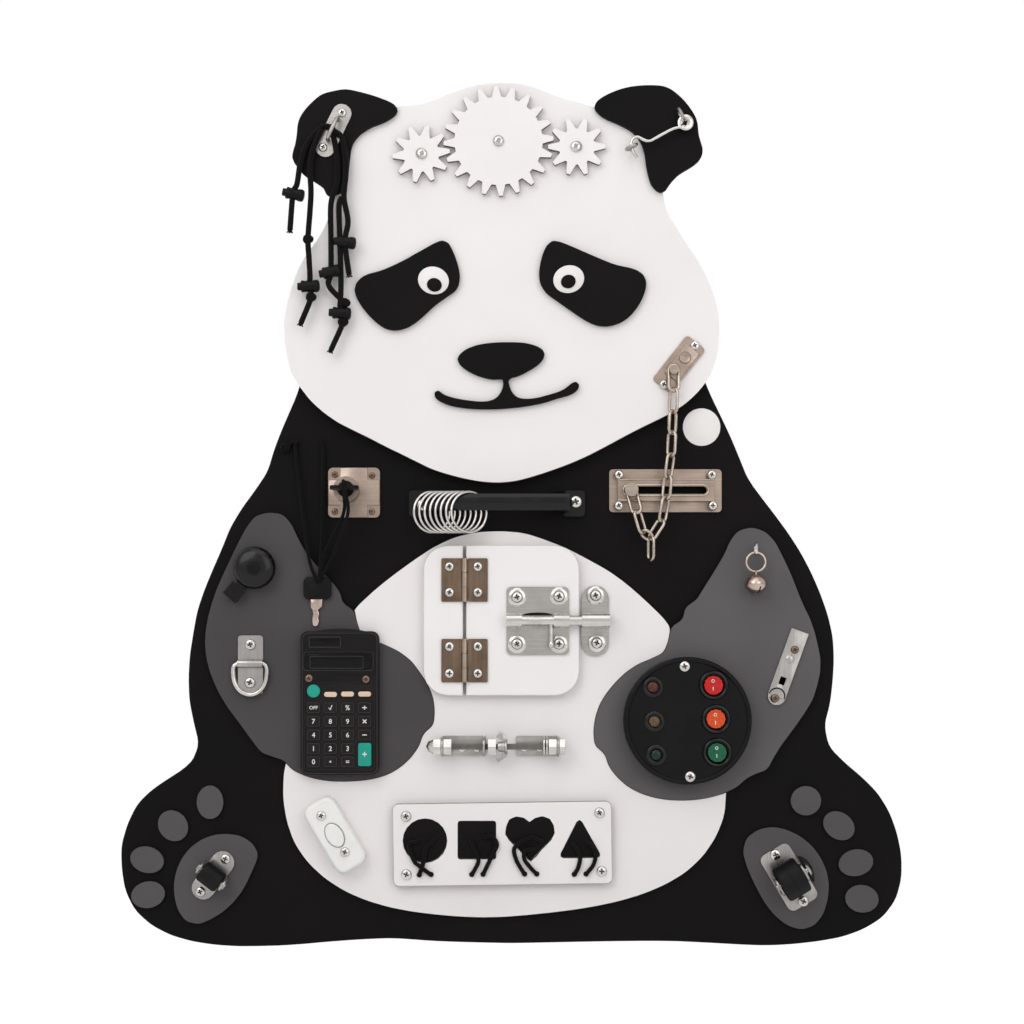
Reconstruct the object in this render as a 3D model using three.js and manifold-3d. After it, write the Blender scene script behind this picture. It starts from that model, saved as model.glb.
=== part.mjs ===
// A wooden busy board in the shape of a sitting panda, covered with household fittings.
// Millimetres. The wall face is Y = 0, the board looks along -Y, and +Z is up. Inside the board's
// own group X is right, Y is up and Z is the height above the wall.
import * as THREE from 'three';
import { mergeVertices } from 'three/addons/utils/BufferGeometryUtils.js';
import Module from 'manifold-3d';

const wasm = await Module();
wasm.setup();

// Scale and viewpoint of the photograph, from which places are taken
const pixelSize = 0.8;
const viewDistance = 1700;
const originPixels = [511, 514];
const viewPixels = [511, 1011];

// Panels, from the wall outwards
const boardThickness = 10;
const padThickness = 3;
const headThickness = 9;
const earThickness = 4;
const faceThickness = 4;
const bellyThickness = 4;
const armThickness = 5;
const seatGap = 0.3;
const overrun = 2;

// Heights of the faces that fittings are mounted on
const boardFace = boardThickness;
const padFace = boardFace + padThickness;
const bellyFace = boardFace + seatGap + bellyThickness;
const armFace = boardFace + seatGap + armThickness;
const headFace = boardFace + seatGap + headThickness;
const earFace = headFace + seatGap + earThickness;

// Facets of round shapes
const fineSides = 20;
const roundSides = 14;
const smallSides = 8;
const wireSides = 6;
const weldShare = 1e-5;

// Materials

const material = (color, roughness, metalness = 0) =>
  new THREE.MeshStandardMaterial({ color, roughness, metalness });
const blackPaint = material(0x141415, 0.62);
const padGrey = material(0x555152, 0.6);
const whitePaint = material(0xe9e7e4, 0.55);
const darkGreyPaint = material(0x4e4a4c, 0.6);
const greyPaint = material(0x646062, 0.6);
const blackPlastic = material(0x121213, 0.4);
const whitePlastic = material(0xeeedea, 0.35);
const steel = material(0xb9bbbe, 0.32, 1);
const nickel = material(0xb4aea4, 0.38, 1);
const bronze = material(0x5d4a36, 0.45, 1);
const blackRubber = material(0x1a1a1b, 0.75);
const rope = material(0x17171a, 0.9);
const redPlastic = material(0xc4262b, 0.35);
const orangePlastic = material(0xd9741d, 0.35);
const greenPlastic = material(0x2f8f46, 0.35);
const keypadGrey = material(0x3a3d42, 0.6);

// The whole board, turned so that its own Z looks along -Y

const part = new THREE.Group();
const board = new THREE.Group();
board.rotation.x = Math.PI / 2;
part.add(board);

// Closed solids: welding, joining, cutting

/** Welds a geometry by place, drops flat triangles, turns it face out and returns a solid. */
function solidOf(geometry) {
  const bare = geometry.clone();
  bare.deleteAttribute('normal');
  bare.deleteAttribute('uv');
  bare.computeBoundingSphere();
  const welded = mergeVertices(bare, bare.boundingSphere.radius * weldShare);
  const corners = welded.index.array;
  const spots = welded.attributes.position;
  const kept = [];
  const [a, b, c] = [new THREE.Vector3(), new THREE.Vector3(), new THREE.Vector3()];
  let volume = 0;
  for (let i = 0; i < corners.length; i += 3) {
    const [p, q, r] = [corners[i], corners[i + 1], corners[i + 2]];
    if (p === q || q === r || r === p) continue;
    a.fromBufferAttribute(spots, p);
    b.fromBufferAttribute(spots, q);
    c.fromBufferAttribute(spots, r);
    volume += a.dot(b.cross(c));
    kept.push(p, q, r);
  }
  if (volume < 0) kept.reverse();
  return new wasm.Manifold(new wasm.Mesh({
    numProp: 3,
    vertProperties: Float32Array.from(spots.array),
    triVerts: Uint32Array.from(kept),
  }));
}

const join = (first, ...others) => others.reduce((whole, piece) => whole.add(piece), first);
const cut = (first, ...others) => others.reduce((whole, piece) => whole.subtract(piece), first);

/** Moves and turns a solid by a matrix made from a place and a rotation. */
function moved(solid, x, y, z, turn = new THREE.Euler()) {
  const matrix = new THREE.Matrix4().makeRotationFromEuler(turn).setPosition(x, y, z);
  return solid.transform(matrix.elements);
}

/** Adds one named mesh made from a solid to a group. */
function addPiece(group, name, solid, look) {
  const { vertProperties, triVerts } = solid.getMesh();
  const geometry = new THREE.BufferGeometry();
  geometry.setAttribute('position', new THREE.BufferAttribute(vertProperties, 3));
  geometry.setIndex(new THREE.BufferAttribute(triVerts, 1));
  geometry.computeVertexNormals();
  const mesh = new THREE.Mesh(geometry, look);
  mesh.name = name;
  group.add(mesh);
  return mesh;
}

/** Adds a group at a place of the board, turned about the line of sight. */
function groupAt(parent, spot, height, turn = 0) {
  const group = new THREE.Group();
  group.position.set(spot.x, spot.y, height);
  group.rotation.z = turn;
  parent.add(group);
  return group;
}

// Places and outlines

/** Board place of a photographed point that lies at a given height above the wall. */
function place([column, row], height = boardFace) {
  const nearer = pixelSize * (1 - (height - boardFace) / viewDistance);
  return new THREE.Vector2(
    (viewPixels[0] - originPixels[0]) * pixelSize + (column - viewPixels[0]) * nearer,
    (originPixels[1] - viewPixels[1]) * pixelSize + (viewPixels[1] - row) * nearer,
  );
}

/** Smooth closed outline through photographed points, evenly divided. */
function smoothOutline(pixels, height, divisions) {
  const points = pixels.map((pixel) => place(pixel, height));
  const curve = new THREE.CatmullRomCurve3(
    points.map((point) => new THREE.Vector3(point.x, point.y, 0)), true, 'centripetal');
  return curve.getSpacedPoints(divisions).slice(0, divisions).map(({ x, y }) => new THREE.Vector2(x, y));
}

/** The same outline grown outwards by a clearance. */
function grownOutline(points, clearance) {
  const turnSign = THREE.ShapeUtils.isClockWise(points) ? -1 : 1;
  return points.map((point, i) => {
    const before = points[(i + points.length - 1) % points.length];
    const after = points[(i + 1) % points.length];
    const along = new THREE.Vector2().subVectors(after, before).normalize();
    return new THREE.Vector2(along.y, -along.x).multiplyScalar(turnSign * clearance).add(point);
  });
}

/** Points of an ellipse or circle. */
function ovalPoints(x, y, radiusX, radiusY = radiusX, sides = roundSides, tilt = 0) {
  return new THREE.EllipseCurve(x, y, radiusX, radiusY, 0, 2 * Math.PI, false, tilt)
    .getPoints(sides).slice(0, sides);
}

/** Points of a rectangle with round corners, centred on a place. */
function roundRectangle(x, y, width, height, radius, cornerSteps = 4) {
  const points = [];
  const corners = [[1, 1, 0], [-1, 1, 0.5], [-1, -1, 1], [1, -1, 1.5]];
  for (const [sideX, sideY, startShare] of corners) {
    for (let step = 0; step <= cornerSteps; step += 1) {
      const angle = Math.PI * (startShare + step / cornerSteps / 2);
      points.push(new THREE.Vector2(
        x + sideX * (width / 2 - radius) + radius * Math.cos(angle),
        y + sideY * (height / 2 - radius) + radius * Math.sin(angle),
      ));
    }
  }
  return points;
}

// Shapes

/** Flat plate with an outline, between two heights, with an optional sloping edge at its front. */
function plate(points, back, front, edge = 0) {
  const shape = new THREE.Shape(points);
  const body = new THREE.ExtrudeGeometry(shape, {
    depth: front - back - edge, bevelEnabled: edge > 0, bevelThickness: edge, bevelSize: edge,
    bevelOffset: -edge, bevelSegments: 1,
  });
  body.translate(0, 0, back);
  if (edge === 0) return solidOf(body);
  return cut(solidOf(body), plate(grownOutline(points, edge), back - edge - overrun, back));
}

const disc = (x, y, radius, back, front, sides = roundSides) =>
  plate(ovalPoints(x, y, radius, radius, sides), back, front);

/** Square-cornered block centred on a place, between two heights. */
function box(x, y, width, height, back, front) {
  const block = new THREE.BoxGeometry(width, height, front - back);
  block.translate(x, y, (back + front) / 2);
  return solidOf(block);
}

/** Rod along X. */
function rodX(start, end, y, z, radius, sides = roundSides) {
  const rod = new THREE.CylinderGeometry(radius, radius, end - start, sides);
  rod.rotateZ(-Math.PI / 2);
  rod.translate((start + end) / 2, y, z);
  return solidOf(rod);
}

/** Rod along Y. */
function rodY(start, end, x, z, radius, sides = roundSides) {
  const rod = new THREE.CylinderGeometry(radius, radius, end - start, sides);
  rod.translate(x, (start + end) / 2, z);
  return solidOf(rod);
}

/** Body turned about the height axis, from pairs of radius and height. */
function turned(profile, sides = roundSides) {
  const lathe = new THREE.LatheGeometry(profile.map(([r, h]) => new THREE.Vector2(r, h)), sides);
  lathe.rotateX(Math.PI / 2);
  return solidOf(lathe);
}

/** Open tube with closed ends along a smooth line of points. */
function tube(points, radius, steps, sides = wireSides) {
  const path = new THREE.CatmullRomCurve3(points, false, 'centripetal');
  const section = new THREE.Shape(ovalPoints(0, 0, radius, radius, sides));
  return solidOf(new THREE.ExtrudeGeometry(section, { steps, extrudePath: path, bevelEnabled: false }));
}

/** Endless tube along a closed line. */
function loopTube(points, radius, steps, sides = wireSides) {
  const path = new THREE.CatmullRomCurve3(points, true, 'centripetal');
  const frames = path.computeFrenetFrames(steps, true);
  const positions = [];
  const corners = [];
  for (let step = 0; step < steps; step += 1) {
    const centre = path.getPointAt(step / steps);
    for (let side = 0; side < sides; side += 1) {
      const angle = (2 * Math.PI * side) / sides;
      const spot = centre.clone()
        .addScaledVector(frames.normals[step], radius * Math.cos(angle))
        .addScaledVector(frames.binormals[step], radius * Math.sin(angle));
      positions.push(spot.x, spot.y, spot.z);
      const [here, beside] = [step * sides + side, step * sides + ((side + 1) % sides)];
      const [next, diagonal] = [(here + sides) % (steps * sides), (beside + sides) % (steps * sides)];
      corners.push(here, next, beside, beside, next, diagonal);
    }
  }
  const geometry = new THREE.BufferGeometry();
  geometry.setAttribute('position', new THREE.Float32BufferAttribute(positions, 3));
  geometry.setIndex(corners);
  return solidOf(geometry);
}

/** Round wire ring, its axis along the height, at the origin. */
function wireRing(radius, wire, steps = roundSides, sides = wireSides) {
  return solidOf(new THREE.TorusGeometry(radius, wire, sides, steps));
}

/** Long round-ended ring, such as a chain link, lying along X. */
function linkRing(halfLength, halfWidth, wire, steps, sides = wireSides) {
  const straight = halfLength - halfWidth;
  const points = [];
  for (const side of [1, -1]) {
    for (let step = 0; step <= 4; step += 1) {
      const angle = Math.PI * (step / 4 - 0.5);
      points.push(new THREE.Vector3(
        side * (straight + halfWidth * Math.cos(angle)), side * halfWidth * Math.sin(angle), 0));
    }
  }
  return loopTube(points, wire, steps, sides);
}

/** Screw eye that stands on a face: a shank with a ring in the plane of the height and a line. */
function screwEye(spot, face, stand, radius, wire, direction) {
  const shank = disc(spot.x, spot.y, wire, face - overrun, face + stand + wire, smallSides);
  const ring = moved(wireRing(radius, wire), 0, 0, 0, new THREE.Euler(Math.PI / 2, 0, 0));
  const standing = moved(ring, 0, 0, 0, new THREE.Euler(0, 0, direction));
  return join(shank, moved(standing, spot.x, spot.y, face + stand + radius));
}

// Panels

const bodyPixels = [
  [300, 388], [288, 415], [275, 447], [269, 468], [266, 475], [256, 489], [244, 505], [229, 530],
  [221, 551], [210, 576], [198, 608], [193, 635], [189, 663], [189, 695], [191, 713], [197, 733],
  [199, 751], [193, 762], [182, 770], [161, 783], [146, 794], [133, 810], [127, 825], [122, 840],
  [121, 858], [123, 879], [127, 896], [138, 914], [156, 928], [176, 937], [202, 943], [233, 946],
  [258, 946], [289, 945], [324, 942], [350, 940], [396, 938], [432, 941], [470, 942], [500, 943],
  [564, 942], [620, 941], [676, 941], [718, 943], [749, 945], [777, 945], [811, 942], [845, 936],
  [873, 924], [890, 910], [898, 894], [902, 874], [901, 851], [895, 826], [887, 807], [873, 787],
  [856, 772], [842, 760], [828, 745], [824, 731], [827, 714], [831, 700], [833, 677], [834, 654],
  [832, 631], [825, 606], [816, 583], [805, 560], [791, 537], [772, 511], [756, 490], [747, 478],
  [744, 470], [736, 449], [727, 429], [715, 404], [705, 383], [694, 340], [668, 290], [620, 255],
  [560, 238], [500, 234], [440, 238], [385, 255], [335, 292], [310, 340],
];
const headPixels = [
  [398, 104], [414, 104], [430, 100], [449, 92], [472, 84], [495, 81], [511, 81], [527, 83],
  [545, 90], [564, 97], [580, 101], [598, 106], [622, 113], [643, 128], [655, 149], [661, 172],
  [663, 190], [665, 207],
  [674, 221], [683, 237], [697, 257], [708, 278], [715, 296], [719, 317], [719, 342], [716, 358],
  [712, 370], [704, 383], [694, 394], [681, 405], [665, 414], [642, 425], [619, 437], [589, 453],
  [566, 463], [543, 471], [520, 478], [501, 480.5], [478, 479], [455, 474], [432, 467], [410, 456],
  [387, 445], [364, 433], [341, 422], [327, 413], [311, 399], [300, 385], [292, 373], [287, 354],
  [284, 329], [285, 311], [290, 291], [296, 272], [304, 256], [316, 240], [326, 223], [332, 205],
  [335, 188], [335, 170], [337, 152], [343, 136], [354, 123], [369, 114], [385, 108],
];
const leftEarPixels = [
  [345, 86], [361, 89], [378, 94], [394, 101], [398, 106], [397, 110], [386, 118], [371, 124],
  [359, 132], [352, 142], [350, 154], [348, 172], [345, 187], [334, 192], [328, 194], [323, 184],
  [317, 180], [303, 171], [298, 164], [293, 158], [292, 152], [295, 142], [297, 129], [298, 119],
  [303, 109], [312, 99], [322, 91], [333, 88],
];
const rightEarPixels = [
  [594, 104], [597, 98], [610, 90], [628, 84], [651, 82], [667, 84], [681, 94], [691, 106],
  [697, 117], [699, 133], [703, 147], [701, 155], [694, 162], [678, 172], [669, 182], [663, 190],
  [653, 184], [649, 175], [646, 161], [644, 147], [639, 136], [633, 129], [619, 121], [605, 115],
  [597, 109],
];
const bellyPixels = [
  [501, 530], [478, 531], [455, 536], [432, 547], [410, 562], [387, 579], [368, 595], [350, 614],
  [325, 660], [300, 715], [285, 765], [283, 787], [284, 807], [289, 828], [296, 845], [312, 866],
  [330, 881], [355, 895], [393, 907], [432, 913], [470, 916], [500, 916], [536, 913], [578, 908],
  [615, 901], [648, 891], [682, 874], [704, 854], [718, 832], [725, 812], [726, 791], [718, 740],
  [697, 680], [671, 626], [653, 607], [635, 590], [612, 572], [589, 559], [566, 547], [543, 538],
  [520, 531],
];
const leftArmPixels = [
  [269, 511], [253, 516], [247, 525], [237, 544], [226, 567], [217, 587], [210, 608], [206, 626],
  [205, 647], [209, 668], [217, 688], [226, 704], [238, 720], [253, 741], [263, 753], [270, 757],
  [280, 753], [284, 760], [289, 766], [304, 774], [324, 779], [345, 780], [370, 778], [388, 773],
  [406, 761], [418, 746], [422, 736], [424, 730], [429, 728], [433, 724], [434, 704], [430, 688],
  [423, 677], [412, 661], [396, 649], [377, 641], [362, 635], [357, 627], [357, 615], [353, 608],
  [343, 602], [338, 598], [340, 591], [336, 584], [327, 576], [306, 551], [299, 539], [294, 528],
  [290, 520], [283, 513],
];
const rightArmPixels = [
  [752, 526], [739, 529], [732, 534], [729, 544], [724, 554], [715, 569], [707, 582], [703, 588],
  [704, 593], [701, 596], [689, 603], [683, 610], [685, 616], [671, 626], [669, 633], [669, 639],
  [667, 649], [658, 655], [635, 665], [619, 678], [605, 695], [597, 711], [594, 739], [598, 749],
  [605, 752], [606, 759], [615, 773], [631, 787], [654, 796], [682, 799], [710, 796], [733, 788],
  [745, 780], [748, 773], [752, 770], [759, 774], [766, 770], [777, 750], [791, 731], [803, 714],
  [812, 700], [818, 681], [821, 663], [818, 645], [812, 622], [802, 601], [791, 573], [779, 548],
  [772, 536], [763, 529],
];
const leftPawPixels = [
  [228, 833], [243, 836], [253, 843], [259, 854], [253, 868], [243, 889], [228, 907], [210, 919],
  [194, 924], [182, 917], [175, 899], [174, 881], [179, 863], [189, 848], [207, 836],
];
const rightPawPixels = [
  [773, 826], [752, 832], [743, 844], [745, 860], [754, 882], [769, 908], [786, 924], [803, 929],
  [818, 922], [827, 902], [829, 882], [824, 863], [811, 844], [794, 832],
];
// Toe pads: middle and half axes in pixels, tilt in degrees
const toePixels = [
  [210, 801.5, 13.5, 17, 0], [173, 825, 14.5, 16.5, 40], [147, 859, 17.3, 13.3, -15],
  [148, 894, 17.3, 13.5, 12], [806, 800, 15.4, 14.9, 0], [839, 825, 17, 13.5, -35],
  [856, 862, 17.7, 13.5, 12], [862, 898, 17, 14, -8],
];
const bodyDivisions = 112;
const headDivisions = 76;
const armDivisions = 56;
const earDivisions = 52;
const pawDivisions = 20;
const faceDivisions = 40;
const noseDivisions = 110;
const panelClearance = 0.5;

const bodyOutline = smoothOutline(bodyPixels, boardFace, bodyDivisions);
const leftArmOutline = smoothOutline(leftArmPixels, armFace, armDivisions);
const rightArmOutline = smoothOutline(rightArmPixels, armFace, armDivisions);

/** Raised pads of both feet. */
function footPads() {
  const paws = [leftPawPixels, rightPawPixels].map((pixels) =>
    plate(smoothOutline(pixels, padFace, pawDivisions), boardFace - overrun, padFace));
  const toes = toePixels.map(([column, row, halfWidth, halfHeight, tilt]) => {
    const middle = place([column, row], padFace);
    const outline = ovalPoints(
      middle.x, middle.y, halfWidth * pixelSize, halfHeight * pixelSize, roundSides,
      THREE.MathUtils.degToRad(tilt));
    return plate(outline, boardFace - overrun, padFace);
  });
  return [...paws, ...toes];
}

// Shape tray: its sizes come first, because its cord holes go through belly and board

const trayPixels = [502.5, 841.3];
const trayTilt = THREE.MathUtils.degToRad(0.8);
const trayWidth = 174;
const trayHeight = 65.5;
const trayCorner = 4.5;
const trayThickness = 7;
const trayFloor = 2;
const trayEdge = 0.8;
const insertClearance = 0.5;
const insertTravel = 12;
const cordRadius = 1.7;
const cordClearance = 0.5;
const cordLift = 0.4;
const cordFacets = 8;
const cordSteps = 6;
const trayBack = bellyFace + seatGap;
const trayFace = trayBack + trayThickness;
const cordEnd = trayFace - insertTravel - cordClearance - overrun;
const cordHoleRadius = cordRadius + cordClearance;

const circlePixels = [425, 838.1];
const circleRadius = 17.2;
const squarePixels = [476.9, 837.5];
const squareSide = 29.6;
const heartPixels = [
  [530.7, 858.2], [520, 847.5], [509.3, 837.1], [506, 832], [506.1, 827.9], [508.5, 819], [512.5, 815.4],
  [518.2, 814.5], [524.5, 816.2], [529.6, 820], [535, 816.2], [541.4, 814.3], [547.6, 815.6],
  [551.8, 819.5], [554.1, 827.9], [553.5, 833], [550, 837.9], [540.5, 847.5],
];
const trianglePixels = [[579.3, 815.4], [559.3, 855], [601.4, 854.6]];

// Pull cords, two to an insert: from the insert's face over its rim and down into the tray
const pullCordPixels = {
  circle: [
    [[418.2, 837.9], [409, 842], [413.9, 857.5], [419.6, 863.2], [431.1, 871.9]],
    [[434.3, 836.8], [425.9, 845.6], [423.1, 861], [419.3, 872.3]],
  ],
  square: [
    [[471.1, 837.9], [475.7, 849.1], [478.5, 858.2], [475.1, 866.2], [471.8, 871.9]],
    [[484.1, 834.4], [491.8, 833.7], [497.1, 841.4], [492.5, 851.9], [483.1, 871.6]],
  ],
  heart: [
    [[542.5, 838.5], [532.1, 834.9], [523.6, 837.3], [514.3, 845.7], [516.7, 858], [524.6, 871.4]],
    [[533.6, 846.4], [524.9, 847.7], [524.4, 856.3], [530.6, 864.9], [536.8, 871.4]],
  ],
  triangle: [
    [[573, 841], [577, 846.3], [580.1, 854.3], [578.2, 864.6], [574.3, 871.8]],
    [[587, 839.5], [592.5, 843.5], [595.4, 852], [593.4, 861.7], [586.1, 871.4]],
  ],
};
const pullCords = Object.values(pullCordPixels).flat();

/** Straight holes for the pull cords' ends, between two heights. */
const cordHoles = (back, front) => pullCords.map((route) => {
  const end = place(route.at(-1), trayFace);
  return disc(end.x, end.y, cordHoleRadius, back, front, smallSides);
});

const backingBoard = cut(
  join(plate(bodyOutline, 0, boardFace), ...footPads()),
  ...cordHoles(cordEnd - cordClearance, boardFace + overrun),
);
addPiece(board, 'backing_board', backingBoard, blackPaint);

const bellyPanel = cut(
  plate(smoothOutline(bellyPixels, bellyFace, armDivisions), boardFace + seatGap, bellyFace),
  ...[leftArmOutline, rightArmOutline].map((outline) =>
    plate(grownOutline(outline, panelClearance), boardFace - overrun, bellyFace + overrun)),
  ...cordHoles(boardFace, bellyFace + overrun),
);
addPiece(board, 'belly_panel', bellyPanel, whitePaint);
addPiece(board, 'left_arm_panel', plate(leftArmOutline, boardFace + seatGap, armFace), darkGreyPaint);

// Face

const leftEyePatchPixels = [
  [442, 237], [447, 238], [453, 248], [458, 262], [460, 273], [457, 286], [449, 292], [435, 302],
  [421, 315], [410, 323], [398, 327], [387, 326], [375, 318], [363, 305], [355, 291], [355, 282],
  [363, 273], [382, 267], [402, 258], [420, 248],
];
const rightEyePatchPixels = [
  [552.5, 237.3], [558.6, 238.1], [573, 243.7], [596, 253.7], [616, 261.6], [631.3, 264.9],
  [640.5, 268.7], [645.4, 274.4], [646.6, 281.2], [644.3, 291.2], [637.4, 304.2], [626.7, 315.7],
  [614.5, 321.8], [602.2, 323.1], [590, 319.5], [576.2, 311.1], [557.8, 298.1], [547.1, 290.4],
  [541, 282], [539.1, 274.4], [539.8, 262.9], [543.3, 249.1], [547.9, 240.7],
];
const nosePixels = [
  [457.2, 355.5], [462, 349], [472, 343.5], [488, 340], [508, 339], [526, 340], [538, 343.5],
  [544, 348], [544.6, 353], [540, 360], [530, 367], [518, 373], [508.6, 376], [509, 380],
  [510, 384.6], [513.4, 390.8], [518, 394.4], [524.1, 395.6], [534.9, 395], [550.2, 391.2],
  [563.9, 386.2], [571.6, 380], [575.7, 378.2], [579, 380.6], [579.3, 384.4], [573.1, 390.3],
  [557.8, 395.3], [539.4, 400.7], [511.9, 404.8], [487.4, 406.1], [465.9, 405], [447.6, 401.5],
  [435.5, 394.8], [434, 390.6], [435.6, 387.6], [438.6, 387.1], [443, 390.8], [450.6, 393.8],
  [466, 396.9], [482.8, 398.4], [492, 396.9], [498.1, 393.1], [502.7, 384.6], [503.4, 380],
  [503.4, 376.4], [492, 376.2], [478, 372.6], [464.5, 365.5], [458.5, 359.5],
];
const faceFace = headFace + seatGap + faceThickness;

const eyePatches = { left_eye_patch: leftEyePatchPixels, right_eye_patch: rightEyePatchPixels };
for (const [name, pixels] of Object.entries(eyePatches)) {
  const outline = smoothOutline(pixels, faceFace, faceDivisions);
  addPiece(board, name, plate(outline, headFace + seatGap, faceFace), blackPaint);
}
addPiece(board, 'nose_and_mouth',
  plate(smoothOutline(nosePixels, faceFace, noseDivisions), headFace + seatGap, faceFace), blackPaint);

// Gears on their pivot screws

const gearModule = 4.15;
const bigTeeth = 20;
const smallTeeth = 10;
const toothHeight = 8.6;
const toothTipWidth = 3.2;
const toothRootWidth = 7.6;
const meshClearance = 4.2;
const gearThickness = 5;
const pivotRadius = 2;
const pivotClearance = 0.35;
const pivotHeadRadius = 4.2;
const pivotHeadHeight = 2.2;
const pivotCrownShare = 0.8;
const bigGearPixels = [498.6, 137.4];
const leftGearDirection = THREE.MathUtils.degToRad(189.4);
const rightGearDirection = THREE.MathUtils.degToRad(-4.2);
const bigGearPhase = THREE.MathUtils.degToRad(92.5);
const gearBack = headFace + seatGap;
const gearFace = gearBack + gearThickness;
const gearDistance = (gearModule * (bigTeeth + smallTeeth)) / 2;
const bigGearSpot = place(bigGearPixels, gearFace);

/** Outer radius of a gear: its pitch radius and half of the depth that two gears share. */
const tipRadius = (teeth) => (gearModule * teeth) / 2 + (toothHeight - meshClearance) / 2;

/** Gear with straight-sided teeth, a tooth at the phase angle, and a bore. */
function gear(teeth, phase) {
  const tip = tipRadius(teeth);
  const root = tip - toothHeight;
  const points = [];
  for (let tooth = 0; tooth < teeth; tooth += 1) {
    const middle = phase + (2 * Math.PI * tooth) / teeth;
    for (const [radius, across] of [
      [root, -toothRootWidth / 2], [tip, -toothTipWidth / 2], [tip, toothTipWidth / 2],
      [root, toothRootWidth / 2],
    ]) {
      const angle = middle + Math.asin(across / radius);
      points.push(new THREE.Vector2(radius * Math.cos(angle), radius * Math.sin(angle)));
    }
  }
  const bore = disc(0, 0, pivotRadius + pivotClearance, -overrun, gearThickness + overrun, smallSides);
  return cut(plate(points, 0, gearThickness), bore);
}

/** Phase of a small gear whose tooth gap faces the big gear's tooth nearest to the centre line. */
function meshedPhase(direction) {
  const bigPitch = (2 * Math.PI) / bigTeeth;
  const offset = (direction - bigGearPhase) / bigPitch;
  const pastTooth = (offset - Math.round(offset)) * bigPitch;
  const ratio = bigTeeth / smallTeeth;
  return direction + Math.PI + pastTooth * ratio + Math.PI / smallTeeth;
}

const gearSpot = (direction) => new THREE.Vector2(
  bigGearSpot.x + gearDistance * Math.cos(direction),
  bigGearSpot.y + gearDistance * Math.sin(direction));
const gears = [
  ['left_gear', gearSpot(leftGearDirection), smallTeeth, meshedPhase(leftGearDirection)],
  ['center_gear', bigGearSpot, bigTeeth, bigGearPhase],
  ['right_gear', gearSpot(rightGearDirection), smallTeeth, meshedPhase(rightGearDirection)],
];
for (const [name, spot, teeth, phase] of gears) {
  addPiece(groupAt(board, spot, gearBack), name, gear(teeth, phase), whitePaint);
}

/** Pan-head pivot screw that stands in the head panel and holds a gear. */
const pivotScrew = (spot) => join(
  disc(spot.x, spot.y, pivotRadius, headFace - overrun, gearFace + seatGap + overrun / 2, smallSides),
  moved(turned([
    [0, 0], [pivotHeadRadius, 0], [pivotHeadRadius, pivotHeadHeight / 2],
    [pivotHeadRadius * pivotCrownShare, pivotHeadHeight], [0, pivotHeadHeight],
  ]), spot.x, spot.y, gearFace + seatGap),
);

// Cabin hook between an eye on the right ear and an eye on the head

const earEyePixels = [681, 110];
const hookWire = 1.32;
const eyeWire = 1.2;
const earEyeRadius = 5;
const earEyeStand = 1.2;
const headEyeRadius = 4.7;
const hookRingRadius = 5.4;
const hookRingDrop = 2.3;
const earEyeLine = THREE.MathUtils.degToRad(-61);
const headEyePixels = [631.5, 142.5];
const hookPixels = [
  [681.2, 122.6], [674, 124], [655, 134], [649, 137], [643, 135], [637, 132], [632.5, 134],
  [631, 139], [631.7, 143.5], [633.6, 148.5], [636.9, 153.2],
];
const hookPlane = earFace + earEyeStand + earEyeRadius;
const earEyeSpot = place(earEyePixels, hookPlane);
const hookPivot = new THREE.Vector2(
  earEyeSpot.x + earEyeRadius * Math.cos(earEyeLine),
  earEyeSpot.y + earEyeRadius * Math.sin(earEyeLine));
const headEyeSpot = place(headEyePixels, hookPlane);
const headEyeLine = Math.atan2(hookPivot.y - headEyeSpot.y, hookPivot.x - headEyeSpot.x);

const headOutline = smoothOutline(headPixels, headFace, headDivisions);
const headPanel = join(
  plate(headOutline, boardFace + seatGap, headFace),
  ...gears.map(([, spot]) => pivotScrew(spot)),
  screwEye(headEyeSpot, headFace, hookPlane - headEyeRadius - headFace, headEyeRadius, eyeWire, headEyeLine),
);
addPiece(board, 'head_panel', headPanel, whitePaint);

const rightEar = join(
  plate(smoothOutline(rightEarPixels, earFace, earDivisions), headFace + seatGap, earFace),
  screwEye(earEyeSpot, earFace, earEyeStand, earEyeRadius, eyeWire, earEyeLine),
);
addPiece(board, 'right_ear_panel', rightEar, blackPaint);

// The hook's ring hangs on the ear's eye, so its middle lies below the pivot
const hookRingAngle = THREE.MathUtils.degToRad(-60);
const hookRingLine = new THREE.Vector2(Math.cos(hookRingAngle), Math.sin(hookRingAngle))
  .multiplyScalar(hookRingDrop);
const hookRod = hookPixels.map((pixel) => {
  const spot = place(pixel, hookPlane);
  return new THREE.Vector3(spot.x - hookPivot.x, spot.y - hookPivot.y, 0);
});
const cabinHook = join(
  moved(wireRing(hookRingRadius, hookWire), hookRingLine.x, hookRingLine.y, 0),
  tube(hookRod, hookWire, 20, wireSides),
);
addPiece(groupAt(board, hookPivot, hookPlane), 'cabin_hook', cabinHook, steel);

// Pad eye on the left ear with lacing ropes and their cord locks

const padEyePixels = [333.5, 127];
const padEyeTilt = THREE.MathUtils.degToRad(64);
const padEyeLength = 45;
const padEyeWidth = 15.5;
const padEyeThickness = 1.5;
const stapleSpan = 18.4;
const stapleWire = 1.6;
const stapleRise = 12;
const padEyeSpot = place(padEyePixels, earFace + padEyeThickness);
const stapleShoulder = 3;
const padEye = join(
  plate(roundRectangle(0, 0, padEyeLength, padEyeWidth, padEyeWidth / 2 - seatGap), 0, padEyeThickness + seatGap),
  tube([
    [-stapleSpan / 2, 0], [-stapleSpan / 2, stapleRise - stapleShoulder],
    [-stapleSpan / 2 + stapleShoulder, stapleRise], [stapleSpan / 2 - stapleShoulder, stapleRise],
    [stapleSpan / 2, stapleRise - stapleShoulder], [stapleSpan / 2, 0],
  ].map(([x, z]) => new THREE.Vector3(x, 0, z)), stapleWire, 10, smallSides),
);
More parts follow.
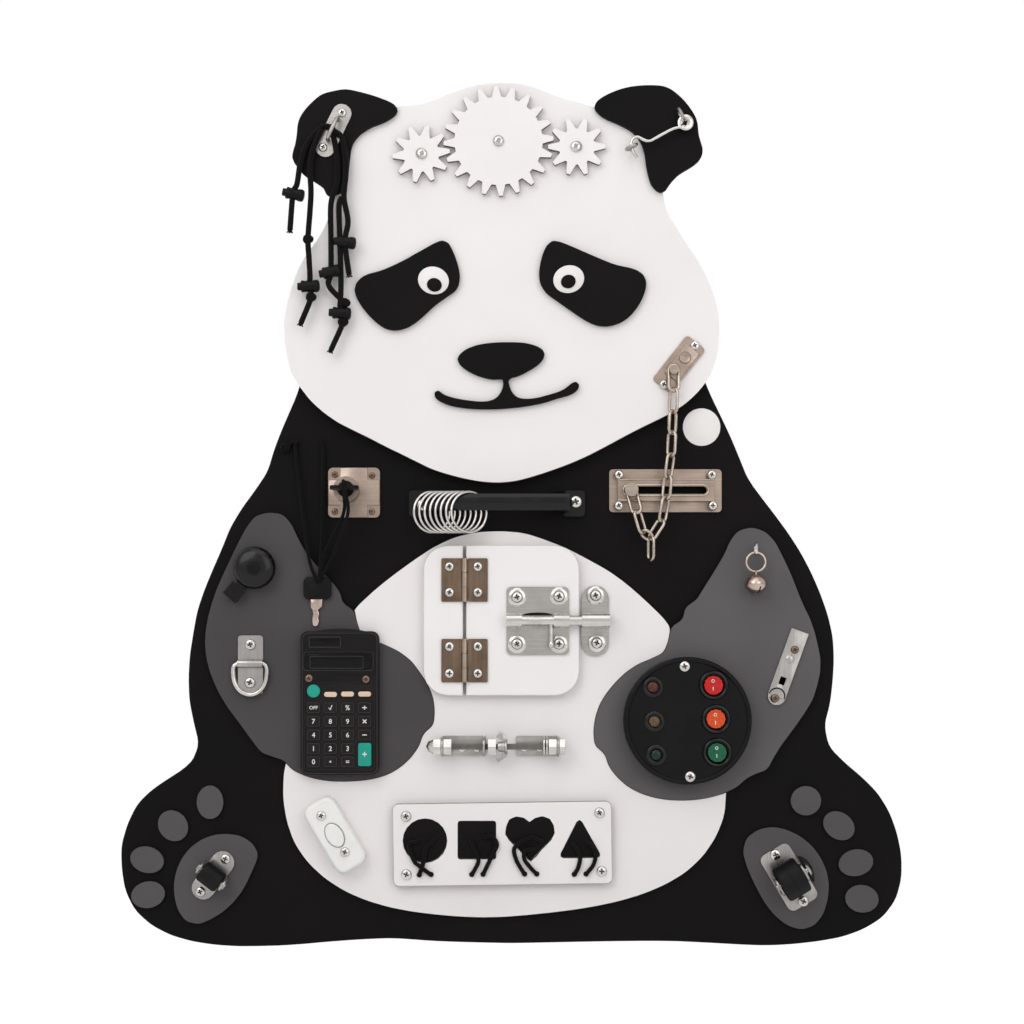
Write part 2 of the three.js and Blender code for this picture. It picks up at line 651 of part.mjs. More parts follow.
const leftEar = join(
  plate(smoothOutline(leftEarPixels, earFace, earDivisions), headFace + seatGap, earFace),
  moved(padEye, padEyeSpot.x, padEyeSpot.y, earFace - seatGap, new THREE.Euler(0, 0, padEyeTilt)),
);
addPiece(board, 'left_ear_panel', leftEar, blackPaint);

const laceRadius = 2;
const laceHeight = earFace + padEyeThickness + seatGap + laceRadius;
const lockRadius = 5.4;
const lockLength = 21.6;
const beadRadius = 4;
const knotRadius = 3.6;
// Rope routes in pixels, each from the pad eye to its free end
const lacePixels = [
  [[343, 133], [334, 124], [322, 123], [308, 138], [301, 156], [297, 180], [293, 190], [290, 226]],
  [[322, 123], [314, 142], [310, 162], [311, 187], [310, 207], [308, 235], [309, 254], [310, 274],
    [308.6, 282], [311, 293], [301, 319]],
  [[343, 133], [331, 142], [337, 162], [340, 182], [331, 203], [331, 234], [331, 268], [329, 282],
    [345, 299]],
  [[343, 133], [346, 154], [345, 174], [343, 193], [347, 217], [345, 238], [349, 270]],
  [[343, 193], [339, 203], [340, 280], [340, 309], [343, 318], [331, 346]],
];
const laceStepLength = 13;
const lockPixels = [[293, 190], [308.6, 282], [331, 268], [345, 238], [340, 309]];
const beadPixels = [[308, 235]];
const knotPixels = [[311, 293], [343, 318]];

/** Rope along photographed points at one height. */
function laceTube(pixels, height, radius) {
  const points = pixels.map((pixel) => {
    const spot = place(pixel, height);
    return new THREE.Vector3(spot.x, spot.y, height);
  });
  const length = new THREE.CatmullRomCurve3(points, false, 'centripetal').getLength();
  return tube(points, radius, Math.max(3, Math.round(length / laceStepLength)), cordFacets);
}

const ball = (spot, height, radius) => {
  const sphere = new THREE.SphereGeometry(radius, smallSides, smallSides / 2);
  sphere.translate(spot.x, spot.y, height);
  return solidOf(sphere);
};
const lacingRopes = join(
  ...lacePixels.map((pixels) => laceTube(pixels, laceHeight, laceRadius)),
  ...lockPixels.map((pixel) => {
    const spot = place(pixel, laceHeight);
    return rodX(spot.x - lockLength / 2, spot.x + lockLength / 2, spot.y, laceHeight, lockRadius, smallSides);
  }),
  ...beadPixels.map((pixel) => ball(place(pixel, laceHeight), laceHeight, beadRadius)),
  ...knotPixels.map((pixel) => ball(place(pixel, laceHeight), laceHeight, knotRadius)),
);
addPiece(board, 'lacing_ropes', lacingRopes, rope);

// Door chain: anchor plate on the head, links, a knob that slides in a slotted keeper

const anchorPixels = [679, 361.75];
const anchorTilt = THREE.MathUtils.degToRad(51.8);
const anchorLength = 45;
const anchorWidth = 19;
const anchorThickness = 1.6;
const chainPostPixels = [674, 366];
const chainPostRadius = 1.8;
const chainPostHeight = 6;
const chainPostHeadRadius = 3.6;
const chainPostHead = 1.6;
const chainWire = 1.2;
const linkHalfWidth = 3.7;
const postReach = 4.4;
const linkSteps = 9;
const linkSides = 5;
const linkBite = 0.3;
const keeperLength = 90;
const keeperWidth = 34.4;
const keeperCorner = 3;
const keeperThickness = 1.2;
const keeperChannelLength = 77;
const keeperChannelWidth = 17.6;
const keeperChannelRise = 7;
const keeperSlotLength = 64.9;
const keeperSlotWidth = 5.8;
const keeperPixels = [666, 488.5];
const knobNeckRadius = 1.8;
const knobFootRadius = 5;
const knobFootThickness = 2;
const knobHeadRadius = 5.6;
const knobHeadThickness = 3;
const knobNeckLength = 6.2;
const knobPixels = [631, 489];
const anchorFace = headFace + seatGap + anchorThickness;
const keeperBack = boardFace + seatGap;
const keeperTop = keeperBack + keeperChannelRise;
const keeperSpot = place(keeperPixels, keeperTop);
const knobX = place(knobPixels, keeperTop).x;
const postSpot = place(chainPostPixels, anchorFace + chainPostHeight);
const anchorSpot = place(anchorPixels, anchorFace);
const chainHeight = anchorFace + linkHalfWidth + 2 * chainWire;
const firstLinkHeight = anchorFace + linkHalfWidth / 2 + chainWire;
const knobLinkHeight = keeperTop + linkHalfWidth;

const anchorPlate = join(
  moved(plate(roundRectangle(0, 0, anchorLength, anchorWidth, keeperCorner), 0, anchorThickness),
    anchorSpot.x, anchorSpot.y, headFace + seatGap, new THREE.Euler(0, 0, anchorTilt)),
  disc(postSpot.x, postSpot.y, chainPostRadius, headFace + 2 * seatGap, anchorFace + chainPostHeight, smallSides),
  disc(postSpot.x, postSpot.y, chainPostHeadRadius, anchorFace + chainPostHeight - seatGap,
    anchorFace + chainPostHeight + chainPostHead, roundSides),
);
addPiece(board, 'chain_anchor_plate', anchorPlate, nickel);

const channelInside = keeperChannelLength - 2 * keeperThickness;
const channelHollow = box(0, 0, channelInside, keeperChannelWidth - 2 * keeperThickness, -overrun,
  keeperChannelRise - keeperThickness);
const chainKeeper = cut(
  join(
    plate(roundRectangle(0, 0, keeperLength, keeperWidth, keeperCorner), 0, keeperThickness),
    box(0, 0, keeperChannelLength, keeperChannelWidth, 0, keeperChannelRise)),
  channelHollow,
  plate(roundRectangle(0, 0, keeperSlotLength, keeperSlotWidth, keeperSlotWidth / 2 - seatGap / 2),
    0, keeperChannelRise + overrun),
);
addPiece(groupAt(board, keeperSpot, keeperBack), 'chain_keeper', chainKeeper, nickel);

// The knob's foot hides in the channel, its neck passes the slot, its head is outside
const footTop = keeperTop - keeperThickness - seatGap;
const knobHeadBack = keeperTop + knobNeckLength;
const chainKnob = join(
  disc(0, 0, knobFootRadius, footTop - knobFootThickness - keeperTop, footTop - keeperTop),
  disc(0, 0, knobNeckRadius, footTop - knobFootThickness / 2 - keeperTop, knobNeckLength + seatGap, smallSides),
  disc(0, 0, knobHeadRadius, knobNeckLength, knobNeckLength + knobHeadThickness),
);
addPiece(groupAt(board, new THREE.Vector2(knobX, keeperSpot.y), keeperTop), 'chain_knob', chainKnob, nickel);

// Junctions of the links, from the post on the anchor plate to the knob, and a loose link's end
const junctionPixels = [
  [674, 386], [673, 408], [672, 429], [671, 451], [668, 473], [666, 494], [662, 517], [651, 534],
  [643, 528], [637, 508],
];
const looseEndPixels = [651, 555];
const looseJunction = 8;
const looseRoll = Math.PI / 3;
const junctions = [
  new THREE.Vector3(postSpot.x, postSpot.y, firstLinkHeight),
  ...junctionPixels.map((pixel) => {
    const spot = place(pixel, chainHeight);
    return new THREE.Vector3(spot.x, spot.y, chainHeight);
  }),
  new THREE.Vector3(knobX, keeperSpot.y, knobLinkHeight),
];

/** Link between two junctions, turned about its own length; an end may hold a post. */
function chainLink(start, end, roll, startReach, endReach) {
  const along = new THREE.Vector3().subVectors(end, start).normalize();
  const from = start.clone().addScaledVector(along, -startReach);
  const to = end.clone().addScaledVector(along, endReach);
  const middle = new THREE.Vector3().addVectors(from, to).multiplyScalar(1 / 2);
  const side = new THREE.Vector3(-along.y, along.x, 0).normalize();
  const up = new THREE.Vector3().crossVectors(along, side);
  const basis = new THREE.Matrix4().makeBasis(along, side, up);
  const turn = new THREE.Euler().setFromRotationMatrix(
    basis.multiply(new THREE.Matrix4().makeRotationX(roll)));
  const halfLength = from.distanceTo(to) / 2;
  return moved(linkRing(halfLength, linkHalfWidth, chainWire, linkSteps, linkSides), middle.x, middle.y, middle.z, turn);
}

const linkReach = chainWire - linkBite;
const doorChain = join(
  ...junctions.slice(0, -1).map((start, i) => {
    const isFirst = i === 0;
    const isLast = i === junctions.length - 2;
    const roll = i % 2 === 0 || isLast ? 0 : Math.PI / 2;
    return chainLink(start, junctions[i + 1], roll,
      isFirst ? postReach : linkReach, isLast ? postReach : linkReach);
  }),
  (() => {
    const end = place(looseEndPixels, chainHeight);
    return chainLink(junctions[looseJunction], new THREE.Vector3(end.x, end.y, chainHeight), looseRoll,
      linkReach, linkReach);
  })(),
);
addPiece(board, 'door_chain', doorChain, nickel);

// Cabinet lock with its key, and the cord that ties the key and the spare key

const lockPlatePixels = [354, 492];
const lockPlateWidth = 41.6;
const lockPlateHeight = 40;
const lockPlateThickness = 2;
const lockPlateCorner = 4;
const barrelPixels = [347.6, 490.6];
const barrelRadius = 10.2;
const barrelLength = 18;
const plugRadius = 6;
const plugDepth = 8;
const plugClearance = 0.35;
const keyBowWidth = 22.4;
const keyBowDepth = 20;
const keyBowThickness = 2.8;
const keyBowNeck = 3;
const keyBowHole = 3;
const keyBowHoleInset = 6;
const keyBowCorner = 6;
const bladeWidth = 8;
const bladeThickness = 2.2;
const lockBack = boardFace + seatGap;
const barrelTop = lockBack + lockPlateThickness + barrelLength;
const barrelSpot = place(barrelPixels, lockBack);
const lockPlateSpot = place(lockPlatePixels, lockBack + lockPlateThickness);
const plugBack = barrelTop - plugDepth;

const cabinetLock = cut(
  join(
    moved(plate(roundRectangle(0, 0, lockPlateWidth, lockPlateHeight, lockPlateCorner), 0, lockPlateThickness),
      lockPlateSpot.x, lockPlateSpot.y, lockBack),
    disc(barrelSpot.x, barrelSpot.y, barrelRadius, lockBack, barrelTop, fineSides)),
  disc(barrelSpot.x, barrelSpot.y, plugRadius + plugClearance, plugBack - plugClearance, barrelTop + overrun,
    fineSides),
);
addPiece(board, 'cabinet_lock', cabinetLock, steel);

/** Flat key bow that stands out from the lock: its outline lies in X and height. */
function keyBow() {
  const outline = roundRectangle(0, keyBowDepth / 2, keyBowWidth, keyBowDepth, keyBowCorner);
  const hole = disc(0, keyBowDepth - keyBowHoleInset, keyBowHole, -overrun, keyBowThickness + overrun, smallSides);
  const flat = cut(plate(outline, 0, keyBowThickness), hole);
  return moved(flat, 0, keyBowThickness / 2, 0, new THREE.Euler(Math.PI / 2, 0, 0));
}
const lockKey = join(
  disc(0, 0, plugRadius, plugBack - barrelTop, 0, fineSides),
  box(0, 0, bladeWidth, bladeThickness, -overrun, keyBowNeck + overrun),
  moved(keyBow(), 0, 0, keyBowNeck),
);
addPiece(groupAt(board, barrelSpot, barrelTop), 'lock_key', lockKey, blackPlastic);

const keyCordRadius = 1.4;
const keyCordStepLength = 12;
const fobPixels = [317.3, 586];
const fobWidth = 22;
const fobHeight = 18;
const fobThickness = 3.2;
const fobCorner = 5;
const fobHoleInset = 4;
const spareBladeWidth = 6;
const spareBladeLength = 14.5;
const spareShoulderWidth = 10;
const spareShoulderLength = 8;
const spareBladeThickness = 2;
const bowHoleHeight = barrelTop + keyBowNeck + keyBowDepth - keyBowHoleInset;
const bowEdgeHeight = barrelTop + keyBowNeck + keyBowDepth + 2 * keyCordRadius;
const fobBack = armFace + seatGap;
const fobSpot = place(fobPixels, fobBack + fobThickness);
const fobHoleSpot = new THREE.Vector2(fobSpot.x, fobSpot.y + fobHeight / 2 - fobHoleInset);
const cordSide = keyBowThickness / 2 + 2 * keyCordRadius;
const cordDropShare = 5;
const strandPixels = {
  firstHole: [297, 441.5], firstTurn: [295, 449], firstLow: [309, 560],
  secondHole: [321.5, 441.5], secondTurn: [323, 452], secondLow: [322, 560],
  bowLeftLow: [326, 548], bowRightLow: [333, 556],
};
const strandHeights = { hang: boardFace + 3 * keyCordRadius, low: fobBack + fobThickness + keyCordRadius };
const strandPoint = (name, height) => {
  const spot = place(strandPixels[name], height);
  return new THREE.Vector3(spot.x, spot.y, height);
};
const knotPoint = new THREE.Vector3(fobHoleSpot.x, fobHoleSpot.y, strandHeights.low);

/** Cord strand through points, divided by its own length. */
function strand(points) {
  const length = new THREE.CatmullRomCurve3(points, false, 'centripetal').getLength();
  return tube(points, keyCordRadius, Math.round(length / keyCordStepLength) + 3, cordFacets);
}
const keyCord = join(
  strand([
    strandPoint('firstHole', boardFace + 2 * seatGap),
    strandPoint('firstHole', strandHeights.hang - keyCordRadius), strandPoint('firstTurn', strandHeights.hang),
    strandPoint('firstLow', strandHeights.low), knotPoint,
  ]),
  strand([
    strandPoint('secondHole', boardFace + 2 * seatGap),
    strandPoint('secondHole', strandHeights.hang - keyCordRadius), strandPoint('secondTurn', strandHeights.hang),
    strandPoint('secondLow', strandHeights.low), knotPoint,
  ]),
  strand([
    knotPoint, strandPoint('bowLeftLow', strandHeights.low + keyCordRadius),
    new THREE.Vector3(barrelSpot.x - keyCordRadius, barrelSpot.y - cordDropShare * cordSide,
      bowHoleHeight - barrelLength / 2),
    new THREE.Vector3(barrelSpot.x, barrelSpot.y - cordSide, bowHoleHeight),
    new THREE.Vector3(barrelSpot.x, barrelSpot.y, bowHoleHeight),
    new THREE.Vector3(barrelSpot.x, barrelSpot.y + cordSide, bowHoleHeight + keyCordRadius),
    new THREE.Vector3(barrelSpot.x, barrelSpot.y + cordSide, bowEdgeHeight - keyCordRadius),
    new THREE.Vector3(barrelSpot.x, barrelSpot.y, bowEdgeHeight + keyCordRadius),
    new THREE.Vector3(barrelSpot.x + keyCordRadius, barrelSpot.y - cordSide, bowEdgeHeight),
    new THREE.Vector3(barrelSpot.x + 2 * keyCordRadius, barrelSpot.y - cordDropShare * cordSide,
      bowHoleHeight - keyCordRadius),
    strandPoint('bowRightLow', strandHeights.low + 2 * keyCordRadius), knotPoint,
  ]),
  ball(knotPoint, knotPoint.z, 2 * keyCordRadius),
  plate(roundRectangle(fobSpot.x, fobSpot.y, fobWidth, fobHeight, fobCorner), fobBack, fobBack + fobThickness),
  box(fobSpot.x, fobSpot.y - (fobHeight + spareShoulderLength) / 2, spareShoulderWidth,
    spareShoulderLength + overrun, fobBack + seatGap, fobBack + seatGap + spareBladeThickness),
  box(fobSpot.x, fobSpot.y - fobHeight / 2 - spareShoulderLength - spareBladeLength / 2, spareBladeWidth,
    spareBladeLength + overrun, fobBack + seatGap, fobBack + seatGap + spareBladeThickness),
);
addPiece(board, 'key_cord', keyCord, rope);

// Bow handle with a bundle of split rings on its bar

const handlePixels = { leftFoot: [420, 502], rightFoot: [574, 502], bar: [497, 497] };
const footWidth = 17.6;
const footHeight = 20.8;
const footThickness = 3;
const footCorner = 3;
const legWidth = 5;
const barHeight = 13.6;
const barDepth = 6;
const legHeightShare = 0.8;
const barStand = 22;
const handleBack = boardFace + seatGap;
const barLevel = boardFace + barStand;
const leftFootSpot = place(handlePixels.leftFoot, handleBack + footThickness);
const rightFootSpot = place(handlePixels.rightFoot, handleBack + footThickness);
const barSpot = place(handlePixels.bar, barLevel);
const leftLegX = leftFootSpot.x + (footWidth - legWidth) / 2;
const rightLegX = rightFootSpot.x - (footWidth - legWidth) / 2;
const barOutline = ovalPoints(0, 0, barDepth / 2, barHeight / 2, roundSides);
const barLength = rightLegX - leftLegX + legWidth;
const barSolid = moved(plate(barOutline, -barLength / 2, barLength / 2),
  (leftLegX + rightLegX) / 2, barSpot.y, barLevel, new THREE.Euler(0, Math.PI / 2, 0));
const handleLegs = [leftLegX, rightLegX].map((x) =>
  plate(roundRectangle(x, barSpot.y, legWidth, barHeight * legHeightShare, legWidth / 3),
    handleBack + overrun / 2, barLevel));
const bowHandle = join(
  barSolid, ...handleLegs,
  ...[leftFootSpot, rightFootSpot].map((spot) =>
    plate(roundRectangle(spot.x, barSpot.y, footWidth, footHeight, footCorner), handleBack,
      handleBack + footThickness)),
);
addPiece(board, 'bow_handle', bowHandle, blackPlastic);

const keyRingRadius = 16.4;
const keyRingWire = 1.3;
const keyRingPitch = 4.2;
const keyRingCount = 8;
const keyRingTilt = THREE.MathUtils.degToRad(30);
const keyRingSteps = 14;
const keyRingStart = leftLegX + legWidth / 2 + keyRingWire;
const keyRingHang = barSpot.y + barHeight / 2 + seatGap - (keyRingRadius - keyRingWire);
const oneRing = moved(wireRing(keyRingRadius, keyRingWire, keyRingSteps, linkSides), 0, 0, 0,
  new THREE.Euler(0, keyRingTilt, 0));
const keyRings = join(...Array.from({ length: keyRingCount }, (_, i) =>
  moved(oneRing, i * keyRingPitch, 0, 0)));
addPiece(groupAt(board, new THREE.Vector2(keyRingStart, keyRingHang), barLevel), 'key_rings', keyRings, steel);

// Lever bell

const bellPixels = [254.5, 565];
const bellBaseRadius = 14;
const bellBaseThickness = 3;
const bellPostRadius = 3;
const bellRimRadius = 17;
const bellRimHeight = 7;
const bellHeight = 15;
const bellWall = 1.4;
const bellCapRadius = 5.8;
const bellCapHeight = 1.6;
const bellShoulderShares = [0.94, 0.78];
const bellCrownShares = [0.76, 0.92];
const bellTopShare = 0.45;
const bellInnerTopShare = 0.42;
const bellInnerCrownShare = 0.7;
const bellInnerShoulderShares = [0.86, 0.76];
const leverPinOffset = 9;
const leverPinRadius = 1.5;
const leverEyeRadius = 3.6;
const leverThickness = 2;
const leverPadWidth = 13;
const leverPadLength = 12;
const leverPadHeight = 5;
const leverPadGap = 2.2;
const leverClearance = 0.35;
const leverDirection = THREE.MathUtils.degToRad(230);
const bellBack = armFace + seatGap;
const bellSpot = place(bellPixels, bellBack + bellRimHeight);
const bellDome = join(
  disc(0, 0, bellBaseRadius, 0, bellBaseThickness, roundSides),
  disc(0, 0, bellPostRadius, 0, bellHeight, smallSides),
  disc(leverPinOffset * Math.cos(leverDirection), leverPinOffset * Math.sin(leverDirection), leverPinRadius,
    0, bellBaseThickness + leverClearance + leverThickness, smallSides),
  turned([
    [bellRimRadius, bellRimHeight], [bellRimRadius, bellRimHeight + bellWall],
    [bellRimRadius * bellShoulderShares[0], bellHeight * bellShoulderShares[1]],
    [bellRimRadius * bellCrownShares[0], bellHeight * bellCrownShares[1]],
    [bellRimRadius * bellTopShare, bellHeight], [0, bellHeight], [0, bellHeight - bellWall],
    [bellRimRadius * bellInnerTopShare, bellHeight - bellWall],
    [bellRimRadius * bellInnerCrownShare, bellHeight * bellCrownShares[1] - bellWall],
    [bellRimRadius * bellInnerShoulderShares[0], bellHeight * bellInnerShoulderShares[1] - bellWall / 2],
    [bellRimRadius - bellWall, bellRimHeight],
    [bellRimRadius, bellRimHeight],
  ], fineSides),
  disc(0, 0, bellCapRadius, bellHeight - bellWall / 2, bellHeight + bellCapHeight, roundSides),
);
addPiece(groupAt(board, bellSpot, bellBack), 'bell_dome', bellDome, blackPlastic);

const leverReach = bellRimRadius + leverPadGap - leverPinOffset;
const bellLever = cut(
  join(
    disc(0, 0, leverEyeRadius, 0, leverThickness, roundSides),
    box(leverReach / 2, 0, leverReach + overrun, 2 * leverEyeRadius, 0, leverThickness),
    box(leverReach + leverPadLength / 2, 0, leverPadLength, leverPadWidth, 0, leverPadHeight)),
  disc(0, 0, leverPinRadius + leverClearance, -overrun, leverThickness + overrun, smallSides),
);
const leverPivot = new THREE.Vector2(
  bellSpot.x + leverPinOffset * Math.cos(leverDirection),
  bellSpot.y + leverPinOffset * Math.sin(leverDirection));
addPiece(groupAt(board, leverPivot, bellBack + bellBaseThickness + leverClearance, leverDirection),
  'bell_lever', bellLever, blackPlastic);

// D-ring fitting

const dRingPixels = { strap: [250, 661.5], plate: [250.5, 663] };
const dPlateWidth = 20;
const dPlateLength = 46.5;
const dPlateThickness = 1.4;
const dPlateCorner = 2.5;
const dWire = 1.8;
const dBowShare = 1.2;
const dHalfWidth = 13.3;
const dStraight = 9;
const dStrapWall = 1.3;
const dClearance = 0.4;
const dBack = armFace + seatGap;
const dAxisHeight = dBack + dPlateThickness + dClearance + dWire;
const strapSpot = place(dRingPixels.strap, dAxisHeight);
const dPlateSpot = place(dRingPixels.plate, dBack + dPlateThickness);
const strapRadius = dWire + dClearance + dStrapWall;
const strapHump = cut(
  join(
    rodX(-dPlateWidth / 2, dPlateWidth / 2, 0, 0, strapRadius),
    box(0, 0, dPlateWidth, 2 * strapRadius, dBack - dAxisHeight, 0)),
  rodX(-dPlateWidth, dPlateWidth, 0, 0, dWire + dClearance, roundSides),
  box(0, 0, 2 * dPlateWidth, 4 * strapRadius, dBack - dAxisHeight - 2 * strapRadius, dBack - dAxisHeight),
);
const dBracket = join(
  moved(strapHump, strapSpot.x, strapSpot.y, dAxisHeight),
  plate(roundRectangle(dPlateSpot.x, dPlateSpot.y, dPlateWidth, dPlateLength, dPlateCorner), dBack,
    dBack + dPlateThickness),
);
addPiece(board, 'd_ring_bracket', dBracket, steel);

const dCurve = [];
for (let step = 0; step <= 8; step += 1) {
  const angle = Math.PI + (Math.PI * step) / 8;
  dCurve.push(new THREE.Vector3(
    dHalfWidth * Math.cos(angle), -dStraight + dHalfWidth * dBowShare * Math.sin(angle), 0));
}
const dShoulder = dWire;
const dRing = loopTube([
  ...dCurve, new THREE.Vector3(dHalfWidth, -dShoulder, 0), new THREE.Vector3(dHalfWidth - dShoulder, 0, 0),
  new THREE.Vector3(0, 0, 0), new THREE.Vector3(dShoulder - dHalfWidth, 0, 0),
  new THREE.Vector3(-dHalfWidth, -dShoulder, 0),
], dWire, 24, wireSides);
addPiece(groupAt(board, strapSpot, dAxisHeight), 'd_ring', dRing, steel);

// Pocket calculator

const calculatorPixels = [339.6, 700];
const calculatorWidth = 62.5;
const calculatorHeight = 114.5;
const calculatorThickness = 9;
const calculatorCorner = 6;
const calculatorEdge = 1.5;
const keypadPocketDepth = 2.4;
const keypadSideMargin = 7.1;
const keypadEndMargin = 6.3;
const keypadPocketCorner = 2;
const keypadPixels = [339.3, 722.8];
const keypadSheet = 1.2;
const keyRise = 2.4;
const keyHalfWidth = 4.6;
const keyHalfHeight = 3.5;
const keyColumns = [313.6, 330.5, 347.6, 364.6];
const keyRows = [704.6, 718.1, 731.4, 744.9, 758.4];
const functionKeyRow = 691;
const functionKeyColumns = [330.6, 347.6, 364.6];
const functionKeyHalfWidth = 5;
const functionKeyHalfHeight = 2.1;
const offKeyPixels = [313.6, 687.8];
const offKeyRadius = 5;
const plusKeyPixels = [364.7, 751.3];
const plusKeyWidth = 10.6;
const plusKeyHeight = 18.6;
const plusKeyCorner = 1.6;
const plusKeyTravel = 1;
const plusKeyClearance = 0.4;
const keypadPocketWidth = (keyColumns.at(-1) - keyColumns[0]) * pixelSize + 2 * keypadSideMargin;
const keypadPocketHeight = (keyRows.at(-1) - offKeyPixels[1]) * pixelSize + 2 * keypadEndMargin;
const windowPixels = [338.5, 658];
const windowWidth = 55;
const windowHeight = 14.4;
const windowDepth = 1;
const windowCorner = 1.5;
const calculatorBack = armFace + seatGap;
const calculatorFace = calculatorBack + calculatorThickness;
const calculatorSpot = place(calculatorPixels, calculatorFace);
const keypadSpot = place(keypadPixels, calculatorFace);
const plusKeySpot = place(plusKeyPixels, calculatorFace);
const windowSpot = place(windowPixels, calculatorFace);
const pocketFloor = calculatorFace - keypadPocketDepth;
const plusWellFloor = pocketFloor - plusKeyTravel - plusKeyClearance;
const plusWell = (grow, back, front) => plate(roundRectangle(plusKeySpot.x, plusKeySpot.y,
  plusKeyWidth + 2 * grow, plusKeyHeight + 2 * grow, plusKeyCorner), back, front);
const calculatorCase = cut(
  plate(roundRectangle(calculatorSpot.x, calculatorSpot.y, calculatorWidth, calculatorHeight, calculatorCorner),
    calculatorBack, calculatorFace, calculatorEdge),
  plate(roundRectangle(keypadSpot.x, keypadSpot.y, keypadPocketWidth, keypadPocketHeight, keypadPocketCorner),
    pocketFloor, calculatorFace + overrun),
  plate(roundRectangle(windowSpot.x, windowSpot.y, windowWidth, windowHeight, windowCorner),
    calculatorFace - windowDepth, calculatorFace + overrun),
  plusWell(plusKeyClearance, plusWellFloor, calculatorFace),
);
addPiece(board, 'calculator_case', calculatorCase, blackPlastic);

const sheetBack = pocketFloor + seatGap;
const keyTop = pocketFloor + seatGap + keyRise;
const oneKey = (column, row, halfWidth, halfHeight) => {
  const spot = place([column, row], keyTop);
  return box(spot.x, spot.y, 2 * halfWidth, 2 * halfHeight, sheetBack + seatGap, keyTop);
};
const lastRows = keyRows.slice(3);
const lastColumn = keyColumns.at(-1);
const keypadKeys = keyRows.flatMap((row) => keyColumns
  .filter((column) => !(column === lastColumn && lastRows.includes(row)))
  .map((column) => oneKey(column, row, keyHalfWidth, keyHalfHeight)));
const offKeySpot = place(offKeyPixels, keyTop);
const calculatorKeypad = cut(
  join(
    plate(roundRectangle(keypadSpot.x, keypadSpot.y, keypadPocketWidth - 2 * seatGap,
      keypadPocketHeight - 2 * seatGap, keypadPocketCorner), sheetBack, sheetBack + keypadSheet),
    ...keypadKeys,
    ...functionKeyColumns.map((column) =>
      oneKey(column, functionKeyRow, functionKeyHalfWidth, functionKeyHalfHeight)),
    disc(offKeySpot.x, offKeySpot.y, offKeyRadius, sheetBack + seatGap, keyTop)),
  plusWell(plusKeyClearance, sheetBack - overrun, calculatorFace + overrun),
);
addPiece(board, 'calculator_keypad', calculatorKeypad, keypadGrey);
addPiece(board, 'calculator_plus_key',
  plusWell(0, pocketFloor - plusKeyClearance / 2, keyTop + seatGap), greenPlastic);

// Small door: a fixed strip, a leaf, two hinges and a barrel bolt

const doorThickness = 8;
const doorGap = 2.4;
const doorHeight = 119.5;
const stripWidth = 31.5;
const leafWidth = 90;
const doorCorner = 19.5;
const doorEdge = 0.8;
const doorPixels = [464.6, 617.6];
const doorBack = bellyFace + seatGap;
const doorFace = doorBack + doorThickness;
const doorSpot = place(doorPixels, doorFace);

/** Outline with two round corners at its far side and a straight side near the hinge line. */
function doorOutline(near, far) {
  const side = Math.sign(far - near);
  const points = [new THREE.Vector2(near, -doorHeight / 2)];
  for (const [sideY, startShare] of [[-1, -0.5], [1, 0]]) {
    for (let step = 0; step <= 6; step += 1) {
      const angle = Math.PI * (startShare + step / 12);
      points.push(new THREE.Vector2(
        far + side * doorCorner * (Math.cos(angle) - 1),
        sideY * (doorHeight / 2 - doorCorner) + doorCorner * Math.sin(angle)));
    }
  }
  points.push(new THREE.Vector2(near, doorHeight / 2));
  return side > 0 ? points : points.reverse();
}
const doorGroup = groupAt(board, doorSpot, 0);
addPiece(doorGroup, 'door_hinge_strip',
  plate(doorOutline(-doorGap / 2, -doorGap / 2 - stripWidth), doorBack, doorFace, doorEdge), whitePaint);
addPiece(doorGroup, 'door_leaf',
  plate(doorOutline(doorGap / 2, doorGap / 2 + leafWidth), doorBack, doorFace, doorEdge), whitePaint);

const hingeHeight = 34.5;
const hingeLeafWidth = 18.4;
const hingeLeafThickness = 1.2;
const knuckleRadius = 2.3;
const knuckleGap = 0.3;
const hingePinRadius = 1.1;
const hingePinClearance = 0.35;
const hingeCorner = 1;
const hingeRowPixels = { upper: 576.5, lower: 657.2 };
const hingeAxisHeight = doorFace + seatGap + knuckleRadius;
const knuckleLength = (hingeHeight - 2 * knuckleGap) / 3;
const knuckleStep = knuckleLength + knuckleGap;

/** One leaf of a hinge around its own pin line; side is -1 for the fixed leaf, 1 for the moving one. */
function hingeLeaf(side) {
  const rows = side < 0 ? [-knuckleStep, knuckleStep] : [0];
  const near = knuckleRadius + knuckleGap;
  const flat = plate(
    roundRectangle(side * (near + hingeLeafWidth) / 2, 0, hingeLeafWidth - near, hingeHeight, hingeCorner, 2),
    -knuckleRadius, hingeLeafThickness - knuckleRadius);
  const knuckles = rows.flatMap((y) => [
    rodY(y - knuckleLength / 2, y + knuckleLength / 2, 0, 0, knuckleRadius, roundSides),
    box(side * near / 2, y, near + 2 * hingeCorner, knuckleLength, -knuckleRadius,
      hingeLeafThickness - knuckleRadius),
  ]);
  const leaf = join(flat, ...knuckles);
  if (side < 0) return join(leaf, rodY(-hingeHeight / 2, hingeHeight / 2, 0, 0, hingePinRadius, smallSides));
  return cut(leaf, rodY(-hingeHeight, hingeHeight, 0, 0, hingePinRadius + hingePinClearance, smallSides));
}
for (const [name, row] of Object.entries(hingeRowPixels)) {
  const rowSpot = place([doorPixels[0], row], hingeAxisHeight);
  const hinge = groupAt(board, new THREE.Vector2(doorSpot.x, rowSpot.y), hingeAxisHeight);
  addPiece(hinge, `${name}_hinge_fixed_leaf`, hingeLeaf(-1), bronze);
  addPiece(hinge, `${name}_hinge_moving_leaf`, hingeLeaf(1), bronze);
}

// Barrel bolt on the door and its keeper on the belly


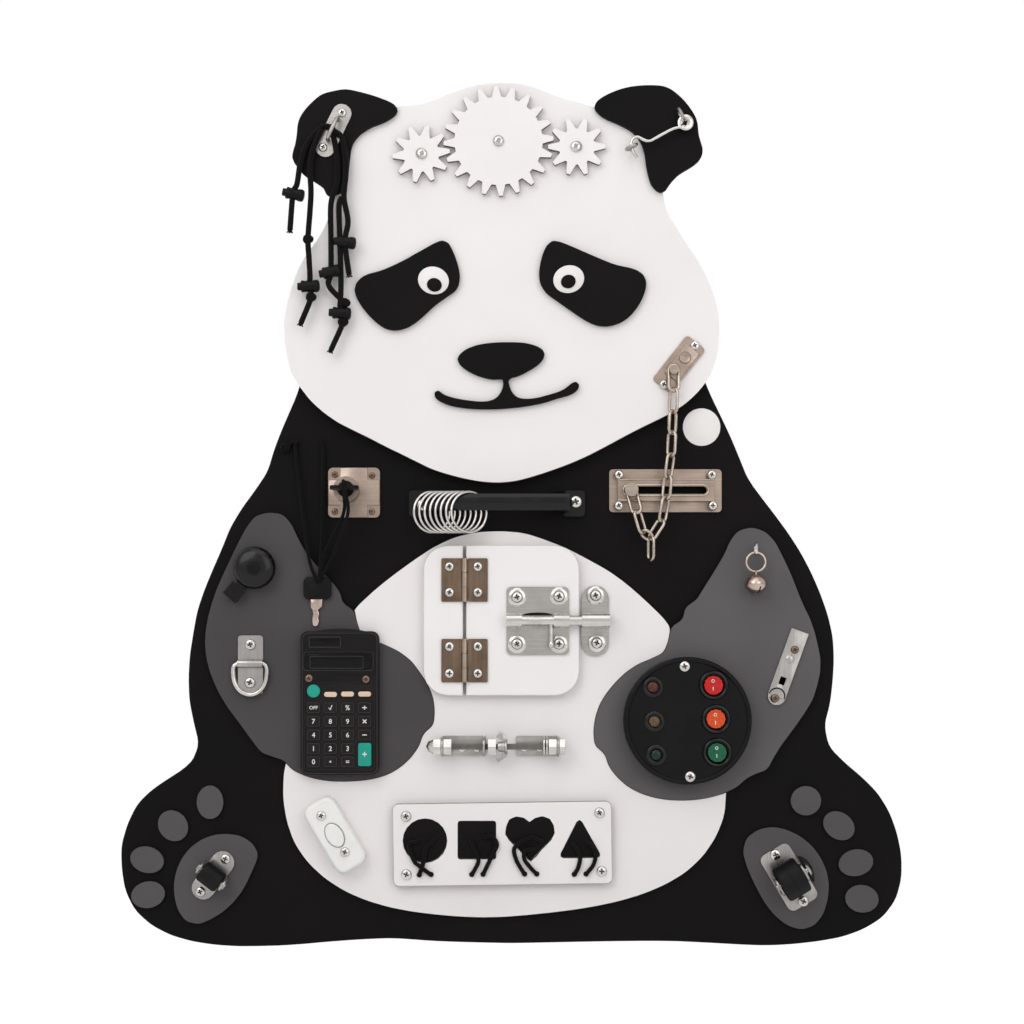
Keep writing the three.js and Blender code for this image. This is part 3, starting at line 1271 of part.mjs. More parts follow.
const boltPlateHeight = 54;
const boltPlateThickness = 1.5;
const boltPlateCorner = 4;
const boltPixels = [537.8, 617.5];
const boltRodRadius = 4.1;
const boltClearance = 0.35;
const boltBandWall = 1.5;
const boltBandLength = 12.2;
const boltTravel = 21;
const boltKnobRadius = 1.8;
const boltKnobLength = 19;
const boltKnobBallRadius = 2.9;
const boltTipShare = 0.8;
const keeperPlateWidth = 22;
const keeperPlateHeight = 56.5;
const keeperPlateThickness = 1.5;
const boltKeeperPixels = [595.9, 618.3];
const boltPlateWidth = 2 * (boltBandLength + boltKnobRadius + boltClearance) + boltTravel;
const boltBack = doorFace + seatGap;
const boltFace = boltBack + boltPlateThickness;
const boltLevel = boltFace + boltClearance + boltRodRadius;
const boltSpot = place(boltPixels, boltFace);
const boltKeeperX = place(boltKeeperPixels, boltLevel).x;
const keeperFace = bellyFace + seatGap + keeperPlateThickness;
const bandRadius = boltRodRadius + boltClearance + boltBandWall;
const boltRodBack = -boltPlateWidth / 2;
const boltRodTip = boltKeeperX - boltSpot.x + keeperPlateWidth * (boltTipShare - 1 / 2);

/** Half-round band over the bolt, with straight sides down to a face. */
const boltBand = (start, end, face) => cut(
  join(
    rodX(start, end, 0, boltLevel, bandRadius),
    box((start + end) / 2, 0, end - start, 2 * bandRadius, face - boltPlateThickness / 2, boltLevel)),
  rodX(start - overrun, end + overrun, 0, boltLevel, boltRodRadius + boltClearance),
  box((start + end) / 2, 0, end - start + 2 * overrun, 2 * (boltRodRadius + boltClearance), face, boltLevel),
  box((start + end) / 2, 0, end - start + 2 * overrun, 4 * bandRadius, 0, face - boltPlateThickness / 2),
);
const boltGroup = groupAt(board, boltSpot, 0);
const boltPlate = join(
  plate(roundRectangle(0, 0, boltPlateWidth, boltPlateHeight, boltPlateCorner), boltBack, boltFace),
  boltBand(-boltPlateWidth / 2, boltBandLength - boltPlateWidth / 2, boltFace),
  boltBand(boltPlateWidth / 2 - boltBandLength, boltPlateWidth / 2, boltFace),
);
addPiece(boltGroup, 'bolt_plate', boltPlate, steel);
const boltKnobX = boltPlateWidth / 2 - boltBandLength - boltKnobRadius - boltClearance;
const boltRod = join(
  rodX(boltRodBack, boltRodTip, 0, boltLevel, boltRodRadius),
  rodY(-boltKnobLength, 0, boltKnobX, boltLevel, boltKnobRadius, smallSides),
  ball(new THREE.Vector2(boltKnobX, -boltKnobLength), boltLevel, boltKnobBallRadius),
);
addPiece(boltGroup, 'bolt_rod', boltRod, steel);

const keeperHalf = keeperPlateWidth / 2;
const boltKeeper = join(
  plate(roundRectangle(0, 0, keeperPlateWidth, keeperPlateHeight, keeperHalf - seatGap),
    bellyFace + seatGap, keeperFace),
  boltBand(-keeperHalf, keeperHalf, keeperFace),
);
addPiece(groupAt(board, new THREE.Vector2(boltKeeperX, boltSpot.y), 0), 'bolt_keeper', boltKeeper, steel);

// Threaded rod in two brackets, with nuts, washers and a wing nut

const rodRadius = 2.4;
const rodClearance = 0.4;
const rodStand = 13.8;
const rodPixels = [500, 742.6];
const bracketThickness = 1.5;
const bracketWidth = 16.2;
const bracketFlangeRise = 7.5;
const leftBracketLength = 36;
const rightBracketLength = 34.8;
const leftBracketPixel = 440.3;
const rightBracketPixel = 559.9;
const acornLength = 12;
const nutRadius = 7;
const nutLength = 6.4;
const washerRadius = 8.4;
const washerThickness = 1.2;
const washerPitch = 2.2;
const washerInset = 10.6;
const endNutLength = 5;
const middleNutInset = 2.2;
const wingRootShare = 0.5;
const wingHubRadius = 4.8;
const wingHubLength = 7.6;
const wingReach = 12.4;
const wingThickness = 2.4;
const wingWidth = 7.5;
const wingLean = 2.4;
const rodLevel = bellyFace + rodStand;
const rodSpot = place(rodPixels, rodLevel);
const leftBracketX = place([leftBracketPixel, rodPixels[1]], rodLevel).x;
const rightBracketX = place([rightBracketPixel, rodPixels[1]], rodLevel).x;
const bracketFace = bellyFace + seatGap + bracketThickness;

/** Bracket between two places along the rod, with upstanding flanges that the rod passes. */
function rodBracket(start, end, flanges) {
  const base = plate(
    roundRectangle((start + end) / 2, rodSpot.y, end - start, bracketWidth, bracketThickness, 2),
    bellyFace + seatGap, bracketFace);
  const walls = flanges.map((x) => join(
    box(x, rodSpot.y, bracketThickness, bracketWidth, bracketFace - bracketThickness / 2, rodLevel),
    rodX(x - bracketThickness / 2, x + bracketThickness / 2, rodSpot.y, rodLevel, bracketFlangeRise)));
  return cut(join(base, ...walls),
    rodX(start - overrun, end + overrun, rodSpot.y, rodLevel, rodRadius + rodClearance, smallSides));
}
const leftFlanges = [leftBracketX + bracketThickness, leftBracketX + leftBracketLength - bracketThickness];
const rightFlange = rightBracketX - bracketThickness;
addPiece(board, 'left_rod_bracket',
  rodBracket(leftBracketX, leftBracketX + leftBracketLength, leftFlanges), steel);
addPiece(board, 'right_rod_bracket',
  rodBracket(rightBracketX - rightBracketLength, rightBracketX, [rightFlange]), steel);

const nut = (start, length) => rodX(start, start + length, rodSpot.y, rodLevel, nutRadius, 6);
const flangeReach = bracketThickness / 2 + seatGap;
const acornEnd = leftFlanges[0] - flangeReach;
const rodEnd = rightFlange + flangeReach + endNutLength;
const middleNutX = leftFlanges[1] + flangeReach + middleNutInset;
const washerX = rightFlange - flangeReach - washerInset;
const threadedRod = join(
  rodX(acornEnd - acornLength / 2, rodEnd, rodSpot.y, rodLevel, rodRadius, smallSides),
  nut(acornEnd - acornLength / 2, acornLength / 2),
  ball(new THREE.Vector2(acornEnd - acornLength / 2, rodSpot.y), rodLevel, acornLength / 2 - seatGap),
  nut(leftFlanges[0] + flangeReach, nutLength),
  nut(middleNutX, nutLength),
  nut(rightFlange - flangeReach - nutLength, nutLength),
  nut(rightFlange + flangeReach, endNutLength - seatGap),
  ...[0, 1].map((i) => rodX(washerX + i * washerPitch, washerX + i * washerPitch + washerThickness,
    rodSpot.y, rodLevel, washerRadius)),
);
addPiece(board, 'threaded_rod', threadedRod, steel);

/** Wing nut around X: a hub with two wings that lean along it. */
function wingNut() {
  const wing = (side) => {
    const root = wingHubRadius * wingRootShare;
    const shape = plate(roundRectangle(0, side * (root + wingReach) / 2, wingWidth, wingReach - root,
      wingThickness), -wingThickness / 2, wingThickness / 2);
    return moved(shape, -wingLean / 2, 0, 0);
  };
  const hub = join(rodX(-wingHubLength / 2, wingHubLength / 2, 0, 0, wingHubRadius), wing(1), wing(-1));
  return cut(hub, rodX(-wingHubLength, wingHubLength, 0, 0, rodRadius + rodClearance, smallSides));
}
const wingX = middleNutX + nutLength + seatGap + wingHubLength / 2 + wingLean / 2;
addPiece(groupAt(board, new THREE.Vector2(wingX, rodSpot.y), rodLevel), 'wing_nut', wingNut(), steel);

// Round switch housing with three rockers

const switchPixels = [688, 716.4];
const switchRadius = 50.6;
const switchHeight = 15;
const switchEdge = 2.5;
const rockerPixels = {
  red_rocker: [713.6, 680.7], orange_rocker: [715.9, 714.3], green_rocker: [717.2, 748],
};
const rockerLooks = { red_rocker: redPlastic, orange_rocker: orangePlastic, green_rocker: greenPlastic };
const rockerRadius = 7.8;
const rockerClearance = 0.45;
const rockerRise = 1.6;
const rockerDepthShare = 0.7;
const rockerBlockShare = 4;
const rockerTilt = THREE.MathUtils.degToRad(10);
const bezelRadius = 11.2;
const bezelRise = 1.4;
const switchBack = armFace + seatGap;
const switchFace = switchBack + switchHeight;
const switchSpot = place(switchPixels, switchFace);
const rockerLevel = switchFace + bezelRise / 2;
const rockerSpots = Object.entries(rockerPixels).map(([name, pixels]) => [name, place(pixels, rockerLevel)]);
const switchHousing = cut(
  join(
    plate(ovalPoints(switchSpot.x, switchSpot.y, switchRadius, switchRadius, 2 * fineSides), switchBack,
      switchFace, switchEdge),
    ...rockerSpots.map(([, spot]) => disc(spot.x, spot.y, bezelRadius, switchFace - overrun,
      switchFace + bezelRise, fineSides))),
  ...rockerSpots.map(([, spot]) => disc(spot.x, spot.y, rockerRadius + rockerClearance,
    rockerLevel - rockerRadius - 2 * rockerClearance, switchFace + bezelRise + overrun, fineSides)),
);
addPiece(board, 'switch_housing', switchHousing, blackPlastic);

/** Round rocker: the part of a ball below a tilted plane, so that it turns inside its well. */
function rocker() {
  const whole = solidOf(new THREE.SphereGeometry(rockerRadius, roundSides, wireSides));
  const block = rockerBlockShare * rockerRadius;
  const above = box(0, 0, block, block, rockerRise, block);
  const below = box(0, 0, block, block, -block, -rockerRadius * rockerDepthShare);
  return cut(whole, moved(above, 0, 0, 0, new THREE.Euler(-rockerTilt, 0, 0)),
    moved(below, 0, 0, 0, new THREE.Euler(-rockerTilt, 0, 0)));
}
for (const [name, spot] of rockerSpots) {
  addPiece(groupAt(board, spot, rockerLevel), name, rocker(), rockerLooks[name]);
}

// Jingle bell on a ring, hung from a screw eye on the right arm

const armEyePixels = [755.9, 546];
const armEyeRadius = 4.7;
const armEyeWire = 1.1;
const armEyeStand = 4.4;
const hungRingRadius = 7.8;
const hungRingWire = 1;
const jingleRadius = 8.6;
const jingleSlot = 1.1;
const jingleSlotDepth = 4;
const armEyeLevel = armFace + armEyeStand + armEyeRadius;
const armEyeSpot = place(armEyePixels, armEyeLevel);

const catchPixels = [785.5, 667];
const catchWidth = 14.5;
const catchLength = 62;
const catchThickness = 2;
const catchCorner = 1.2;
const catchTilt = THREE.MathUtils.degToRad(-19.9);
const catchWindowWidth = 6;
const catchWindowLength = 9.6;
const catchWindowDrop = 12.1;
const catchPlate = cut(
  plate(roundRectangle(0, 0, catchWidth, catchLength, catchCorner), -seatGap, catchThickness),
  plate(roundRectangle(0, -catchWindowDrop, catchWindowWidth, catchWindowLength, catchCorner),
    0, catchThickness + overrun),
);
const catchSpot = place(catchPixels, armFace);
const rightArm = join(
  plate(rightArmOutline, boardFace + seatGap, armFace),
  moved(catchPlate, catchSpot.x, catchSpot.y, armFace, new THREE.Euler(0, 0, catchTilt)),
  screwEye(armEyeSpot, armFace, armEyeStand, armEyeRadius, armEyeWire, Math.PI / 2),
);
addPiece(board, 'right_arm_panel', rightArm, greyPaint);

// The ring's top rests on the lower wire of the eye
const ringPivot = new THREE.Vector2(armEyeSpot.x, armEyeSpot.y - armEyeRadius);
const hungRingDrop = hungRingRadius - hungRingWire - armEyeWire - seatGap;
const jingleDrop = hungRingDrop + hungRingRadius + jingleRadius;
const jingle = cut(
  ball(new THREE.Vector2(0, -jingleDrop), 0, jingleRadius),
  ...[Math.PI / 4, -Math.PI / 4].map((angle) => moved(
    box(0, -jingleRadius, jingleSlot, 2 * jingleSlotDepth, -jingleRadius, jingleRadius), 0, -jingleDrop, 0,
    new THREE.Euler(0, angle, 0))),
);
const ringBell = join(moved(wireRing(hungRingRadius, hungRingWire), 0, -hungRingDrop, 0), jingle);
addPiece(groupAt(board, ringPivot, armEyeLevel), 'ring_bell', ringBell, nickel);

// In-line push switch

const pushPixels = [334.6, 831.4];
const pushTilt = THREE.MathUtils.degToRad(-59.2);
const pushLength = 61.5;
const pushWidth = 27.5;
const pushHeight = 13;
const pushCorner = 8;
const pushEdge = 2.2;
const pushButtonLength = 20.2;
const pushButtonWidth = 13.2;
const pushButtonTravel = 1.5;
const pushButtonRise = 1.6;
const pushButtonClearance = 0.4;
const pushButtonHeight = 4;
const pushBack = bellyFace + seatGap;
const pushFace = pushBack + pushHeight;
const pushGroup = groupAt(board, place(pushPixels, pushFace), 0, pushTilt);
const pushWellFloor = pushFace + pushButtonRise - pushButtonHeight - pushButtonTravel - seatGap;
const buttonOval = (grow) => ovalPoints(
  0, 0, pushButtonLength / 2 + grow, pushButtonWidth / 2 + grow, fineSides);
addPiece(pushGroup, 'touch_switch_case', cut(
  plate(roundRectangle(0, 0, pushLength, pushWidth, pushCorner), pushBack, pushFace, pushEdge),
  plate(buttonOval(pushButtonClearance), pushWellFloor, pushFace + overrun),
), whitePlastic);
addPiece(pushGroup, 'touch_switch_button', plate(buttonOval(0),
  pushFace + pushButtonRise - pushButtonHeight, pushFace + pushButtonRise, pushButtonRise / 2), whitePlastic);

// Shape tray and its four inserts

const squareCorner = 1.5;
const triangleCorner = 2;
const traySpot = place(trayPixels, trayFace);
const insertBack = trayBack + trayFloor + seatGap;

/** Outline of a polygon with round corners. */
function roundPolygon(points, radius) {
  return points.flatMap((corner, i) => {
    const before = points[(i + points.length - 1) % points.length];
    const after = points[(i + 1) % points.length];
    const inward = new THREE.Vector2().subVectors(before, corner).normalize();
    const outward = new THREE.Vector2().subVectors(after, corner).normalize();
    const half = Math.acos(inward.dot(outward)) / 2;
    const reach = radius / Math.tan(half);
    const middle = new THREE.Vector2().addVectors(inward, outward).normalize();
    return [
      inward.multiplyScalar(reach).add(corner),
      middle.multiplyScalar(radius / Math.sin(half) - radius).add(corner),
      outward.multiplyScalar(reach).add(corner),
    ];
  });
}
const circleSpot = place(circlePixels, trayFace);
const squareSpot = place(squarePixels, trayFace);
const insertOutlines = {
  circle: ovalPoints(circleSpot.x, circleSpot.y, circleRadius, circleRadius, fineSides),
  square: roundRectangle(squareSpot.x, squareSpot.y, squareSide, squareSide, squareCorner, 2),
  heart: smoothOutline(heartPixels, trayFace, fineSides),
  triangle: roundPolygon(trianglePixels.map((pixel) => place(pixel, trayFace)), triangleCorner),
};
const shapeTray = cut(
  moved(plate(roundRectangle(0, 0, trayWidth, trayHeight, trayCorner), trayBack, trayFace, trayEdge),
    traySpot.x, traySpot.y, 0, new THREE.Euler(0, 0, trayTilt)),
  ...Object.values(insertOutlines).map((outline) =>
    plate(grownOutline(outline, insertClearance), trayBack + trayFloor, trayFace + overrun)),
  ...cordHoles(trayBack - overrun, trayFace + overrun),
);
addPiece(board, 'shape_tray', shapeTray, whitePaint);

/** Pull cord that rises from an insert, lies over its rim and goes down into the tray. */
function pullCord(route) {
  const level = trayFace + cordLift + cordRadius;
  const points = route.map((pixel) => {
    const spot = place(pixel, trayFace);
    return new THREE.Vector3(spot.x, spot.y, level);
  });
  const [start, end] = [points[0], points.at(-1)];
  return join(
    tube(points, cordRadius, cordSteps, cordFacets),
    disc(start.x, start.y, cordRadius, trayFace - overrun / 2, level, smallSides),
    disc(end.x, end.y, cordRadius, cordEnd, level, smallSides),
  );
}
for (const [name, outline] of Object.entries(insertOutlines)) {
  const insert = join(plate(outline, insertBack, trayFace), ...pullCordPixels[name].map(pullCord));
  addPiece(board, `${name}_insert`, insert, blackPaint);
}

// Plate casters on the paws

const casters = {
  left_caster: {
    pixels: [213, 874.1], turn: -37.4, plateWidth: 18.5, plateLength: 43.7, plateCorner: 9,
    wheelRadius: 8.9, wheelWidth: 18.7, cheekOuter: 24.3, cheekLength: 11,
  },
  right_caster: {
    pixels: [789, 876], turn: 31, plateWidth: 26.5, plateLength: 50.9, plateCorner: 5,
    wheelRadius: 15, wheelWidth: 20, cheekOuter: 24.6, cheekLength: 16,
  },
};
const casterPlateThickness = 1.8;
const cheekThickness = 1.6;
const wheelLift = 1.2;
const wheelRound = 1.6;
const axleRadius = 1.9;
const axleClearance = 0.45;
const axleHeadRadius = 3;
const axleHeadLength = 1.2;
const casterBack = padFace + seatGap;

for (const [name, sizes] of Object.entries(casters)) {
  const level = casterPlateThickness + wheelLift + sizes.wheelRadius;
  const spot = place(sizes.pixels, casterBack + casterPlateThickness);
  const caster = groupAt(board, spot, casterBack, THREE.MathUtils.degToRad(sizes.turn));
  const cheekX = (sizes.cheekOuter - cheekThickness) / 2;
  const cheeks = [-cheekX, cheekX].flatMap((x) => [
    box(x, 0, cheekThickness, sizes.cheekLength, 0, level),
    rodX(x - cheekThickness / 2, x + cheekThickness / 2, 0, level, sizes.cheekLength / 2),
  ]);
  const reach = sizes.cheekOuter / 2 + axleHeadLength;
  const frame = join(
    plate(roundRectangle(0, 0, sizes.plateWidth, sizes.plateLength, sizes.plateCorner), 0, casterPlateThickness),
    box(0, 0, sizes.cheekOuter, sizes.cheekLength, 0, casterPlateThickness),
    ...cheeks,
    rodX(-reach, reach, 0, level, axleRadius, smallSides),
    rodX(-reach, -cheekX, 0, level, axleHeadRadius),
    rodX(cheekX, reach, 0, level, axleHeadRadius),
  );
  addPiece(caster, `${name}_frame`, frame, steel);
  const [bore, rim, half] = [axleRadius + axleClearance, sizes.wheelRadius, sizes.wheelWidth / 2];
  const wheel = moved(turned([
    [bore, -half], [rim - wheelRound, -half], [rim, wheelRound - half], [rim, half - wheelRound],
    [rim - wheelRound, half], [bore, half], [bore, -half],
  ], fineSides), 0, 0, 0, new THREE.Euler(0, Math.PI / 2, 0));
  const axle = new THREE.Group();
  axle.position.z = level;
  caster.add(axle);
  addPiece(axle, `${name}_wheel`, wheel, blackRubber);
}

export default part;
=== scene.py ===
"""Looks of a wooden busy board in the shape of a sitting panda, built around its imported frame."""
import logging
import math
from dataclasses import dataclass, field
from enum import Enum
from typing import Callable, Iterable, Sequence

import bmesh
import bpy
from mathutils import Matrix, Vector
from mathutils.bvhtree import BVHTree


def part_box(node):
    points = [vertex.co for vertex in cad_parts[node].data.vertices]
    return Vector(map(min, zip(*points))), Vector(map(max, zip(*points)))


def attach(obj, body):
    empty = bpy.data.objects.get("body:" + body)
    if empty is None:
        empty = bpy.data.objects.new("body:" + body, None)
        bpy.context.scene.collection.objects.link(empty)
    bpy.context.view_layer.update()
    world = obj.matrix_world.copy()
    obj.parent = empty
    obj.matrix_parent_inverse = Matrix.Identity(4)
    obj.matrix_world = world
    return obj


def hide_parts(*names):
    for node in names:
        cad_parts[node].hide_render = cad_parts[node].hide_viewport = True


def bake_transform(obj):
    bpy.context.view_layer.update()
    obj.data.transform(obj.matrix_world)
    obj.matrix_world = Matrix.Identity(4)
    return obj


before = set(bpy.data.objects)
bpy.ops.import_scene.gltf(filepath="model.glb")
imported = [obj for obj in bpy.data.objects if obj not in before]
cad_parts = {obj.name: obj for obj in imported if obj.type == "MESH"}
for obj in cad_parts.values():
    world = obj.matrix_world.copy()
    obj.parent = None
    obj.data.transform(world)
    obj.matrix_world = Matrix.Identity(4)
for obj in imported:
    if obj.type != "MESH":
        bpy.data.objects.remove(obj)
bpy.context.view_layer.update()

LOG = logging.getLogger("busy_board")
MM = 0.001
WELD = 1e-6

Shape = bmesh.types.BMesh
Pixels = tuple[tuple[float, float], ...]

# Scale and viewpoint of the photograph
PIXEL = 0.8
VIEW_DISTANCE = 1700.0
AXIS_COLUMN, AXIS_ROW = 511.0, 1011.0
ORIGIN_ROW = 514.0
BOARD_FACE = 10.0
ARM_FACE = 15.3
FACE_FACE = 23.6
SIDES = ("left", "right")

# Places, levels and turns that more than one piece uses
CLEAR_KEY = (313.6, 687.8)
KEY_FACE = 24.9
KEEPER = (666.0, 488.5)
KEEPER_TOP = 17.3
ROD_LEVEL = 28.1
CATCH_TURN = -19.9

# Distances from the wall beyond which a node's faces take its second finish
PAW_PADS = 10.5
HEAD_FITTINGS = 19.8
EAR_FITTINGS = 24.0
HINGE_KNUCKLES = 24.7
# The bolt's and keeper's bands take bright steel, glossier and lighter; the lighter colour is a painted highlight.
BOLT_BANDS = 25.0
KEEPER_BAND = 17.0


def spot(column: float, row: float, height: float) -> Vector:
    """Turns a photographed place into a point of the frame.

    Args:
        column: Pixel column in the photograph.
        row: Pixel row in the photograph.
        height: Distance from the wall in millimetres.

    Returns:
        The point in metres.
    """
    nearer = PIXEL * (1 - (height - BOARD_FACE) / VIEW_DISTANCE)
    x = (column - AXIS_COLUMN) * nearer
    z = (ORIGIN_ROW - AXIS_ROW) * PIXEL + (AXIS_ROW - row) * nearer
    return Vector((x, -height, z)) * MM


# Turns the line round which a shape was spun from Z to X
SIDEWAYS = Matrix.Rotation(math.radians(90), 4, "Y")


def spots(pixels: Iterable[Sequence[float]], height: float) -> list[Vector]:
    """Turns photographed places at one distance from the wall into points; see spot."""
    return [spot(column, row, height) for column, row in pixels]


def linear(code: str) -> tuple[float, float, float, float]:
    """Turns a colour code such as 4e4a4c into linear light."""
    parts = [int(code[i:i + 2], 16) / 255 for i in (0, 2, 4)]
    light = [c / 12.92 if c <= 0.04045 else ((c + 0.055) / 1.055) ** 2.4 for c in parts]
    return light[0], light[1], light[2], 1.0


class Slot(Enum):
    """Material slots of the record."""

    BLACK_PAINT = "black_paint"
    WHITE_PAINT = "white_paint"
    DARK_GREY_PAINT = "dark_grey_paint"
    GREY_PAINT = "grey_paint"
    BLACK_PLASTIC = "black_plastic"
    WHITE_PLASTIC = "white_plastic"
    STEEL = "steel"
    NICKEL = "nickel"
    BRONZE = "bronze"
    RUBBER = "black_rubber"
    ROPE = "rope"
    RED = "red_plastic"
    ORANGE = "orange_plastic"
    GREEN = "green_plastic"
    KEYPAD = "keypad"


class Axis(Enum):
    """Direction along which a pattern is drawn out."""

    X = (0, 1, 1)
    Y = (1, 0, 1)
    Z = (1, 1, 0)


# Node groups that several finishes share


class NodeSheet:
    """A node tree that is filled in step by step."""

    def __init__(self, tree: bpy.types.NodeTree) -> None:
        """Keeps the tree and its links."""
        self.tree = tree
        self.nodes = tree.nodes
        self.links = tree.links

    def add(self, kind: str, **values: object) -> bpy.types.Node:
        """Adds a node.

        Args:
            kind: Blender's name of the node type.
            **values: Attributes to set on the node.

        Returns:
            The new node.
        """
        node = self.nodes.new(kind)
        for name, value in values.items():
            setattr(node, name, value)
        return node

    def join(self, source: bpy.types.NodeSocket, target: bpy.types.NodeSocket) -> None:
        """Links an output to an input."""
        self.links.new(source, target)

    def feed(self, value: object, target: bpy.types.NodeSocket) -> None:
        """Links a socket to an input, or sets the input to a plain value."""
        if isinstance(value, bpy.types.NodeSocket):
            self.join(value, target)
        else:
            target.default_value = value

    def mix(self, share: object, first: object, second: object) -> bpy.types.NodeSocket:
        """Mixes two colours.

        Args:
            share: Socket or number that is the second colour's share.
            first: Socket or colour.
            second: Socket or colour.

        Returns:
            The mixed colour's socket.
        """
        node = self.add("ShaderNodeMix", data_type="RGBA")
        for value, target in ((share, node.inputs[0]), (first, node.inputs[6]), (second, node.inputs[7])):
            self.feed(value, target)
        return node.outputs[2]

    def fit(self, value: bpy.types.NodeSocket, low: float, high: float, to_low: float,
            to_high: float) -> bpy.types.NodeSocket:
        """Maps a value from one range to another and holds it there.

        Args:
            value: Socket to map.
            low: Value that becomes to_low.
            high: Value that becomes to_high.
            to_low: New low value.
            to_high: New high value.

        Returns:
            The mapped socket.
        """
        node = self.add("ShaderNodeMapRange")
        self.join(value, node.inputs[0])
        for index, number in enumerate((low, high, to_low, to_high), start=1):
            node.inputs[index].default_value = number
        return node.outputs[0]

    def math(self, what: str, first: object, second: object = 0.0) -> bpy.types.NodeSocket:
        """Adds a sum of two sockets or numbers.

        Args:
            what: Blender's name of the sum.
            first: Socket or number.
            second: Socket or number.

        Returns:
            The result's socket.
        """
        node = self.add("ShaderNodeMath", operation=what)
        self.feed(first, node.inputs[0])
        self.feed(second, node.inputs[1])
        return node.outputs[0]


def new_group(name: str, inputs: dict[str, float], outputs: Sequence[str]) -> tuple[NodeSheet, object, object]:
    """Starts a node group.

    Args:
        name: Name of the group.
        inputs: Names of the inputs and their first values.
        outputs: Names of the outputs.

    Returns:
        The sheet of the group, its input node and its output node.
    """
    tree = bpy.data.node_groups.new(name, "ShaderNodeTree")
    for label, value in inputs.items():
        tree.interface.new_socket(label, in_out="INPUT", socket_type="NodeSocketFloat").default_value = value
    for label in outputs:
        tree.interface.new_socket(label, in_out="OUTPUT", socket_type="NodeSocketFloat")
    sheet = NodeSheet(tree)
    return sheet, sheet.add("NodeGroupInput"), sheet.add("NodeGroupOutput")


def object_noise(sheet: NodeSheet, scale: object, detail: float, stretch: Sequence[float] = (1, 1, 1),
                 offset: Sequence[float] = (0, 0, 0)) -> bpy.types.NodeSocket:
    """Adds noise that sits still on the object.

    Args:
        sheet: Node tree to add it to.
        scale: Socket or number for the noise's scale.
        detail: Octaves of the noise.
        stretch: Scale along each axis.
        offset: Shift along each axis.

    Returns:
        The noise's value.
    """
    place = sheet.add("ShaderNodeTexCoord")
    mapping = sheet.add("ShaderNodeMapping")
    mapping.inputs["Scale"].default_value = stretch
    mapping.inputs["Location"].default_value = offset
    noise = sheet.add("ShaderNodeTexNoise")
    noise.inputs["Detail"].default_value = detail
    sheet.join(place.outputs["Object"], mapping.inputs["Vector"])
    sheet.join(mapping.outputs["Vector"], noise.inputs["Vector"])
    sheet.feed(scale, noise.inputs["Scale"])
    return noise.outputs["Fac"]


def paint_group() -> bpy.types.NodeTree:
    """Builds the roller texture and faint cloudiness of painted boards."""
    sheet, given, made = new_group("painted_board", {"Stipple Scale": 900.0, "Cloud Scale": 9.0},
                                   ("Height", "Cloud", "Speck"))
    stipple = object_noise(sheet, given.outputs["Stipple Scale"], 3.0)
    cloud = object_noise(sheet, given.outputs["Cloud Scale"], 4.0, (1, 1, 1.4))
    speck = object_noise(sheet, 420.0, 1.0, offset=(3, 1, 2))
    sheet.join(stipple, made.inputs["Height"])
    sheet.join(sheet.fit(cloud, 0.3, 0.7, 0.0, 1.0), made.inputs["Cloud"])
    sheet.join(sheet.fit(speck, 0.7, 0.76, 0.0, 1.0), made.inputs["Speck"])
    return sheet.tree


def edge_group() -> bpy.types.NodeTree:
    """Builds the mask of cut edges, where the surface faces sideways."""
    sheet, given, made = new_group("cut_edge", {"Sharpness": 0.35}, ("Edge", "Burn"))
    split = sheet.add("ShaderNodeSeparateXYZ")
    sheet.join(sheet.add("ShaderNodeTexCoord").outputs["Normal"], split.inputs[0])
    frontal = sheet.math("ABSOLUTE", split.outputs["Y"])
    sheet.join(sheet.fit(frontal, 0.2, 0.5, 1.0, 0.0), made.inputs["Edge"])
    burn = object_noise(sheet, 160.0, 3.0, (1, 6, 1))
    sheet.join(sheet.math("MULTIPLY", sheet.fit(burn, 0.3, 0.65, 0.0, 1.0), given.outputs["Sharpness"]),
               made.inputs["Burn"])
    return sheet.tree


def brushed_group(axis: Axis) -> bpy.types.NodeTree:
    """Builds fine scratches drawn out along one axis, and broad smudges.

    Args:
        axis: Direction of the scratches.

    Returns:
        The node group.
    """
    sheet, given, made = new_group(f"brushed_{axis.name.lower()}", {"Scratch Scale": 900.0},
                                   ("Height", "Streak", "Smudge"))
    stretch = [1.0 if part else 0.03 for part in axis.value]
    streak = object_noise(sheet, given.outputs["Scratch Scale"], 3.0, stretch)
    smudge = object_noise(sheet, 70.0, 3.0)
    sheet.join(streak, made.inputs["Height"])
    sheet.join(sheet.fit(streak, 0.3, 0.7, 0.0, 1.0), made.inputs["Streak"])
    sheet.join(sheet.fit(smudge, 0.35, 0.68, 0.0, 1.0), made.inputs["Smudge"])
    return sheet.tree


def moulded_group() -> bpy.types.NodeTree:
    """Builds the fine spark texture and light dust of moulded plastic."""
    sheet, given, made = new_group("moulded_skin", {"Grain Scale": 1600.0}, ("Height", "Dust"))
    grain = object_noise(sheet, given.outputs["Grain Scale"], 2.0)
    dust = object_noise(sheet, 55.0, 4.0, offset=(5, 2, 7))
    sheet.join(grain, made.inputs["Height"])
    sheet.join(sheet.fit(dust, 0.42, 0.75, 0.0, 1.0), made.inputs["Dust"])
    return sheet.tree


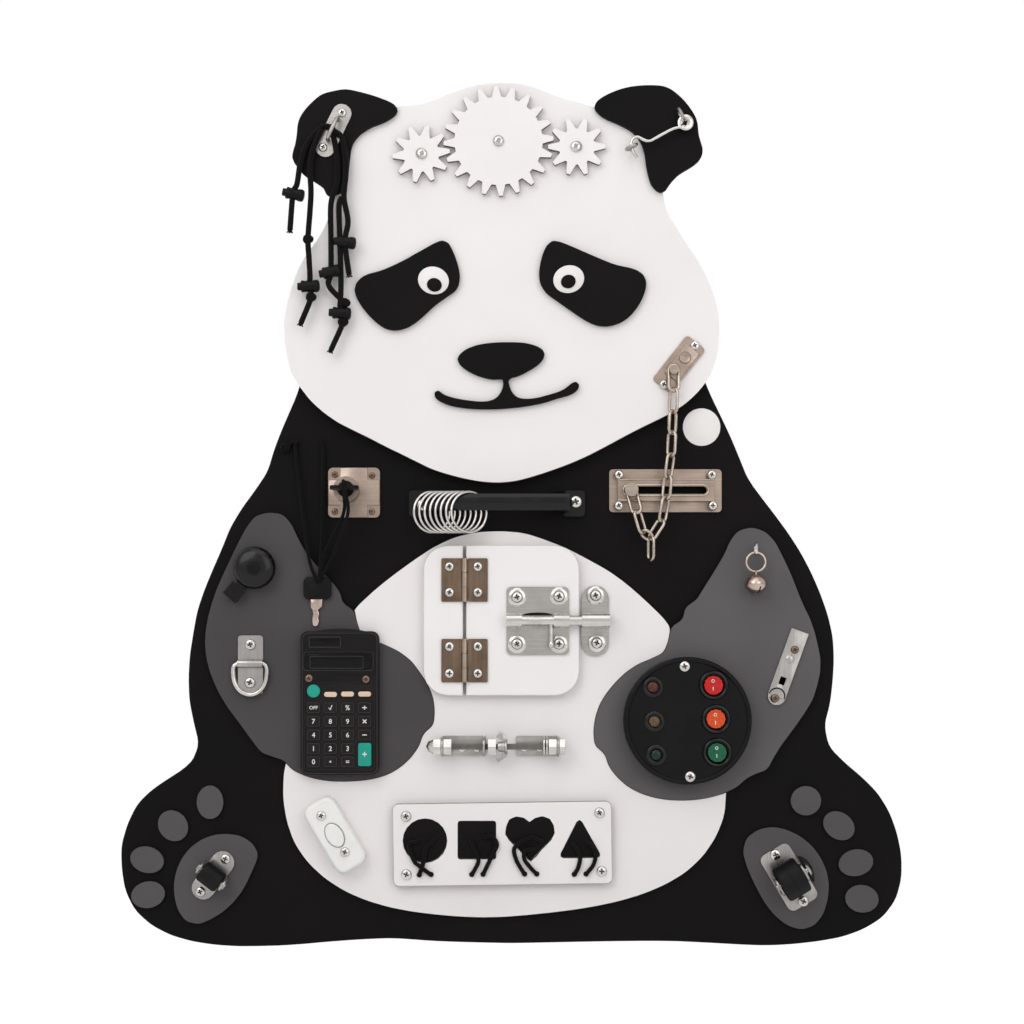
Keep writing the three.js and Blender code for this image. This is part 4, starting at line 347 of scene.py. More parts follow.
def braid_group() -> bpy.types.NodeTree:
    """Builds the crossing strands of a braided cord on the cord's own UV map, and a mask of painted shade between
    them.
    """
    sheet, given, made = new_group("braid", {"Turns": 1.0}, ("Height", "Groove"))
    uv = sheet.add("ShaderNodeUVMap", uv_map="cord")
    split = sheet.add("ShaderNodeSeparateXYZ")
    sheet.join(uv.outputs["UV"], split.inputs[0])
    waves = []
    for sign in (1.0, -1.0):
        around = sheet.math("MULTIPLY", split.outputs["X"], sign * 6 * math.tau)
        along = sheet.math("MULTIPLY", split.outputs["Y"], math.tau)
        paced = sheet.math("MULTIPLY", along, given.outputs["Turns"])
        waves.append(sheet.math("SINE", sheet.math("ADD", around, paced)))
    crossing = sheet.math("MAXIMUM", waves[0], waves[1])
    sheet.join(crossing, made.inputs["Height"])
    # Painted shade: between the strands the cord takes its darker colour.
    sheet.join(sheet.fit(crossing, -0.4, 0.5, 1.0, 0.0), made.inputs["Groove"])
    return sheet.tree


GROUPS: dict[str, bpy.types.NodeTree] = {
    "paint": paint_group(), "edge": edge_group(), "moulded": moulded_group(), "braid": braid_group(),
    "brushed_X": brushed_group(Axis.X), "brushed_Y": brushed_group(Axis.Y), "brushed_Z": brushed_group(Axis.Z),
}
MATERIALS: dict[str, bpy.types.Material] = {}


class Finish:
    """Base of every finish: it makes its material once and hands it out."""

    name: str

    def material(self) -> bpy.types.Material:
        """Returns the finish's material, made on first use."""
        if self.name not in MATERIALS:
            made = bpy.data.materials.new(self.name)
            made.use_nodes = True
            sheet = NodeSheet(made.node_tree)
            shader = sheet.nodes["Principled BSDF"]
            self.fill(sheet, shader)
            MATERIALS[self.name] = made
        return MATERIALS[self.name]

    def fill(self, sheet: NodeSheet, shader: bpy.types.Node) -> None:
        """Builds the finish's nodes; each kind of finish has its own."""
        raise NotImplementedError

    @staticmethod
    def group(sheet: NodeSheet, key: str, **inputs: float) -> bpy.types.Node:
        """Places a shared node group.

        Args:
            sheet: Node tree of the material.
            key: Name of the group.
            **inputs: Values of its inputs, with _ for a space.

        Returns:
            The group's node.
        """
        node = sheet.add("ShaderNodeGroup", node_tree=GROUPS[key])
        for label, value in inputs.items():
            node.inputs[label.replace("_", " ").title()].default_value = value
        return node

    @staticmethod
    def bump(sheet: NodeSheet, shader: bpy.types.Node, height: bpy.types.NodeSocket, strength: float,
             distance: float) -> None:
        """Feeds a height into the shader's normal.

        Args:
            sheet: Node tree of the material.
            shader: The Principled shader.
            height: Height socket.
            strength: Share of the bump that shows.
            distance: Depth of the bump in metres.
        """
        node = sheet.add("ShaderNodeBump")
        node.inputs["Strength"].default_value = strength
        node.inputs["Distance"].default_value = distance
        sheet.join(height, node.inputs["Height"])
        sheet.join(node.outputs["Normal"], shader.inputs["Normal"])


@dataclass(frozen=True)
class Paint(Finish):
    """Rolled paint on a board, with its cut edge."""

    name: str
    color: str
    shade: str
    edge: str
    burnt: str
    roughness: float = 0.55
    specular: float = 0.4

    def fill(self, sheet: NodeSheet, shader: bpy.types.Node) -> None:
        """Mixes the face, its clouds and the cut edge."""
        paint = self.group(sheet, "paint")
        edge = self.group(sheet, "edge", sharpness=0.8)
        face = sheet.mix(paint.outputs["Cloud"], linear(self.color), linear(self.shade))
        specked = sheet.mix(sheet.math("MULTIPLY", paint.outputs["Speck"], 0.25), face, linear(self.shade))
        side = sheet.mix(edge.outputs["Burn"], linear(self.edge), linear(self.burnt))
        sheet.join(sheet.mix(edge.outputs["Edge"], specked, side), shader.inputs["Base Color"])
        sheet.join(sheet.fit(paint.outputs["Cloud"], 0.0, 1.0, self.roughness - 0.05, self.roughness + 0.06),
                   shader.inputs["Roughness"])
        shader.inputs["Specular IOR Level"].default_value = self.specular
        self.bump(sheet, shader, paint.outputs["Height"], 0.35, 0.00008)


@dataclass(frozen=True)
class Metal(Finish):
    """Plated or bare metal with brushing and smudges."""

    name: str
    color: str
    shade: str
    roughness: float = 0.3
    axis: Axis = Axis.X
    scratch: float = 900.0
    depth: float = 0.00003

    def fill(self, sheet: NodeSheet, shader: bpy.types.Node) -> None:
        """Mixes the bright and the dull metal."""
        brushed = self.group(sheet, f"brushed_{self.axis.name}", scratch_scale=self.scratch)
        streaked = sheet.mix(sheet.math("MULTIPLY", brushed.outputs["Streak"], 0.45), linear(self.color),
                             linear(self.shade))
        sheet.join(sheet.mix(sheet.math("MULTIPLY", brushed.outputs["Smudge"], 0.5), streaked,
                             linear(self.shade)), shader.inputs["Base Color"])
        shader.inputs["Metallic"].default_value = 1.0
        sheet.join(sheet.fit(brushed.outputs["Smudge"], 0.0, 1.0, self.roughness - 0.06,
                             self.roughness + 0.12), shader.inputs["Roughness"])
        self.bump(sheet, shader, brushed.outputs["Height"], 0.3, self.depth)


@dataclass(frozen=True)
class Thread(Finish):
    """Threaded steel with ridges that follow each other along the rod, with painted shade in the grooves."""

    name: str
    color: str
    groove: str
    pitch: float = 0.9

    def fill(self, sheet: NodeSheet, shader: bpy.types.Node) -> None:
        """Draws the ridges across the rod and paints shade into the grooves between them."""
        place = sheet.add("ShaderNodeTexCoord")
        split = sheet.add("ShaderNodeSeparateXYZ")
        sheet.join(place.outputs["Object"], split.inputs[0])
        ridge = sheet.math("SINE", sheet.math("MULTIPLY", split.outputs["X"], math.tau / (self.pitch * MM)))
        # Groove mask: the darker colour there is painted shade.
        hollow = sheet.fit(ridge, -1.0, 0.4, 1.0, 0.0)
        sheet.join(sheet.mix(hollow, linear(self.color), linear(self.groove)), shader.inputs["Base Color"])
        shader.inputs["Metallic"].default_value = 1.0
        sheet.join(sheet.fit(hollow, 0.0, 1.0, 0.28, 0.5), shader.inputs["Roughness"])
        self.bump(sheet, shader, ridge, 0.9, 0.0003)


@dataclass(frozen=True)
class Plastic(Finish):
    """Moulded plastic or rubber with a fine skin and a little dust."""

    name: str
    color: str
    shade: str
    roughness: float = 0.35
    grain: float = 1600.0
    depth: float = 0.00004
    coat: float = 0.0
    specular: float = 0.5

    def fill(self, sheet: NodeSheet, shader: bpy.types.Node) -> None:
        """Mixes the clean and the dusty skin."""
        skin = self.group(sheet, "moulded", grain_scale=self.grain)
        sheet.join(sheet.mix(sheet.math("MULTIPLY", skin.outputs["Dust"], 0.7), linear(self.color),
                             linear(self.shade)), shader.inputs["Base Color"])
        sheet.join(sheet.fit(skin.outputs["Dust"], 0.0, 1.0, self.roughness, self.roughness + 0.15),
                   shader.inputs["Roughness"])
        shader.inputs["Coat Weight"].default_value = self.coat
        shader.inputs["Specular IOR Level"].default_value = self.specular
        self.bump(sheet, shader, skin.outputs["Height"], 0.4, self.depth)


@dataclass(frozen=True)
class Lens(Finish):
    """Coloured clear plastic with prisms moulded on its inner side."""

    name: str
    color: str
    # Colour at the cells' edges: painted shade of the prisms.
    deep: str
    cell: float = 1500.0

    def fill(self, sheet: NodeSheet, shader: bpy.types.Node) -> None:
        """Paints the prisms' light and shade as lighter and darker cells under a clear coat."""
        place = sheet.add("ShaderNodeTexCoord")
        cells = sheet.add("ShaderNodeTexVoronoi")
        cells.inputs["Scale"].default_value = self.cell
        sheet.join(place.outputs["Object"], cells.inputs["Vector"])
        shade = sheet.fit(cells.outputs["Distance"], 0.1, 0.8, 0.0, 1.0)
        sheet.join(sheet.mix(shade, linear(self.color), linear(self.deep)), shader.inputs["Base Color"])
        shader.inputs["Roughness"].default_value = 0.22
        shader.inputs["Coat Weight"].default_value = 0.08
        shader.inputs["Specular IOR Level"].default_value = 0.22
        self.bump(sheet, shader, shade, 0.25, 0.0002)


@dataclass(frozen=True)
class Braid(Finish):
    """Braided cord on the cord's own UV map, with painted shade between its strands."""

    name: str
    color: str
    groove: str
    turns: float = 1.0

    def fill(self, sheet: NodeSheet, shader: bpy.types.Node) -> None:
        """Draws the crossing strands and paints shade between them."""
        braid = self.group(sheet, "braid", turns=self.turns)
        sheet.join(sheet.mix(braid.outputs["Groove"], linear(self.color), linear(self.groove)),
                   shader.inputs["Base Color"])
        shader.inputs["Roughness"].default_value = 0.85
        shader.inputs["Sheen Weight"].default_value = 0.03
        shader.inputs["Specular IOR Level"].default_value = 0.12
        self.bump(sheet, shader, braid.outputs["Height"], 0.8, 0.0003)


BLACK_BOARD = Paint("black_board_paint", "0d0b0b", "141112", "2a211c", "0e0b0a", 0.62, 0.08)
WHITE_BOARD = Paint("white_board_paint", "f1edec", "ece7e6", "8d7a68", "3b2c20", 0.5, 0.35)
WHITE_DOOR = Paint("white_door_paint", "f3f0ef", "eeeae9", "d6cfca", "a3968a", 0.46, 0.4)
DARK_ARM = Paint("dark_arm_paint", "4b484a", "454244", "2c2725", "161211", 0.58, 0.2)
LIGHT_ARM = Paint("light_arm_paint", "5f5c5d", "575455", "332d2a", "1a1513", 0.58, 0.2)
PAD_GREY = Paint("paw_pad_paint", "555253", "4f4c4d", "3a3737", "262323", 0.58, 0.2)
BLACK_FACE = Paint("black_face_paint", "0e0c0d", "151213", "241c17", "0d0a09", 0.6, 0.08)
STEEL = Metal("zinc_steel", "bcb8b4", "8d8884", 0.3)
STEEL_UP = Metal("zinc_steel_upright", "b6b2ae", "868280", 0.32, Axis.Z)
BRIGHT = Metal("bright_steel", "dad6d2", "aaa6a2", 0.18, Axis.X, 500.0, 0.00001)
NICKEL = Metal("satin_nickel", "ac9b8e", "84746a", 0.34)
CHAIN_NICKEL = Metal("chain_nickel", "c4b7ab", "94867a", 0.22, Axis.X, 500.0, 0.00001)
CHAMPAGNE = Metal("champagne_nickel", "cdbab0", "9b877d", 0.2, Axis.X, 500.0, 0.00001)
BRONZE = Metal("aged_bronze", "84705f", "4a3c31", 0.4, Axis.Z, 700.0, 0.00005)
# Lighter, glossier bronze for the hinge knuckles; its lighter colour is a painted highlight.
HIGHLIGHT_BRONZE = Metal("knuckle_highlight_bronze", "b3a292", "7d6b5c", 0.28, Axis.Z, 700.0, 0.00003)
BROWN_SCREW = Metal("brown_screw", "93796a", "503c32", 0.38)
# Darker metal inside the screws' cross recesses: painted shade.
RECESS_SHADE_METAL = Metal("screw_recess_shade", "6b6561", "38332f", 0.45)
THREADED = Thread("rod_thread", "b9b5b1", "5f5b58")
BLACK_PLASTIC = Plastic("black_plastic_skin", "0b0a0a", "131112", 0.36, specular=0.14)
BLACK_GLOSS = Plastic("black_gloss_skin", "090808", "100e0e", 0.2, 800.0, 0.00001, 0.1, 0.25)
CASE_PLASTIC = Plastic("calculator_case_skin", "131111", "1a1717", 0.38, 1300.0, 0.00007, specular=0.14)
KEY_PLASTIC = Plastic("calculator_key_skin", "191616", "211e1e", 0.42, 1500.0, 0.00005, specular=0.16)
# Lighter plastic on the calculator's rounded edges and lips: painted highlight.
EDGE_HIGHLIGHT_PLASTIC = Plastic("calculator_edge_highlight", "3b3636", "2f2b2b", 0.35, 1500.0, 0.00003, specular=0.3)
SCREEN = Plastic("calculator_screen", "050404", "090808", 0.12, 300.0, 0.000005, 0.05, 0.15)
TEAL_KEY = Plastic("teal_key_skin", "1b9c8a", "178877", 0.42, specular=0.3)
CREAM_KEY = Plastic("cream_key_skin", "e9cdb4", "d6b79b", 0.42, specular=0.3)
WHITE_PLASTIC = Plastic("white_plastic_skin", "f0efec", "e6e4e0", 0.32)
WHITE_PRINT = Plastic("white_print", "e4e2df", "d8d5d1", 0.5, 900.0, 0.00001)
STICKER = Plastic("plain_sticker", "efebe9", "e6e1de", 0.38, 500.0, 0.00001)
RUBBER = Plastic("wheel_rubber", "0e0d0d", "1c1a1a", 0.5, 900.0, 0.0001, specular=0.16)
RED_LENS = Lens("red_rocker_lens", "e02018", "a01009")
ORANGE_LENS = Lens("orange_rocker_lens", "f05a1e", "b5380c")
GREEN_LENS = Lens("green_rocker_lens", "04704c", "023e2a")
RED_LAMP = Lens("red_lamp_lens", "6e3a30", "33160f", 900.0)
AMBER_LAMP = Lens("amber_lamp_lens", "7a6248", "43321f", 900.0)
GREEN_LAMP = Lens("green_lamp_lens", "17382b", "081a13", 900.0)
ROPE = Braid("black_braid", "141111", "040303", 260.0)
THIN_ROPE = Braid("thin_black_braid", "100e0e", "030303", 400.0)


# Shaping and finishing of pieces

Profile = Sequence[tuple[float, float]]


def finish_mesh(name: str, mesh: bpy.types.Mesh, finishes: Sequence[Finish], body: str,
                smooth: float) -> bpy.types.Object:
    """Makes an object of a finished mesh and lets it ride on a body.

    Args:
        name: Name of the piece.
        mesh: Its mesh, already in place.
        finishes: Finishes in the order of the faces' material numbers.
        body: Body that it rides on, or nothing for a piece that rides on no body.
        smooth: Angle in degrees under which neighbouring faces shade as one.

    Returns:
        The piece.
    """
    mesh.name = name
    for finish in finishes:
        mesh.materials.append(finish.material())
    mesh.polygons.foreach_set("use_smooth", [True] * len(mesh.polygons))
    mesh.set_sharp_from_angle(angle=math.radians(smooth))
    piece = bpy.data.objects.new(name, mesh)
    bpy.context.scene.collection.objects.link(piece)
    if body:
        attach(piece, body)
    LOG.info("%s rides on %s", name, body or "two bodies")
    return piece


def finish_bmesh(name: str, bm: Shape, finishes: Sequence[Finish], body: str,
                 smooth: float = 40.0) -> bpy.types.Object:
    """Makes a piece of a bmesh; see finish_mesh for the arguments and the result."""
    mesh = bpy.data.meshes.new(name)
    bm.to_mesh(mesh)
    bm.free()
    return finish_mesh(name, mesh, finishes, body, smooth)


def facing(place: Vector, turn: float = 0.0) -> Matrix:
    """Matrix of a fitting that looks along -Y at a place, turned about the line of sight.

    Args:
        place: Where the fitting's back is, in metres.
        turn: Turn in degrees, against the clock as seen from the front.

    Returns:
        The matrix that takes X right, Y up and Z outwards to the frame.
    """
    return (Matrix.Translation(place) @ Matrix.Rotation(math.radians(90), 4, "X")
            @ Matrix.Rotation(math.radians(turn), 4, "Z"))


def shift(x: float, y: float, z: float) -> Matrix:
    """Returns the matrix of a shift given in millimetres."""
    return Matrix.Translation(Vector((x, y, z)) * MM)


def spun(profile: Profile, steps: int = 48) -> Shape:
    """Turns a profile about Z.

    Args:
        profile: Radius and height of each point in millimetres.
        steps: Number of facets.

    Returns:
        The turned shape.
    """
    bm = bmesh.new()
    points = [bm.verts.new((radius * MM, 0, height * MM)) for radius, height in profile]
    edges = [bm.edges.new(pair) for pair in zip(points, points[1:])]
    bmesh.ops.spin(bm, geom=points + edges, axis=(0, 0, 1), cent=(0, 0, 0), steps=steps, angle=math.tau,
                   use_merge=True)
    bmesh.ops.remove_doubles(bm, verts=bm.verts, dist=WELD)
    bmesh.ops.recalc_face_normals(bm, faces=bm.faces)
    return bm


def bevelled(bm: Shape, geom: Sequence[object], offset: float, segments: int, affect: str = "EDGES",
             **more: object) -> Shape:
    """Rounds edges or corners of a shape.

    Args:
        bm: The shape.
        geom: Its edges or vertices.
        offset: Width of the rounding, in metres unless more says otherwise.
        segments: Facets of the rounding.
        affect: Whether edges or vertices are rounded.
        **more: Further settings of the bevel.

    Returns:
        The shape.
    """
    bmesh.ops.bevel(bm, geom=geom, offset=offset, segments=segments, profile=0.5, material=-1, affect=affect,
                    clamp_overlap=True, **more)
    return bm


def thickened(bm: Shape, way: tuple[float, float, float], soft: float, segments: int) -> Shape:
    """Draws a flat shape out to a plate with a soft front edge.

    Args:
        bm: The flat shape.
        way: Shift from its back to its front in metres.
        soft: Radius of the front edge in millimetres.
        segments: Facets of that edge.

    Returns:
        The plate.
    """
    front = bmesh.ops.extrude_face_region(bm, geom=bm.faces[:])
    top = [part for part in front["geom"] if isinstance(part, bmesh.types.BMVert)]
    bmesh.ops.translate(bm, vec=way, verts=top)
    chosen = set(top)
    bevelled(bm, [edge for edge in bm.edges if all(vert in chosen for vert in edge.verts)], soft * MM, segments)
    bmesh.ops.recalc_face_normals(bm, faces=bm.faces)
    return bm


def block(width: float, depth: float, height: float, bevel: float, segments: int = 2) -> Shape:
    """Makes a block with its back at Z = 0 and its edges rounded.

    Args:
        width: Size along X in millimetres.
        depth: Size along Y in millimetres.
        height: Size along Z in millimetres.
        bevel: Radius of the edges in millimetres.
        segments: Facets of each rounding.

    Returns:
        The block.
    """
    bm = bmesh.new()
    bmesh.ops.create_cube(bm, size=1.0)
    bmesh.ops.scale(bm, vec=(width * MM, depth * MM, height * MM), verts=bm.verts)
    bmesh.ops.translate(bm, vec=(0, 0, height * MM / 2), verts=bm.verts)
    return bevelled(bm, bm.edges, bevel * MM, segments)


def plaque(width: float, depth: float, height: float, corner: float, edge: float) -> Shape:
    """Makes a flat plate with round corners and a soft front edge.

    Args:
        width: Size along X in millimetres.
        depth: Size along Y in millimetres.
        height: Thickness in millimetres.
        corner: Radius of the corners in millimetres.
        edge: Radius of the front edge in millimetres.

    Returns:
        The plate, with its back at Z = 0.
    """
    bm = bmesh.new()
    bmesh.ops.create_grid(bm, x_segments=1, y_segments=1, size=0.5)
    bmesh.ops.scale(bm, vec=(width * MM, depth * MM, 1), verts=bm.verts)
    bevelled(bm, bm.verts, corner * MM, 6, "VERTICES")
    return thickened(bm, (0, 0, height * MM), edge, 3)


def placed(bm: Shape, matrix: Matrix) -> Shape:
    """Moves a shape by a matrix and hands it back."""
    bmesh.ops.transform(bm, matrix=matrix, verts=bm.verts)
    return bm


def gathered(shapes: Iterable[Shape]) -> Shape:
    """Gathers several shapes in one and frees them."""
    whole = bmesh.new()
    for shape in shapes:
        mesh = bpy.data.meshes.new("part")
        shape.to_mesh(mesh)
        shape.free()
        whole.from_mesh(mesh)
        bpy.data.meshes.remove(mesh)
    return whole


def repeated(mesh: bpy.types.Mesh, matrices: Iterable[Matrix]) -> Shape:
    """Repeats a mesh at several places.

    Args:
        mesh: Mesh to repeat.
        matrices: Where each copy goes.

    Returns:
        All the copies in one shape.
    """
    whole = bmesh.new()
    for matrix in matrices:
        start = len(whole.verts)
        whole.from_mesh(mesh)
        whole.verts.ensure_lookup_table()
        bmesh.ops.transform(whole, matrix=matrix, verts=whole.verts[start:])
    return whole


def raised(outline: Sequence[Vector], depth: float, corner: float = 0.0, soft: float = 0.35) -> Shape:
    """Raises a shape towards the viewer from its outline.

    Args:
        outline: Corners at the shape's back, in metres.
        depth: Thickness in millimetres.
        corner: Radius of the outline's corners in millimetres.
        soft: Radius of the front edge in millimetres.

    Returns:
        The shape.
    """
    bm = bmesh.new()
    bm.faces.new([bm.verts.new(point) for point in outline])
    if corner:
        bevelled(bm, bm.verts, corner * MM, 5, "VERTICES")
    bmesh.ops.recalc_face_normals(bm, faces=bm.faces)
    return thickened(bm, (0, -depth * MM, 0), soft, 2)


def shape_of(curve: bpy.types.Curve) -> Shape:
    """Turns a curve into a shape and removes the curve."""
    holder = bpy.data.objects.new("curve", curve)
    bpy.context.scene.collection.objects.link(holder)
    bpy.context.view_layer.update()
    mesh = bpy.data.meshes.new_from_object(holder.evaluated_get(bpy.context.evaluated_depsgraph_get()))
    bpy.data.objects.remove(holder)
    bpy.data.curves.remove(curve)
    bm = bmesh.new()
    bm.from_mesh(mesh)
    bpy.data.meshes.remove(mesh)
    bmesh.ops.remove_doubles(bm, verts=bm.verts, dist=WELD)
    return bm


def closed_wire(path: Sequence[Vector], radius: float) -> Shape:
    """Bends a round wire along a closed line.

    Args:
        path: The line's points in metres, the first one not repeated.
        radius: Radius of the wire in millimetres.

    Returns:
        The wire.
    """
    curve = bpy.data.curves.new("wire", "CURVE")
    curve.dimensions = "3D"
    line = curve.splines.new("POLY")
    line.points.add(len(path) - 1)
    for point, place in zip(line.points, path):
        point.co = (*place, 1.0)
    line.use_cyclic_u = True
    curve.bevel_depth = radius * MM
    curve.bevel_resolution = 3
    return shape_of(curve)


def merged_copy(node: str) -> Shape:
    """Copies a node's mesh, merges its loose triangles and joins its flat faces."""
    bm = bmesh.new()
    bm.from_mesh(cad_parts[node].data)
    bmesh.ops.remove_doubles(bm, verts=bm.verts, dist=4 * WELD)
    bmesh.ops.dissolve_limit(bm, angle_limit=math.radians(0.8), verts=bm.verts, edges=bm.edges)
    return bm


Chooser = Callable[[Vector], int]


def above(height: float) -> Chooser:
    """Chooses the second finish for faces that lie further from the wall than a height in millimetres."""
    return lambda centre: int(-centre.y > height * MM)


@dataclass
class Refined:
    """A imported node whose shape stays, with soft edges and its finish."""

    node: str
    finishes: tuple[Finish, ...]
    slot: Slot
    bevel: float = 0.35
    sharp: float = 42.0
    levels: int = 0
    grow: float = 0.0
    body: str = "board"
    choose: Chooser | None = None
    rounding: bool = False
    clear: Callable[[Vector], bool] | None = None
    edge_finish: int = -1

    def build(self) -> None:
        """Makes the refined copy and lets it stand for the node."""
        bm = merged_copy(self.node)
        if self.grow:
            bm.normal_update()
            for vert in bm.verts:
                vert.co += vert.normal * self.grow * MM
        if self.clear:
            self.take_off(bm)
        if self.rounding:
            self.round_outline(bm)
        if self.levels:
            self.crease(bm)
        if self.choose:
            for face in bm.faces:
                face.material_index = self.choose(face.calc_center_median())
        piece = finish_bmesh(f"{self.node}_dressed", bm, self.finishes, self.body, self.sharp)
        if self.levels:
            rounding = piece.modifiers.new("Rounding", "SUBSURF")
            rounding.levels = rounding.render_levels = self.levels
        if self.bevel:
            self.soften(piece)
        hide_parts(self.node)

    def take_off(self, bm: Shape) -> None:
        """Takes off what the looks model on their own, and closes the face beneath it."""
        gone = [face for face in bm.faces if all(self.clear(vert.co) for vert in face.verts)]
        bmesh.ops.delete(bm, geom=gone, context="FACES")
        open_edges = [edge for edge in bm.edges if edge.is_boundary]
        bmesh.ops.holes_fill(bm, edges=open_edges, sides=0)
        bmesh.ops.delete(bm, geom=[vert for vert in bm.verts if not vert.link_faces], context="VERTS")
        bmesh.ops.recalc_face_normals(bm, faces=bm.faces)

    @staticmethod
    def round_outline(bm: Shape) -> None:
        """Rounds the small corners of an outline that was cut straight through a board."""
        across = [edge for edge in bm.edges if len(edge.link_faces) == 2
                  and abs((edge.verts[1].co - edge.verts[0].co).normalized().y) > 0.999
                  and math.radians(1.5) < edge.calc_face_angle(0.0) < math.radians(75)]
        bevelled(bm, across, 32, 3, offset_type="PERCENT")

    def crease(self, bm: Shape) -> None:
        """Creases the edges that stay sharp when the shape is rounded."""
        layer = bm.edges.layers.float.new("crease_edge")
        for edge in bm.edges:
            if len(edge.link_faces) != 2 or edge.calc_face_angle(0.0) > math.radians(self.sharp):
                edge[layer] = 1.0

    def soften(self, piece: bpy.types.Object) -> None:
        """Rounds the piece's edges and evens its shading."""
        bevel = piece.modifiers.new("Edges", "BEVEL")
        bevel.width = self.bevel * MM
        bevel.segments = 2
        bevel.limit_method = "ANGLE"
        bevel.angle_limit = math.radians(self.sharp)
        bevel.use_clamp_overlap = True
        bevel.material = self.edge_finish
        normals = piece.modifiers.new("Shading", "WEIGHTED_NORMAL")
        normals.keep_sharp = False


def keypad_choice(centre: Vector) -> int:
    """Chooses the finish of the calculator's sheet and of its teal key by place."""
    teal = spot(*CLEAR_KEY, KEY_FACE)
    return int(Vector((centre.x - teal.x, centre.z - teal.z)).length < 5.4 * MM)


def rod_choice(centre: Vector) -> int:
    """Chooses thread or plain steel by the distance from the rod's own line."""
    axis = Vector((0, -ROD_LEVEL * MM, spot(495, 742.6, ROD_LEVEL).z))
    away = Vector((0, centre.y - axis.y, centre.z - axis.z)).length
    return int(away > 2.75 * MM or centre.x < -57 * MM)


def in_catch_area(point: Vector) -> bool:
    """Tells whether a point belongs to the catch plate on the right arm."""
    middle = spot(785.5, 667, ARM_FACE)
    turn = math.radians(CATCH_TURN)
    across, up = point.x - middle.x, point.z - middle.z
    side = across * math.cos(turn) + up * math.sin(turn)
    along = up * math.cos(turn) - across * math.sin(turn)
    return -point.y > (ARM_FACE - 0.05) * MM and abs(side) < 7.5 * MM and abs(along) < 31.3 * MM


def moving(node: str, *values: object, **more: object) -> Refined:
    """Refines a node that is a body of its own; see Refined for the values."""
    return Refined(node, *values, body=node, **more)


# Values that the painted boards share
PANEL = {"sharp": 50, "rounding": True}

